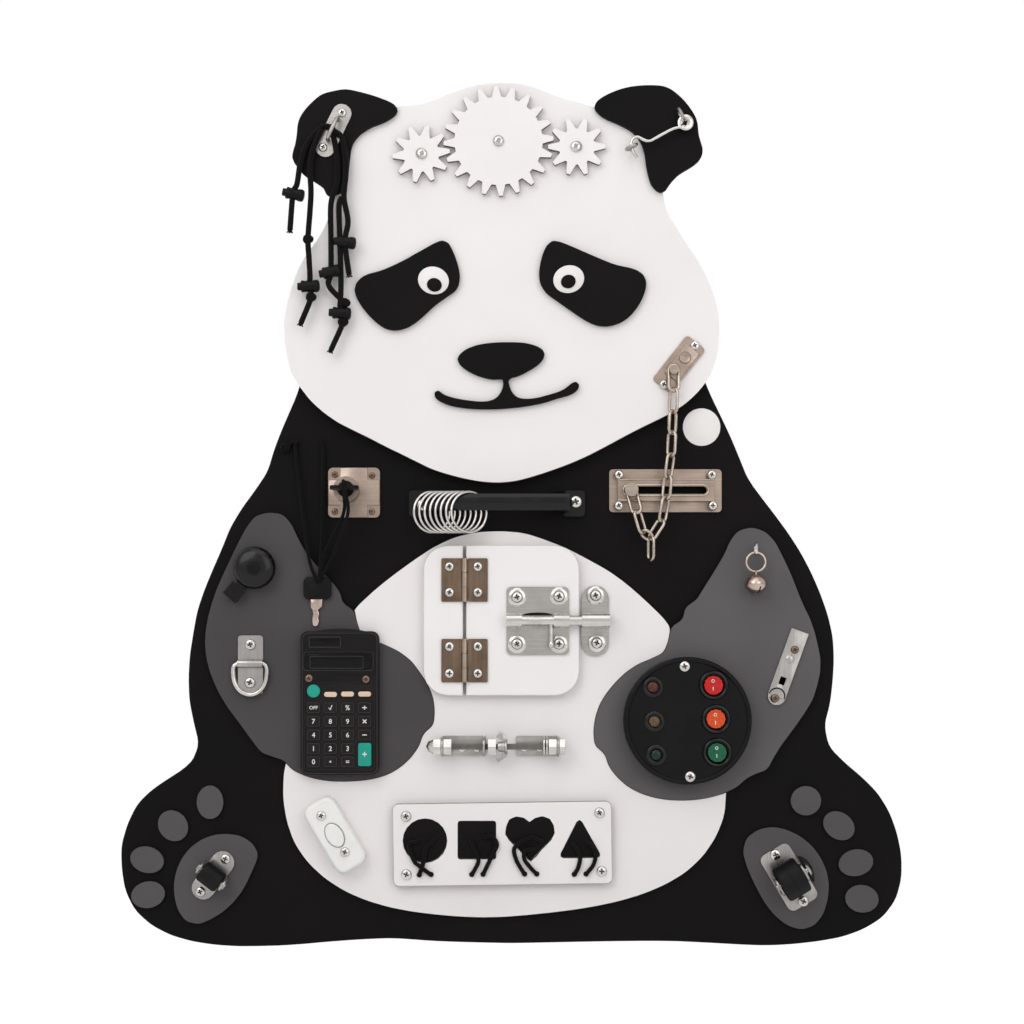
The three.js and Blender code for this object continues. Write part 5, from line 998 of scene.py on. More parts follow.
REFINED: tuple[Refined, ...] = (
    Refined("backing_board", (BLACK_BOARD, PAD_GREY), Slot.BLACK_PAINT, 0.6, choose=above(PAW_PADS), **PANEL),
    Refined("head_panel", (WHITE_BOARD, STEEL), Slot.WHITE_PAINT, 0.45, choose=above(HEAD_FITTINGS), **PANEL),
    *[Refined(f"{side}_ear_panel", (BLACK_FACE, STEEL), Slot.BLACK_PAINT, 0.4, choose=above(EAR_FITTINGS), **PANEL)
      for side in SIDES],
    Refined("belly_panel", (WHITE_BOARD,), Slot.WHITE_PAINT, 0.4, **PANEL),
    Refined("left_arm_panel", (DARK_ARM,), Slot.DARK_GREY_PAINT, 0.4, **PANEL),
    Refined("right_arm_panel", (LIGHT_ARM, BRIGHT), Slot.GREY_PAINT, 0.4, choose=above(ARM_FACE + 0.2),
            clear=in_catch_area, **PANEL),
    *[Refined(node, (BLACK_FACE,), Slot.BLACK_PAINT, 0.4, **PANEL)
      for node in ("left_eye_patch", "right_eye_patch", "nose_and_mouth")],
    *[moving(f"{place}_gear", (WHITE_BOARD,), Slot.WHITE_PAINT, 0.3, 35) for place in ("center", *SIDES)],
    moving("cabin_hook", (BRIGHT,), Slot.STEEL, 0, 75, 2, 0.18),
    *[Refined(node, (NICKEL,), Slot.NICKEL, 0.3) for node in ("chain_anchor_plate", "chain_keeper")],
    moving("chain_knob", (CHAIN_NICKEL,), Slot.NICKEL, 0.25, levels=1),
    Refined("cabinet_lock", (NICKEL,), Slot.NICKEL, 0.3),
    moving("lock_key", (BLACK_PLASTIC,), Slot.BLACK_PLASTIC, 0.5),
    Refined("bow_handle", (BLACK_GLOSS,), Slot.BLACK_PLASTIC, 0.5),
    moving("key_rings", (BRIGHT,), Slot.STEEL, 0, 80, 2, 0.1),
    Refined("d_ring_bracket", (STEEL_UP,), Slot.STEEL, 0.3),
    moving("d_ring", (BRIGHT,), Slot.STEEL, 0, 75, 2, 0.4),
    # The calculator's rounded edges take the lighter edge plastic: painted highlight.
    Refined("calculator_case", (CASE_PLASTIC, EDGE_HIGHLIGHT_PLASTIC), Slot.BLACK_PLASTIC, 0.5, edge_finish=1),
    Refined("calculator_keypad", (KEY_PLASTIC, TEAL_KEY, EDGE_HIGHLIGHT_PLASTIC), Slot.KEYPAD, 0.5, choose=keypad_choice,
            edge_finish=2),
    moving("calculator_plus_key", (TEAL_KEY,), Slot.GREEN, 0.6),
    Refined("door_hinge_strip", (WHITE_DOOR,), Slot.WHITE_PAINT, 0.5),
    Refined("door_leaf", (WHITE_DOOR,), Slot.WHITE_PAINT, 0.5, body="door"),
    # Knuckles, further from the wall, take the lighter bronze: painted highlight.
    *[Refined(f"{place}_hinge_{kind}_leaf", (BRONZE, HIGHLIGHT_BRONZE), Slot.BRONZE, 0.25, body=body,
              choose=above(HINGE_KNUCKLES))
      for kind, body in (("fixed", "board"), ("moving", "door")) for place in ("upper", "lower")],
    # Raised bands take bright steel: real gloss, and a lighter colour that is a painted highlight.
    Refined("bolt_plate", (STEEL, BRIGHT), Slot.STEEL, 0.25, body="door", choose=above(BOLT_BANDS)),
    moving("bolt_rod", (BRIGHT,), Slot.STEEL, 0.3, 50),
    Refined("bolt_keeper", (STEEL, BRIGHT), Slot.STEEL, 0.25, choose=above(KEEPER_BAND)),
    *[Refined(f"{side}_rod_bracket", (STEEL,), Slot.STEEL, 0.25) for side in SIDES],
    Refined("threaded_rod", (THREADED, BRIGHT), Slot.STEEL, 0.2, 50, choose=rod_choice),
    Refined("switch_housing", (BLACK_PLASTIC,), Slot.BLACK_PLASTIC, 0.5, 35),
    *[moving(f"{slot.name.lower()}_rocker", (lens,), slot, 0.3, 50)
      for slot, lens in ((Slot.RED, RED_LENS), (Slot.ORANGE, ORANGE_LENS), (Slot.GREEN, GREEN_LENS))],
    Refined("touch_switch_case", (WHITE_PLASTIC,), Slot.WHITE_PLASTIC, 1.2),
    moving("touch_switch_button", (WHITE_PLASTIC,), Slot.WHITE_PLASTIC, 0.5),
    Refined("shape_tray", (WHITE_BOARD,), Slot.WHITE_PAINT, 0.35, 50),
    Refined("bell_dome", (BLACK_GLOSS,), Slot.BLACK_PLASTIC, 0.6, 40),
    moving("bell_lever", (BLACK_GLOSS,), Slot.BLACK_PLASTIC, 0.6, 40),
    *[moving(f"{side}_caster_wheel", (RUBBER,), Slot.RUBBER, 0.9, 40) for side in SIDES],
    *[Refined(f"{side}_caster_frame", (STEEL_UP,), Slot.STEEL, 0.25) for side in SIDES],
)


@dataclass
class Viewpoint:
    """Camera at the photograph's viewing angle."""

    distance: float = 1710.0
    height: float = -104.8
    sensor: float = 36.0
    seen_width: float = 819.2
    shift: tuple[float, float] = (0.001, 0.13)

    def build(self) -> None:
        """Makes the camera and sets it as the scene's own."""
        camera = bpy.data.objects.new("camera", bpy.data.cameras.new("camera"))
        camera.location = Vector((0, -self.distance, self.height)) * MM
        camera.rotation_euler = (math.radians(90), 0, 0)
        camera.data.lens = self.sensor * VIEW_DISTANCE / self.seen_width
        camera.data.sensor_width = self.sensor
        camera.data.shift_x, camera.data.shift_y = self.shift
        camera.data.clip_start, camera.data.clip_end = 0.05, 30.0
        bpy.context.scene.collection.objects.link(camera)
        bpy.context.scene.camera = camera


@dataclass
class Studio:
    """Pale floor, white surroundings and soft lamps."""

    floor_level: float = -346.2
    lamps: tuple[tuple[float, float, float, float, float], ...] = (
        (-900, -1500, 900, 1.2, 10.0), (900, -1600, 500, 1.2, 6.0), (0, -900, 1500, 1.4, 6.0),
        (0, 1500, 700, 1.6, 8.0),
    )
    world_light: float = 0.47

    def build(self) -> None:
        """Makes the floor, the world and the lamps."""
        self.make_floor()
        self.make_world()
        for index, (x, y, z, size, power) in enumerate(self.lamps):
            self.make_lamp(f"lamp_{index}", Vector((x, y, z)) * MM, size, power)

    def make_floor(self) -> None:
        """Makes the floor, which shows white but keeps its shadows."""
        bm = bmesh.new()
        bmesh.ops.create_grid(bm, x_segments=4, y_segments=4, size=6.0)
        bmesh.ops.translate(bm, vec=(0, 0, self.floor_level * MM), verts=bm.verts)
        mesh = bpy.data.meshes.new("floor")
        bm.to_mesh(mesh)
        bm.free()
        floor = bpy.data.objects.new("floor", mesh)
        bpy.context.scene.collection.objects.link(floor)
        made = bpy.data.materials.new("floor_white")
        made.use_nodes = True
        sheet = NodeSheet(made.node_tree)
        shader = sheet.nodes["Principled BSDF"]
        shader.inputs["Base Color"].default_value = (0.9, 0.9, 0.9, 1)
        shader.inputs["Roughness"].default_value = 0.9
        glow = sheet.add("ShaderNodeEmission")
        glow.inputs["Strength"].default_value = 1.04
        blend = sheet.add("ShaderNodeMixShader")
        ray = sheet.add("ShaderNodeLightPath")
        seen = sheet.math("MAXIMUM", ray.outputs["Is Camera Ray"], ray.outputs["Is Glossy Ray"])
        sheet.join(sheet.math("MULTIPLY", seen, 0.97), blend.inputs[0])
        sheet.join(shader.outputs[0], blend.inputs[1])
        sheet.join(glow.outputs[0], blend.inputs[2])
        sheet.join(blend.outputs[0], sheet.nodes["Material Output"].inputs["Surface"])
        mesh.materials.append(made)

    def make_world(self) -> None:
        """Makes surroundings that look white and light the object more softly."""
        world = bpy.data.worlds.new("studio")
        world.use_nodes = True
        bpy.context.scene.world = world
        sheet = NodeSheet(world.node_tree)
        back = sheet.nodes["Background"]
        ray = sheet.add("ShaderNodeLightPath")
        seen = sheet.math("MAXIMUM", ray.outputs["Is Camera Ray"], ray.outputs["Is Transmission Ray"])
        lit = sheet.fit(ray.outputs["Is Glossy Ray"], 0.0, 1.0, self.world_light, 0.75)
        sheet.join(sheet.math("MAXIMUM", seen, lit), back.inputs["Strength"])
        back.inputs["Color"].default_value = (1, 1, 1, 1)

    @staticmethod
    def make_lamp(name: str, place: Vector, size: float, power: float) -> None:
        """Makes one square lamp that looks at the board.

        Args:
            name: Name of the lamp.
            place: Where it hangs, in metres.
            size: Its side in metres.
            power: Its power in watts.
        """
        data = bpy.data.lights.new(name, "AREA")
        data.size = size
        data.energy = power
        lamp = bpy.data.objects.new(name, data)
        lamp.location = place
        lamp.rotation_euler = (-place).to_track_quat("-Z", "Y").to_euler()
        bpy.context.scene.collection.objects.link(lamp)


# Fittings that the looks add


@dataclass
class ScrewSet:
    """Pan head screws with a cross recess, all on one face."""

    name: str
    body: str
    height: float
    radius: float
    places: Pixels
    finish: Finish = BRIGHT
    slot: Slot = Slot.STEEL
    rise: float = 0.55
    washer: float = 0.0

    def build(self) -> None:
        """Makes the heads, each turned its own way."""
        head = self.head()
        turns = [math.radians(17 + 53 * index) for index in range(len(self.places))]
        size = Matrix.Scale(self.radius * MM, 4)
        matrices = [facing(spot(column, row, self.height)) @ Matrix.Rotation(turn, 4, "Z") @ size
                    for (column, row), turn in zip(self.places, turns)]
        shapes = [repeated(head, matrices)]
        if self.washer:
            inner = 1.02 * self.radius
            ring = [(inner, 0.2), (inner, 1.0), (0.8 * self.washer, 0.85), (0.95 * self.washer, 0.3),
                    (self.washer, 0.0), (inner, 0.2)]
            shapes += [placed(spun(ring, 32), facing(spot(column, row, self.height)))
                       for column, row in self.places]
        finish_bmesh(self.name, gathered(shapes), (self.finish, RECESS_SHADE_METAL), self.body, 38)

    def head(self) -> bpy.types.Mesh:
        """Makes a head of radius 1 with its cross cut in, once for all sets."""
        if "screw_head" in bpy.data.meshes:
            return bpy.data.meshes["screw_head"]
        rise = self.rise
        dome = [(0.0, rise), (0.42, 0.98 * rise), (0.72, 0.88 * rise), (0.9, 0.68 * rise), (0.98, 0.42 * rise),
                (1.03, 0.1 * rise), (1.02, -0.06), (0.0, -0.06)]
        bm = carved(spun([(r / MM, h / MM) for r, h in dome], 24), [self.blade(0), self.blade(90)])
        # Faces inside the cross take the darker second finish: painted shade in the recess.
        for face in bm.faces:
            centre = face.calc_center_median()
            away = math.hypot(centre.x, centre.y)
            face.material_index = int(away < 0.7 and 0.1 < centre.z < (0.9 - 0.18 * away) * rise)
        mesh = bpy.data.meshes.new("screw_head")
        bm.to_mesh(mesh)
        bm.free()
        return mesh

    @staticmethod
    def blade(turn: float) -> Shape:
        """Makes one blade of the cross at a turn in degrees."""
        bm = bmesh.new()
        bmesh.ops.create_cube(bm, size=1.0)
        bmesh.ops.scale(bm, vec=(1.2, 0.3, 0.6), verts=bm.verts)
        low = [v for v in bm.verts if v.co.z < 0]
        bmesh.ops.scale(bm, vec=(0.45, 0.75, 1), verts=low)
        bmesh.ops.translate(bm, vec=(0, 0, 0.42), verts=bm.verts)
        bmesh.ops.rotate(bm, verts=bm.verts, matrix=Matrix.Rotation(math.radians(turn), 3, "Z"))
        return bm


SCREWS: tuple[ScrewSet, ...] = (
    ScrewSet("ear_plate_screws", "board", 25.1, 3.5, ((342, 109.5), (323, 144))),
    ScrewSet("gear_pivot_screws", "board", 25.0, 4.3, ((498.6, 137.4), (421.7, 150.2), (575.9, 143.2))),
    ScrewSet("anchor_screws", "board", 21.2, 3.6, ((695, 343), (664, 382))),
    ScrewSet("keeper_plate_screws", "board", 17.3, 3.6, ((619, 473), (712, 473), (619, 504), (713, 504))),
    ScrewSet("lock_screws", "board", 12.3, 2.6, ((372, 475), (372, 511), (335, 511), (335, 474)), BROWN_SCREW,
             Slot.NICKEL),
    ScrewSet("handle_screws", "board", 13.3, 5.0, ((576, 501), (423, 504))),
    ScrewSet("ring_plate_screws", "board", 17.0, 4.4, ((250.4, 643), (250, 681))),
    ScrewSet("calculator_screws", "board", 24.6, 3.2, ((309, 675), (366, 676)), BROWN_SCREW, Slot.NICKEL),
    ScrewSet("fixed_leaf_screws", "board", 24.1, 3.8,
             ((449.5, 563.4), (449.5, 589.2), (449.5, 643.4), (449.5, 670.2))),
    ScrewSet("moving_leaf_screws", "door", 24.1, 3.8,
             ((477.8, 563.4), (477.8, 589.2), (477.8, 643.4), (477.8, 670.2))),
    ScrewSet("bolt_plate_screws", "door", 24.4, 4.4,
             ((517.1, 594), (559.1, 593.2), (517.1, 640.7), (559.1, 640.7)), washer=7.4),
    ScrewSet("bolt_keeper_screws", "board", 16.1, 4.4, ((595.7, 594), (596.9, 641.5)), washer=7.4),
    ScrewSet("rod_bracket_screws", "board", 16.2, 3.0,
             ((462.1, 747), (477, 747), (524.3, 746.7), (539.5, 746.7))),
    ScrewSet("switch_screws", "board", 30.6, 4.4, ((684.7, 661.8), (690.2, 772))),
    ScrewSet("touch_switch_screws", "board", 27.6, 3.8, ((321.3, 811.8), (344.9, 848.2))),
    ScrewSet("tray_screws", "board", 21.6, 4.2, ((406.1, 813.7), (406.4, 871.9), (599.5, 810.1), (601.8, 868.6))),
    ScrewSet("left_caster_screws", "board", 15.1, 4.0, ((200.4, 890.5), (225.5, 857.7))),
    ScrewSet("right_caster_screws", "board", 15.1, 4.4, ((775.4, 853.4), (803.3, 899.9))),
    ScrewSet("catch_screws", "board", 17.4, 3.2, ((794.9, 648), (775.1, 696.5)), BROWN_SCREW, Slot.NICKEL),
)


@dataclass
class Eyes:
    """White ovals with black pupils on the eye patches."""

    thickness: float = 1.3
    pupil_radius: float = 5.9
    whites: tuple[tuple[float, float, float, float, float], ...] = (
        (433.5, 277.6, 12.4, 10.9, -18), (568.7, 276.3, 12.4, 10.9, 18))
    pupils: Pixels = ((434.4, 281.6), (568.3, 278.3))

    def build(self) -> None:
        """Makes both eyes."""
        for side, white, pupil in zip(("left", "right"), self.whites, self.pupils):
            column, row, half_x, half_y, turn = white
            place = facing(spot(column, row, FACE_FACE), turn)
            oval = placed(self.disc(1.0), place @ Matrix.Diagonal((half_x, half_y, 1, 1)))
            finish_bmesh(f"{side}_eye_white", oval, (WHITE_BOARD,), "board", 50)
            dark = placed(self.disc(self.pupil_radius),
                          facing(spot(*pupil, FACE_FACE + self.thickness), turn) @ Matrix.Diagonal((1, 0.9, 1, 1)))
            finish_bmesh(f"{side}_eye_pupil", dark, (BLACK_FACE,), "board", 50)

    def disc(self, radius: float) -> Shape:
        """Makes a thin disc with a soft rim."""
        soft = 0.3 / (12 if radius == 1.0 else 1)
        return spun([(0, self.thickness), (radius - soft, self.thickness), (radius, self.thickness - 0.3),
                     (radius, 0.02), (0, 0.02)], 64)


# Cords


def smooth_path(points: Sequence[Vector], step: float = 1.2) -> list[Vector]:
    """Runs one smooth line through points.

    Args:
        points: The points in metres.
        step: Distance between the line's points in millimetres.

    Returns:
        The line's points.
    """
    ends = [2 * points[0] - points[1], *points, 2 * points[-1] - points[-2]]
    path = [points[0].copy()]
    for a, b, c, d in zip(ends, ends[1:], ends[2:], ends[3:]):
        count = max(2, round((c - b).length / (step * MM)))
        for index in range(1, count + 1):
            t = index / count
            path.append(0.5 * ((2 * b) + (c - a) * t + (2 * a - 5 * b + 4 * c - d) * t * t
                               + (3 * b - a - 3 * c + d) * t ** 3))
    return path


def circle(radius: float, first: Sequence[float], second: Sequence[float], steps: int = 48) -> list[Vector]:
    """Draws a circle round the origin.

    Args:
        radius: Its radius in millimetres.
        first: Direction in which it starts.
        second: Direction that it reaches after a quarter.
        steps: Number of its points.

    Returns:
        Its points in millimetres.
    """
    return [(Vector(first) * math.cos(a) + Vector(second) * math.sin(a)) * radius
            for a in (math.tau * index / steps for index in range(steps))]


def knot_path(centre: Vector, wide: float, tall: float, swing: float, deep: float) -> list[Vector]:
    """Draws an overhand knot as two crossing turns round a place.

    Args:
        centre: The place in metres.
        wide: Half its width in millimetres.
        tall: Half its height in millimetres.
        swing: How far the turns move in and out in millimetres.
        deep: Half its depth in millimetres.

    Returns:
        The knot's closed line in metres.
    """
    return [centre + Vector((math.cos(2 * a) * (wide + swing * math.cos(3 * a)), deep * math.sin(3 * a),
                             math.sin(2 * a) * (tall + swing * math.cos(3 * a)))) * MM
            for a in (math.tau * index / 48 for index in range(49))]


def tube_along(path: Sequence[Vector], radius: float, sides: int = 12) -> Shape:
    """Draws a tube along a line by extruding one ring after the other.

    Args:
        path: The line's points in metres.
        radius: Radius in millimetres.
        sides: Facets around the tube.

    Returns:
        The tube, with a UV map named cord: round it along U, along it in metres along V.
    """
    bm = bmesh.new()
    heading = (path[1] - path[0]).normalized()
    side = heading.orthogonal().normalized()
    frames, lengths = [], [0.0]
    for index, point in enumerate(path):
        near = path[max(index - 1, 0)]
        far = path[min(index + 1, len(path) - 1)]
        ahead = (far - near).normalized()
        side = (side - ahead * side.dot(ahead)).normalized()
        frames.append(Matrix.Translation(point) @ Matrix((side, ahead.cross(side), ahead)).transposed().to_4x4())
        if index:
            lengths.append(lengths[-1] + (point - path[index - 1]).length)
    ring = bmesh.ops.create_circle(bm, cap_ends=False, radius=radius * MM, segments=sides, matrix=frames[0])
    edges = list({edge for vert in ring["verts"] for edge in vert.link_edges})
    stage = bm.verts.layers.float.new("stage")
    previous = frames[0]
    for index in range(1, len(path)):
        made = bmesh.ops.extrude_edge_only(bm, edges=edges)
        verts = [part for part in made["geom"] if isinstance(part, bmesh.types.BMVert)]
        chosen = set(verts)
        edges = [part for part in made["geom"] if isinstance(part, bmesh.types.BMEdge)
                 and part.verts[0] in chosen and part.verts[1] in chosen]
        bmesh.ops.transform(bm, matrix=frames[index] @ previous.inverted(), verts=verts)
        for vert in verts:
            vert[stage] = float(index)
        previous = frames[index]
    uv = bm.loops.layers.uv.new("cord")
    inverse = [matrix.inverted() for matrix in frames]
    for face in bm.faces:
        turns = []
        for loop in face.loops:
            local = inverse[int(loop.vert[stage])] @ loop.vert.co
            turns.append(math.atan2(local.y, local.x) / math.tau % 1.0)
        wrap = max(turns) - min(turns) > 0.5
        for loop, turn in zip(face.loops, turns):
            loop[uv].uv = (turn + 1.0 if wrap and turn < 0.5 else turn, lengths[int(loop.vert[stage])])
    bmesh.ops.holes_fill(bm, edges=[edge for edge in bm.edges if edge.is_boundary], sides=sides + 1)
    bmesh.ops.recalc_face_normals(bm, faces=bm.faces)
    return bm


def lay_cord(name: str, points: Sequence[Vector], radius: float, finish: Finish, body: str) -> bpy.types.Object:
    """Args:
        name: Name of the piece.
        points: Points that it follows, from its exit, in metres.
        radius: Its radius in millimetres.
        finish: Its finish.
        body: Body that it rides on.

    Returns:
        The cord.
    """
    path = smooth_path(points)
    piece = finish_bmesh(name, tube_along(path, radius), (finish,), body, 60)
    return piece


@dataclass
class LacingRopes:
    """Ropes on the ear's pad eye with their cord locks, knots and frayed ends."""

    radius: float = 2.25
    level: float = 27.6
    lock_radius: float = 4.4
    lock_length: float = 17.6
    routes: tuple[tuple[str, float, Pixels], ...] = (
        ("lace_outer", 0.0, ((334, 124), (322, 123), (308, 138), (301, 156), (297, 180), (293, 190), (290, 226))),
        ("lace_long", 0.9, ((322, 124), (314, 142), (310, 162), (311, 187), (310, 207), (308, 235), (309, 254),
                            (310, 274), (308.6, 282), (311, 293), (301, 319))),
        ("lace_middle", 0.0, ((332, 128), (335, 140), (337, 157), (337, 178), (331, 200), (331, 234), (331, 268),
                              (329, 282), (345, 299))),
        ("lace_inner", 1.2, ((333, 126), (341, 132), (345, 146), (346, 168), (344, 193), (348, 217), (345, 238),
                             (349, 270))),
        ("lace_low", 0.5, ((342, 193), (339, 203), (340, 240), (341, 280), (340, 309), (343, 318), (331, 346))),
    )
    locks: tuple[tuple[str, float, float, float], ...] = (
        ("lace_outer", 293.5, 190, -12), ("lace_long", 308.6, 282, 2), ("lace_middle", 330, 268, 12),
        ("lace_inner", 345, 238, -7), ("lace_low", 340, 309, -4))
    knots: tuple[tuple[str, float, float], ...] = (
        ("lace_long", 311, 293), ("lace_low", 343, 318), ("lace_long", 308, 235), ("lace_middle", 345, 299))

    def build(self) -> None:
        """Makes every rope with what is on it."""
        first = None
        for name, lift, pixels in self.routes:
            level = self.level + lift
            extras = [self.lock(f"{rope}_lock", column, row, turn, level)
                      for rope, column, row, turn in self.locks if rope == name]
            extras += [self.knot(f"{name}_knot_{index}", column, row, level)
                       for index, (rope, column, row) in enumerate(self.knots) if rope == name]
            extras.append(self.frayed_end(f"{name}_end", pixels, level))
            cord = lay_cord(name, spots(pixels, level), self.radius, ROPE, "board")
            first = first or cord
        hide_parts("lacing_ropes")

    def lock(self, name: str, column: float, row: float, turn: float, level: float) -> bpy.types.Object:
        """Makes a cord lock: a barrel with a spring button and two collars."""
        half, r = self.lock_length / 2, self.lock_radius
        profile = [(0, -half), (0.62 * r, -half), (0.7 * r, -half + 0.6), (0.7 * r, -half + 3.0), (r, -half + 3.0),
                   (1.06 * r, -half + 3.6), (1.06 * r, -half + 5.0), (r, -half + 5.4), (r, half - 5.2),
                   (1.1 * r, half - 4.8), (1.1 * r, half - 1.6), (0.9 * r, half - 0.5), (0.55 * r, half), (0, half)]
        barrel = placed(spun(profile, 32), facing(spot(column, row, level + 0.3), turn) @ SIDEWAYS)
        return finish_bmesh(name, barrel, (BLACK_PLASTIC,), "board", 45)

    def knot(self, name: str, column: float, row: float, level: float) -> bpy.types.Object:
        """Makes an overhand knot as two crossing turns of the rope."""
        path = knot_path(spot(column, row, level), 2.1, 1.7, 0.5, 0.9)
        return finish_bmesh(name, tube_along(path, 0.86 * self.radius, 10), (ROPE,), "board", 60)

    def frayed_end(self, name: str, pixels: Sequence[tuple[float, float]], level: float) -> bpy.types.Object:
        """Makes the loose threads at a rope's cut end."""
        tip, before = spot(*pixels[-1], level), spot(*pixels[-2], level)
        heading = (tip - before).normalized()
        side = heading.cross(Vector((0, 1, 0))).normalized()
        threads = []
        for index in range(9):
            angle = math.tau * index / 9
            out = side * math.cos(angle) + Vector((0, 1, 0)) * math.sin(angle)
            start = tip - heading * 0.6 * MM + out * 1.2 * MM
            bend = start + heading * 1.5 * MM + out * 0.3 * MM
            end = bend + (heading * (1.4 + 0.5 * math.sin(3 * index)) + out * (0.5 + 0.4 * math.cos(5 * index))) * MM
            threads.append(tube_along(smooth_path([start, bend, end], 0.6), 0.42, 6))
        return finish_bmesh(name, gathered(threads), (ROPE,), "board", 60)


@dataclass
class KeyCords:
    """Thin cord from two holes in the board to the lock's key and the spare key."""

    radius: float = 1.4
    hang: float = 14.2
    low: float = 20.2
    barrel: tuple[float, float] = (-130.7, 18.65)
    bow_hole: float = 47.3
    bow_edge: float = 56.1
    side: float = 4.2
    fob: tuple[float, float] = (-154.16, -59.36)
    fob_hole: tuple[float, float] = (-154.16, -54.36)
    blade: Pixels = (
        (310.8, 596.5), (322.6, 596.5), (322.2, 605.2), (318.0, 608.6), (319.5, 612.6), (318.3, 616.4), (319.1, 620.2),
        (317.9, 624.0), (315.5, 625.2), (313.1, 624.0), (312.4, 618.6), (313.4, 612.0), (312.6, 608.4), (310.9, 605.8))

    def at(self, x: float, up: float, height: float) -> Vector:
        """Turns a place of the board in millimetres into a point in metres."""
        return Vector((x, -height, up)) * MM

    def build(self) -> None:
        """Makes the strands, the knots, the fob and the spare key."""
        knot = self.at(*self.fob_hole, self.low)
        spare = self.spare_key()
        first = lay_cord("key_cord_outer", [
            spot(297, 441.5, 10.6), spot(297, 441.8, 12.8), spot(295.5, 449, self.hang), spot(302, 505, 17.0),
            spot(309, 556, self.low), knot], self.radius, THIN_ROPE, "board")
        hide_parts("key_cord")
        lay_cord("key_cord_inner", [
            spot(321.5, 441.5, 10.6), spot(321.5, 441.8, 12.8), spot(323, 452, self.hang), spot(322.5, 505, 17.0),
            spot(321, 556, self.low + 0.4), knot + Vector((1, -0.4, 0)) * MM], self.radius, THIN_ROPE, "board")
        x, up = self.barrel
        r, drop = self.radius, 5 * self.side
        route = [knot + Vector((0.5, -0.8, 0)) * MM, spot(326, 548, self.low + r),
                 self.at(x - r, up - drop, self.bow_hole - 9), self.at(x, up - self.side, self.bow_hole),
                 self.at(x, up, self.bow_hole), self.at(x, up + self.side, self.bow_hole + r),
                 self.at(x, up + self.side, self.bow_edge - r), self.at(x, up, self.bow_edge + r),
                 self.at(x + r, up - self.side, self.bow_edge), self.at(x + 2 * r, up - drop, self.bow_hole - r),
                 spot(333, 553, self.low + 2 * r), knot + Vector((1.6, -1.2, 0.6)) * MM]
        loop = lay_cord("key_cord_loop", route, r, THIN_ROPE, "")
        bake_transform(loop)
        self.stopper()

    def stopper(self) -> None:
        """Makes the stopper knot at the outer hole."""
        centre = spot(285, 446.5, 13.4)
        lines = (knot_path(centre, 2.4, 1.9, 0.6, 1.0),
                 smooth_path([centre, spot(292, 442, 12.6), spot(296, 441.5, 10.8)]))
        finish_bmesh("key_cord_stopper", gathered([tube_along(line, self.radius, 10) for line in lines]),
                     (THIN_ROPE,), "board", 60)

    def spare_key(self) -> bpy.types.Object:
        """Makes the spare key's plastic bow and its blade."""
        x, up = self.fob
        bow = placed(plaque(22, 18, 3.6, 4.5, 0.7), facing(self.at(x, up, 15.7)))
        ridge = placed(plaque(13, 10, 0.6, 1.5, 0.3), facing(self.at(x, up - 1.5, 19.2)))
        blade = raised(spots(self.blade, 16.1), 2.0, 0.7, 0.4)
        finish_bmesh("spare_key_blade", blade, (CHAMPAGNE,), "board", 38)
        return finish_bmesh("spare_key_bow", gathered([bow, ridge]), (BLACK_PLASTIC,), "board",
                            45)


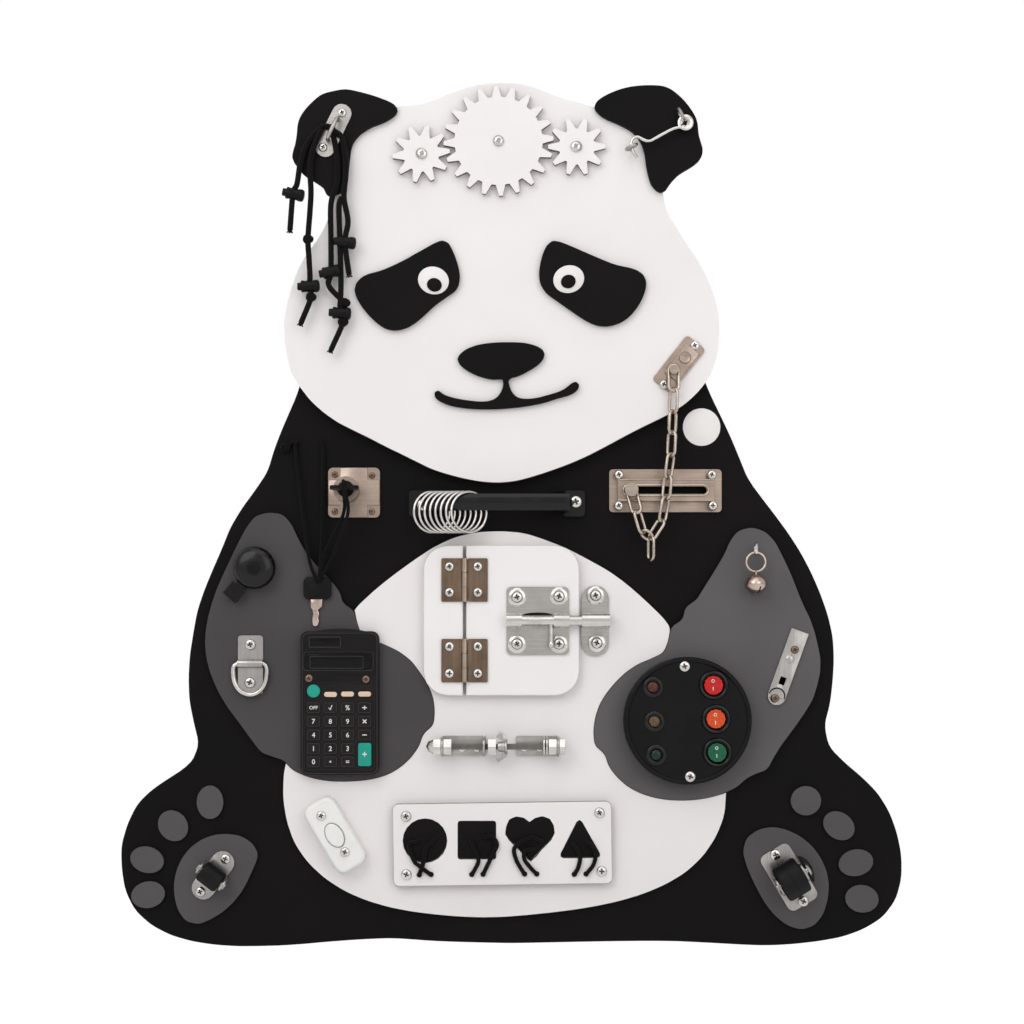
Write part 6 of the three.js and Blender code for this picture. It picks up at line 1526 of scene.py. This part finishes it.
@dataclass
class Inserts:
    """Four black shapes in the tray, each with two pull cords."""

    back: float = 16.9
    face: float = 21.6
    cord_radius: float = 1.7
    cord_end: float = 7.2
    cord_lift: float = 2.1
    heart: Pixels = (
        (530.7, 858.2), (520, 847.5), (509.3, 837.1), (506, 832), (506.1, 827.9), (508.5, 819), (512.5, 815.4),
        (518.2, 814.5), (524.5, 816.2), (529.6, 820), (535, 816.2), (541.4, 814.3), (547.6, 815.6), (551.8, 819.5),
        (554.1, 827.9), (553.5, 833), (550, 837.9), (540.5, 847.5))
    triangle: Pixels = ((579.3, 815.4), (559.3, 855), (601.4, 854.6))
    routes: dict[str, tuple[Pixels, ...]] = field(default_factory=lambda: {
        "circle": (((418.2, 837.9), (409, 842), (413.9, 857.5), (419.6, 863.2), (431.1, 871.9)),
                   ((434.3, 836.8), (425.9, 845.6), (423.1, 861), (419.3, 872.3))),
        "square": (((471.1, 837.9), (475.7, 849.1), (478.5, 858.2), (475.1, 866.2), (471.8, 871.9)),
                   ((484.1, 834.4), (491.8, 833.7), (497.1, 841.4), (492.5, 851.9), (483.1, 871.6))),
        "heart": (((542.5, 838.5), (532.1, 834.9), (523.6, 837.3), (514.3, 845.7), (516.7, 858), (524.6, 871.4)),
                  ((533.6, 846.4), (524.9, 847.7), (524.4, 856.3), (530.6, 864.9), (536.8, 871.4))),
        "triangle": (((573, 841), (577, 846.3), (580.1, 854.3), (578.2, 864.6), (574.3, 871.8)),
                     ((587, 839.5), (592.5, 843.5), (595.4, 852), (593.4, 861.7), (586.1, 871.4))),
    })

    def build(self) -> None:
        """Makes the shapes and their cords."""
        depth = self.face - self.back
        shapes = {
            "circle": placed(spun([(0, depth), (16.8, depth), (17.2, depth - 0.4), (17.2, 0), (0, 0)], 64),
                             facing(spot(425, 838.1, self.back))),
            "square": placed(plaque(29.6, 29.6, depth, 1.5, 0.4), facing(spot(476.9, 837.5, self.back))),
            "heart": raised(smooth_path(spots((*self.heart, self.heart[0]), self.back), 2.0)[:-1], depth),
            "triangle": raised(spots(self.triangle, self.back), depth, 3.2),
        }
        for name, shape in shapes.items():
            body = f"{name}_insert"
            piece = finish_bmesh(f"{name}_shape", shape, (BLACK_FACE,), body, 40)
            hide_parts(body)
            for side, route in zip(("left", "right"), self.routes[name]):
                lay_cord(f"{name}_cord_{side}", self.route(route), self.cord_radius, ROPE, body)

    def route(self, pixels: Sequence[tuple[float, float]]) -> list[Vector]:
        """Leads a cord up out of its shape, over the rim and down into the tray."""
        flat = [point + Vector((0, -self.cord_lift, 0)) * MM for point in spots(pixels, self.face)]
        start, end = flat[0], flat[-1]
        start_step = (flat[1] - start).normalized() * 1.5 * MM
        end_step = (flat[-2] - end).normalized() * 1.5 * MM
        below = Vector((0, 1, 0)) * MM
        return [start + below * 3.2, start + below * 1.4, start + start_step, *flat[1:-1], end + end_step,
                end + below * 1.6, end + below * (self.face + self.cord_lift - self.cord_end)]


def lettering(text: str, size: float) -> Shape:
    """Makes flat printed characters, centred on the origin.

    Args:
        text: The characters.
        size: Height of the type in millimetres.

    Returns:
        The characters as a thin shape with its back at Z = 0.
    """
    curve = bpy.data.curves.new("lettering", "FONT")
    curve.body = text
    curve.size = size * MM
    curve.extrude = 0.02 * MM
    curve.offset = 0.012 * size * MM
    curve.resolution_u = 4
    bm = shape_of(curve)
    low = Vector([min(v.co[axis] for v in bm.verts) for axis in range(3)])
    high = Vector([max(v.co[axis] for v in bm.verts) for axis in range(3)])
    middle = (low + high) / 2
    bmesh.ops.translate(bm, vec=(-middle.x, -middle.y, -low.z), verts=bm.verts)
    return bm


def draped(bm: Shape, node: str, lift: float) -> Shape:
    """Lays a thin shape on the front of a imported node.

    Args:
        bm: The shape, already in place before the node.
        node: The node.
        lift: Distance kept from the node's skin in millimetres.

    Returns:
        The shape.
    """
    skin = merged_copy(node)
    tree = BVHTree.FromBMesh(skin)
    skin.free()
    back = max(vert.co.y for vert in bm.verts)
    for vert in bm.verts:
        hit = tree.ray_cast(Vector((vert.co.x, -0.2, vert.co.z)), Vector((0, 1, 0)))[0]
        if hit is not None:
            vert.co.y = hit.y - lift * MM + (vert.co.y - back)
    return bm


@dataclass
class Calculator:
    """Windows, key tops' print and coloured keys of the calculator."""

    face: float = 24.6
    columns: tuple[float, ...] = (313.5, 330.4, 347.6, 364.6)
    rows: tuple[float, ...] = (704.3, 718.0, 731.6, 745.2, 758.4)
    labels: tuple[tuple[str, ...], ...] = (
        ("OFF", "√", "%", "÷"), ("7", "8", "9", "×"), ("4", "5", "6", "−"), ("1", "2", "3", ""),
        ("0", "•", "=", ""))
    digit: float = 5.4
    word: float = 3.9
    sign: float = 7.5
    cream_keys: Pixels = ((330.6, 691.2), (347.6, 690.8), (364.7, 690.8))
    lips: tuple[tuple[float, float, float, float], ...] = ((336.6, 659, 21, 4.8), (324.8, 638.8, 12.4, 4.0))
    arch_back: float = 16.0
    arch: Pixels = (
        (304.0, 641), (304.6, 634.4), (311, 630.6), (324, 628.2), (340, 627.2), (355, 627.9), (367, 630.1),
        (375, 633.6), (376.6, 641))

    def build(self) -> None:
        """Makes the windows and the print."""
        self.window("calculator_solar_window", 325, 639.2, 24.6, 7.2, 0.8)
        self.window("calculator_display", 337.6, 657.9, 53.0, 12.0, 4.6)
        self.frame_lines()
        prints = [placed(lettering(label, self.type_size(label)),
                         facing(spot(column, row, KEY_FACE + 0.02)))
                  for row, line in zip(self.rows, self.labels)
                  for column, label in zip(self.columns, line) if label]
        finish_bmesh("calculator_key_print", gathered(prints), (WHITE_PRINT,), "board", 30)
        front = -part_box("calculator_plus_key")[0][1] / MM
        plus = placed(lettering("+", self.sign), facing(spot(364.6, 750.8, front + 0.02)))
        finish_bmesh("calculator_plus_print", plus, (WHITE_PRINT,), "calculator_plus_key", 30)

        clear_key = spun([(0, 1.1), (4.7, 1.1), (5.15, 0.7), (5.15, 0), (0, 0)], 48)
        finish_bmesh("calculator_clear_key", placed(clear_key, facing(spot(*CLEAR_KEY, KEY_FACE - 0.5))),
                     (TEAL_KEY,), "board", 40)
        ovals = [placed(plaque(10.3, 4.0, 1.1, 1.95, 0.4), facing(spot(*key, KEY_FACE - 0.5)))
                 for key in self.cream_keys]
        finish_bmesh("calculator_cream_keys", gathered(ovals), (CREAM_KEY,), "board", 40)

    def type_size(self, label: str) -> float:
        """Returns the height of a label's type in millimetres."""
        if len(label) > 1:
            return self.word
        return self.sign if label in "÷×−" else self.digit

    def window(self, name: str, column: float, row: float, width: float, height: float, corner: float) -> None:
        """Makes the dark glossy pane of a window."""
        pane = placed(plaque(width, height, 0.5, corner, 0.2), facing(spot(column, row, self.face - 0.2)))
        finish_bmesh(name, pane, (SCREEN,), "board", 40)

    def frame_lines(self) -> None:
        """Makes the lips round windows and keys in a lighter plastic that paints their highlights, the arch of the top
        edge and the line under the display.
        """
        lips = []
        for column, row, half_width, half_height in self.lips:
            place = facing(spot(column, row, self.face + 0.1))
            lips.append(closed_wire([place @ point for point in stadium(half_width, half_height, 0.9)], 0.3))
        for row in self.rows:
            for column in self.columns:
                if column < self.columns[-1] or row < self.rows[-2]:
                    place = facing(spot(column, row, KEY_FACE - 0.05))
                    lips.append(closed_wire([place @ point for point in stadium(4.9, 3.9, 1.5)], 0.22))
        finish_bmesh("calculator_window_lips", gathered(lips), (EDGE_HIGHLIGHT_PLASTIC,), "board", 50)
        outline = smooth_path(spots(self.arch, self.arch_back), 3.0)
        depth = self.face - self.arch_back - 0.05
        finish_bmesh("calculator_top_arch", raised(outline, depth, 0.0, 0.5), (CASE_PLASTIC,),
                     "board", 40)
        bars = [placed(plaque(40.0, 6.6, 0.55, 0.8, 0.2), facing(spot(337, 657.6, self.face + 0.1))),
                placed(block(60.0, 0.4, 0.25, 0.1), facing(spot(337.5, 671.3, self.face - 0.1)))]
        finish_bmesh("calculator_display_inner", gathered(bars), (SCREEN,), "board", 40)


@dataclass
class SwitchFace:
    """Lamps, rocker bezels and rocker marks of the round switch box."""

    face: float = 30.6
    lamps: tuple[tuple[str, float, float, Lens], ...] = (
        ("red", 653.0, 682.5, RED_LAMP), ("amber", 654.4, 716.8, AMBER_LAMP), ("green", 656.2, 750.3, GREEN_LAMP))
    rockers: tuple[tuple[str, float, float], ...] = (
        ("red_rocker", 713.6, 680.5), ("orange_rocker", 716.0, 714.4), ("green_rocker", 717.3, 747.8))
    slots: dict[str, Slot] = field(default_factory=lambda: {
        "red": Slot.RED, "amber": Slot.ORANGE, "green": Slot.GREEN})

    def build(self) -> None:
        """Makes everything on the box's face."""
        rim = spun([(46.4, -0.3), (46.9, 0.5), (47.7, 1.15), (48.7, 1.3), (49.7, 0.9), (50.3, 0.1), (50.6, -1.2),
                    (48.0, -1.6), (46.4, -0.3)], 160)
        finish_bmesh("switch_box_rim", placed(rim, facing(spot(688, 716.4, self.face))), (BLACK_PLASTIC,), "board",
                     40)
        for name, column, row, lens in self.lamps:
            place = facing(spot(column, row, self.face))
            ring = spun([(4.9, 0.0), (4.9, 1.0), (5.3, 1.7), (6.2, 2.0), (7.2, 1.8), (8.0, 1.1), (8.2, 0.0),
                         (4.9, 0.0)], 48)
            finish_bmesh(f"{name}_lamp_bezel", placed(ring, place), (BLACK_GLOSS,), "board", 35)
            dome = spun([(0, 1.9), (1.6, 1.8), (3.1, 1.4), (4.2, 0.8), (4.6, 0.3), (4.6, 0.0), (0, 0)], 32)
            finish_bmesh(f"{name}_lamp_lens", placed(dome, place), (lens,), "board", 50)
        profile = [(8.7, 0.0), (8.7, 1.2), (9.2, 2.0), (10.1, 2.3), (11.0, 2.0), (11.6, 1.1), (11.7, 0.0), (8.7, 0.0)]
        rings = [placed(spun(profile, 56), facing(spot(column, row, self.face))) for _, column, row in self.rockers]
        finish_bmesh("rocker_bezels", gathered(rings), (BLACK_GLOSS,), "board", 35)
        for name, column, row in self.rockers:
            off = placed(spun([(0.85, 0.0), (0.85, 0.05), (1.3, 0.05), (1.3, 0.0), (0.85, 0.0)], 24),
                         facing(spot(column, row - 5.4, self.face + 6)))
            on = placed(block(0.55, 3.0, 0.05, 0.02), facing(spot(column, row + 2.4, self.face + 6)))
            marks = draped(gathered([off, on]), name, 0.04)
            finish_bmesh(f"{name}_marks", marks, (WHITE_PRINT,), name, 30)


@dataclass
class BellDetails:
    """Cap of the bell and the ribs of its thumb lever."""

    x: float = -203.68
    up: float = -43.44
    pivot: tuple[float, float] = (-209.46, -50.34)
    direction: float = 230.0

    def build(self) -> None:
        """Makes the raised cap and the ribs."""
        place = facing(Vector((self.x * MM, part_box("bell_dome")[0][1], self.up * MM)))
        cap = spun([(0, 0.25), (4.6, 0.25), (5.3, 0.1), (5.6, -0.3), (5.6, -0.9), (0, -0.9)], 40)
        finish_bmesh("bell_cap", placed(cap, place), (BLACK_PLASTIC,), "board", 40)
        shapes = []
        angle = math.radians(self.direction)
        heading = Vector((math.cos(angle), 0, math.sin(angle)))
        top = -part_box("bell_lever")[0][1] / MM
        for index in range(6):
            along = 11.6 + 2.0 * index
            centre = Vector((self.pivot[0], -top + 0.35, self.pivot[1])) + heading * along
            shapes.append(placed(block(0.9, 11.6, 1.0, 0.35), facing(centre * MM, self.direction)))
        finish_bmesh("bell_lever_ribs", gathered(shapes), (BLACK_PLASTIC,), "bell_lever", 40)


@dataclass
class CatchPlate:
    """Catch plate on the right arm, with folded edges, a dimple, a window and a sunk round end."""

    centre: tuple[float, float] = (786.7, 666.6)
    width: float = 14.6
    length: float = 62.6
    turn: float = CATCH_TURN
    floor: float = ARM_FACE
    thickness: float = 2.1

    def build(self) -> None:
        """Makes the plate and its recess."""
        place = facing(spot(*self.centre, self.floor), self.turn)
        plate = placed(self.shell(), place)
        finish_bmesh("catch_plate", plate, (STEEL_UP,), "board", 35)
        dimple = placed(spun([(0, 0.9), (1.5, 0.8), (2.7, 0.45), (3.6, 0.05), (3.7, -0.1), (0, -0.1)], 32),
                        shift(0, 7.2, self.thickness))
        tongue = placed(block(5.0, 6.6, 0.4, 0.15), shift(0.2, -11.0, 0.6))
        finish_bmesh("catch_plate_details", placed(gathered([dimple, tongue]), place), (STEEL_UP,), "board",
                     35)

    def shell(self) -> Shape:
        """Makes the bent plate: round at one end, with a window and a step down."""
        bm = plaque(self.width, self.length, self.thickness, 0.6, 0.35)
        half = self.width / 2
        cut = shift(0, half - self.length / 2, 0)
        round_end = placed(spun([(0, self.thickness), (half - 0.35, self.thickness), (half, self.thickness - 0.35),
                                 (half, 0), (0, 0)], 48), cut)
        body = bm.verts[:] + bm.edges[:] + bm.faces[:]
        bmesh.ops.bisect_plane(bm, geom=body, plane_co=cut.translation, plane_no=(0, -1, 0), clear_outer=True)
        bmesh.ops.holes_fill(bm, edges=[edge for edge in bm.edges if edge.is_boundary], sides=0)
        window = placed(block(5.8, 9.2, 3, 0.2), shift(0.2, -12.1, 1.0))
        hollow = placed(spun([(0, 3), (5.9, 3), (5.9, 1.1), (5.2, 0.9), (0, 0.9)], 32), cut)
        return gathered([carved(bm, [window]), carved(round_end, [hollow])])


def carved(bm: Shape, cutters: Sequence[Shape]) -> Shape:
    """Cuts shapes out of another by a boolean that is applied at once."""
    mesh, tool = bpy.data.meshes.new("carved"), bpy.data.meshes.new("cutter")
    bm.to_mesh(mesh)
    bm.free()
    cutter = gathered(cutters)
    cutter.to_mesh(tool)
    cutter.free()
    whole, knife = bpy.data.objects.new("carved", mesh), bpy.data.objects.new("cutter", tool)
    for item in (whole, knife):
        bpy.context.scene.collection.objects.link(item)
    cutting = whole.modifiers.new("Cut", "BOOLEAN")
    cutting.object = knife
    cutting.operation = "DIFFERENCE"
    cutting.solver = "EXACT"
    cutting.use_self = True
    bpy.context.view_layer.update()
    made = bpy.data.meshes.new_from_object(whole.evaluated_get(bpy.context.evaluated_depsgraph_get()))
    result = bmesh.new()
    result.from_mesh(made)
    for item in (whole, knife):
        bpy.data.objects.remove(item)
    for data in (mesh, tool, made):
        bpy.data.meshes.remove(data)
    return result


@dataclass
class RoundLabel:
    """Bare round label on the shoulder."""

    place: tuple[float, float] = (701.6, 427.0)
    radius: float = 15.0

    def build(self) -> None:
        """Makes a thin disc with a worn rim."""
        disc = spun([(0, 0.28), (self.radius - 0.2, 0.28), (self.radius, 0.12), (self.radius, 0.0), (0, 0)], 96)
        finish_bmesh("round_label", placed(disc, facing(spot(*self.place, BOARD_FACE))), (STICKER,), "board",
                     40)


@dataclass
class CasterDetails:
    """Tyre seams of the two casters, and the brake plate, bolt and cap of the right one."""

    wheels: tuple[tuple[str, tuple[float, float, float], float, float], ...] = (
        ("left", (-237.68, -25.2, -288.41), -37.4, 8.9), ("right", (221.73, -31.3, -289.92), 31.0, 15.0))
    brake: Pixels = (
        (796.7, 853.0), (801.5, 853.6), (806.3, 856.6), (811.2, 862.9), (813.4, 870.5), (813.8, 878.6), (812.4, 879.2),
        (804.4, 865.9))

    def build(self) -> None:
        """Makes the seams, the brake plate, its bolt and its cap."""
        for side, centre, turn, radius in self.wheels:
            across = facing(Vector(centre) * MM, turn) @ SIDEWAYS
            seam = spun([(radius - 0.2, -0.35), (radius + 0.16, -0.22), (radius + 0.16, 0.22), (radius - 0.2, 0.35),
                         (radius - 0.2, -0.35)], 48)
            finish_bmesh(f"{side}_tyre_seam", placed(seam, across), (RUBBER,), f"{side}_caster_wheel",
                         40)
        if across.col[2].x < 0:
            across = across @ Matrix.Rotation(math.pi, 4, "X")
        cap = spun([(0, 17.6), (3.0, 17.3), (5.6, 16.2), (6.8, 14.6), (6.3, 14.5), (5.0, 15.4), (2.0, 16.2),
                    (2.0, 12.6), (0, 12.6), (0, 17.6)], 36)
        finish_bmesh("right_caster_brake_cap", placed(cap, across), (BRIGHT,), "board", 40)
        finish_bmesh("right_caster_brake", raised(spots(self.brake, 22.0), 3.4, 1.0, 0.5), (BLACK_PLASTIC,), "board",
                     45)


@dataclass
class ChainPlates:
    """Bridge and dimple of the chain's anchor, and the ridge round the keeper's slot."""

    anchor_face: float = 21.2
    bridge_rise: float = 1.7

    def build(self) -> None:
        """Makes the anchor's bridge and dimple and the keeper's ridge."""
        bridge = placed(block(29, 13.5, self.bridge_rise, 1.4, 4), facing(spot(682, 360.5, self.anchor_face), 51.4))
        dimple = spun([(0, 0.1), (2.8, 0.15), (3.6, 0.7), (4.3, 0.75), (4.8, 0.3), (5.0, -0.2), (0, -0.2)], 40)
        place = facing(spot(685.1, 354.9, self.anchor_face + self.bridge_rise))
        finish_bmesh("anchor_bridge", gathered([bridge, placed(dimple, place)]), (NICKEL,), "board", 45)
        place = facing(spot(*KEEPER, KEEPER_TOP))
        path = [place @ point for point in stadium(33.9, 4.2)]
        # The ridge takes the lighter, glossier chain nickel: partly a painted highlight.
        finish_bmesh("keeper_slot_ridge", closed_wire(path, 0.95), (CHAIN_NICKEL,), "board", 60)
        lips = [placed(block(76.6, 1.5, 1.1, 0.5), facing(spot(KEEPER[0], row, KEEPER_TOP - 0.7)))
                for row in (478.2, 498.8)]
        finish_bmesh("keeper_channel_lips", gathered(lips), (NICKEL,), "board", 40)


@dataclass
class BoltSlotShade:
    """Painted shade: a thin dark sheet where the arched slot of the barrel bolt above its rod lies in shade."""

    face: float = 24.45
    arch: Pixels = (
        (521.5, 614.5), (523, 611.2), (530, 609.6), (538, 609.2), (546, 609.6), (552, 611.2), (554, 614.5))

    def build(self) -> None:
        """Makes the dark sheet of painted shade."""
        outline = smooth_path(spots(self.arch, self.face), 1.0)
        finish_bmesh("bolt_slot_shade", raised(outline, 0.12, 0.0, 0.03), (SCREEN,), "door", 40)


def stadium(half_length: float, half_width: float, corner: float = 0.0, steps: int = 4) -> list[Vector]:
    """Draws a ring with round corners round the origin.

    Args:
        half_length: Half its size along X in millimetres.
        half_width: Half its size along Y in millimetres.
        corner: Radius of its corners in millimetres; with 0 its ends are half circles.
        steps: Facets of each corner.

    Returns:
        Its points in metres.
    """
    corner = corner or half_width
    points = []
    for quarter, (across, up) in enumerate(((1, 1), (-1, 1), (-1, -1), (1, -1))):
        for step in range(steps + 1):
            angle = math.pi / 2 * (quarter + step / steps)
            point = Vector((across * (half_length - corner) + corner * math.cos(angle),
                            up * (half_width - corner) + corner * math.sin(angle), 0)) * MM
            if not points or (point - points[-1]).length > WELD:
                points.append(point)
    return points


@dataclass
class DoorChain:
    """Door chain: links half open to the viewer, from the anchor's post to the knob, and a loose link."""

    wire: float = 1.3
    half_width: float = 3.9
    level: float = 27.3
    bends: Pixels = (
        (674, 386), (673, 408), (672, 429), (671, 451), (668, 473), (666, 494), (662, 517), (651, 534), (643, 528),
        (637, 508))
    post: tuple[float, float, float] = (674, 366, 27.2)
    post_level: float = 24.25
    knob: tuple[float, float, float] = (631, 489, KEEPER_TOP)
    knob_level: float = 21.0
    loose_end: tuple[float, float] = (651, 555)
    loose_start: int = 8
    post_reach: float = 4.4
    reach: float = 1.0

    def build(self) -> None:
        """Makes all the links as one piece."""
        post, knob = spot(*self.post), spot(*self.knob)
        joints = [Vector((post.x, -self.post_level * MM, post.z)), *spots(self.bends, self.level),
                  Vector((knob.x, -self.knob_level * MM, spot(*KEEPER, KEEPER_TOP).z))]
        last = len(joints) - 2
        links = []
        for index, (start, end) in enumerate(zip(joints, joints[1:])):
            held = index in (0, last)
            roll = 0.0 if held else 45.0 if index % 2 else -45.0
            links.append(self.link(start, end, roll, self.post_reach if index == 0 else self.reach,
                                   self.post_reach if index == last else self.reach))
        links.append(self.link(joints[self.loose_start], spot(*self.loose_end, self.level), 60.0, self.reach,
                               self.reach))
        chain = finish_bmesh("door_chain_links", gathered(links), (CHAIN_NICKEL,), "", 60)
        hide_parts("door_chain")
        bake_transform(chain)

    def link(self, start: Vector, end: Vector, roll: float, start_reach: float, end_reach: float) -> Shape:
        """Makes one link.

        Args:
            start: Where it meets the link before it, in metres.
            end: Where it meets the next link.
            roll: Turn about its length in degrees; 0 lies open to the viewer.
            start_reach: How far it goes beyond the start in millimetres.
            end_reach: How far it goes beyond the end.

        Returns:
            The link.
        """
        along = (end - start).normalized()
        first, final = start - along * start_reach * MM, end + along * end_reach * MM
        side = Vector((0, -1, 0)).cross(along).normalized()
        out = along.cross(side)
        basis = Matrix((along, side, out)).transposed().to_4x4()
        place = Matrix.Translation((first + final) / 2) @ basis @ Matrix.Rotation(math.radians(roll), 4, "X")
        half = (final - first).length / 2 / MM
        return closed_wire([place @ point for point in stadium(half, self.half_width)], self.wire)


@dataclass
class RingBell:
    """Jingle bell with petals on a wire ring."""

    centre: tuple[float, float, float] = (194.26, -24.4, -38.85)
    ring_radius: float = 7.6
    wire: float = 1.0
    ball_drop: float = 17.6
    half_height: float = 7.4
    half_width: float = 8.7

    def build(self) -> None:
        """Makes the ring, the ball with its slits and the loop between them."""
        middle = Vector(self.centre)
        ring = closed_wire([(middle + point) * MM for point in circle(self.ring_radius, (1, 0, 0), (0, 0, 1))],
                           self.wire)
        ball = middle - Vector((0, 0, self.ball_drop))
        loop_centre = ball + Vector((0, 0, self.half_height + 0.9))
        loop = closed_wire([(loop_centre + point) * MM for point in circle(1.9, (0, 1, 0), (0, 0, 1), 24)], 0.6)
        piece = finish_bmesh("ring_bell_ball", gathered([self.ball(ball), ring, loop]), (CHAMPAGNE,), "ring_bell",
                             45)
        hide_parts("ring_bell")

    def ball(self, centre: Vector) -> Shape:
        """Makes the squat ball with four slits that meet at its lowest point."""
        arc = [math.pi * index / 20 for index in range(21)]
        profile = [(self.half_width * math.sin(a), self.half_height * math.cos(a)) for a in arc]
        profile[0], profile[-1] = (0.0, self.half_height), (0.0, -self.half_height)
        slits = []
        for turn in (20, 110):
            slit = block(3 * self.half_width, 1.2, self.half_height, 0.2, 1)
            lowered = shift(0, 0, -1.25 * self.half_height)
            slits.append(placed(slit, Matrix.Rotation(math.radians(turn), 4, "Z") @ lowered))
        shell = carved(spun(profile, 48), slits)
        seam = closed_wire([point * MM for point in circle(self.half_width, (1, 0, 0), (0, 1, 0))], 0.45)
        return placed(gathered([shell, seam]), shift(*centre))


@dataclass
class WingNut:
    """Wing nut on the threaded rod, with swept wings and a flange."""

    centre: tuple[float, float, float] = (-6.51, -ROD_LEVEL, -185.17)
    upper: Pixels = (
        (499.5, 727.0), (505.2, 731.2), (507.6, 736.4), (507.4, 741.5), (503.0, 741.5), (502.2, 736.6), (496.0, 733.2))
    lower: Pixels = (
        (495.4, 753.4), (501.4, 750.6), (503.0, 745.5), (507.4, 745.5), (507.6, 750.4), (505.8, 753.8), (497.6, 759.0))

    def build(self) -> None:
        """Makes the hub and both wings."""
        hub = spun([(2.7, -3.9), (3.7, -3.9), (4.1, -1.0), (4.3, 1.3), (5.6, 1.6), (5.8, 2.0), (5.8, 2.9), (5.5, 3.3),
                    (2.7, 3.3), (2.7, -3.9)], 40)
        hub = placed(hub, shift(*self.centre) @ SIDEWAYS)
        wings = [raised(spots(outline, 26.7), 2.8, 1.2, 0.7) for outline in (self.upper, self.lower)]
        piece = finish_bmesh("wing_nut_body", gathered([hub, *wings]), (STEEL_UP,), "wing_nut", 40)
        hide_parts("wing_nut")


@dataclass
class LockCover:
    """Raised cross-shaped cover of the cabinet lock, which leaves a hollow round each screw."""

    middle: tuple[float, float] = (-125.43, 17.04)
    half: tuple[float, float] = (20.5, 19.7)
    notch: float = 9.6
    back: float = 12.2
    rise: float = 1.3

    def build(self) -> None:
        """Makes the cover."""
        (x, up), (wide, tall), cut = self.middle, self.half, self.notch
        corners = ((cut - wide, -tall), (wide - cut, -tall), (wide - cut, cut - tall), (wide, cut - tall),
                   (wide, tall - cut), (wide - cut, tall - cut), (wide - cut, tall), (cut - wide, tall),
                   (cut - wide, tall - cut), (-wide, tall - cut), (-wide, cut - tall), (cut - wide, cut - tall))
        outline = [Vector((x + across, -self.back, up + over)) * MM for across, over in corners]
        finish_bmesh("lock_cover", raised(outline, self.rise, 0.0, 0.4), (NICKEL,), "board", 40)


@dataclass
class HandleFlares:
    """Ends of the bow handle, which widen from the bar down to the feet."""

    bar_end: float = 528.0
    foot_start: float = 566.0
    left: tuple[float, float] = (470.0, 433.0)

    def build(self) -> None:
        """Makes both ends."""
        shapes = [self.flare(self.bar_end, self.foot_start), self.flare(*self.left)]
        finish_bmesh("handle_flares", gathered(shapes), (BLACK_GLOSS,), "board", 50)

    @staticmethod
    def flare(bar: float, foot: float) -> Shape:
        """Makes one sloping, widening end between the bar and a foot, given by their columns."""
        bm = bmesh.new()
        sections = ((bar, 34.6, 26.5, 490.5, 503.5), (0.45 * bar + 0.55 * foot, 31.5, 20.0, 490.0, 506.5),
                    (foot, 15.0, 12.4, 490.0, 513.0))
        rings = [[bm.verts.new(spot(column, row, height)) for row, height in
                  ((top, high), (top, low), (bottom, low), (bottom, high))]
                 for column, high, low, top, bottom in sections]
        for first, second in zip(rings, rings[1:]):
            for index in range(4):
                following = (index + 1) % 4
                bm.faces.new((first[index], first[following], second[following], second[index]))
        bm.faces.new(rings[0])
        bm.faces.new(rings[-1])
        bmesh.ops.recalc_face_normals(bm, faces=bm.faces)
        return bevelled(bm, bm.edges, 1.3 * MM, 3)


BUILDERS: tuple[type, ...] = (LacingRopes, KeyCords, Inserts, Eyes, Calculator, SwitchFace, BellDetails, CatchPlate,
                              RoundLabel, CasterDetails, ChainPlates, DoorChain, RingBell, WingNut, LockCover,
                              HandleFlares, BoltSlotShade)


def main() -> None:
    """Builds the scene in order."""
    logging.basicConfig(level=logging.INFO, format="%(name)s: %(message)s")
    bpy.context.scene.view_settings.view_transform = "Standard"
    Viewpoint().build()
    for builder in BUILDERS:
        builder().build()
    for screws in SCREWS:
        screws.build()
    for refined in REFINED:
        refined.build()
    Studio().build()


if __name__ == "__main__":
    main()
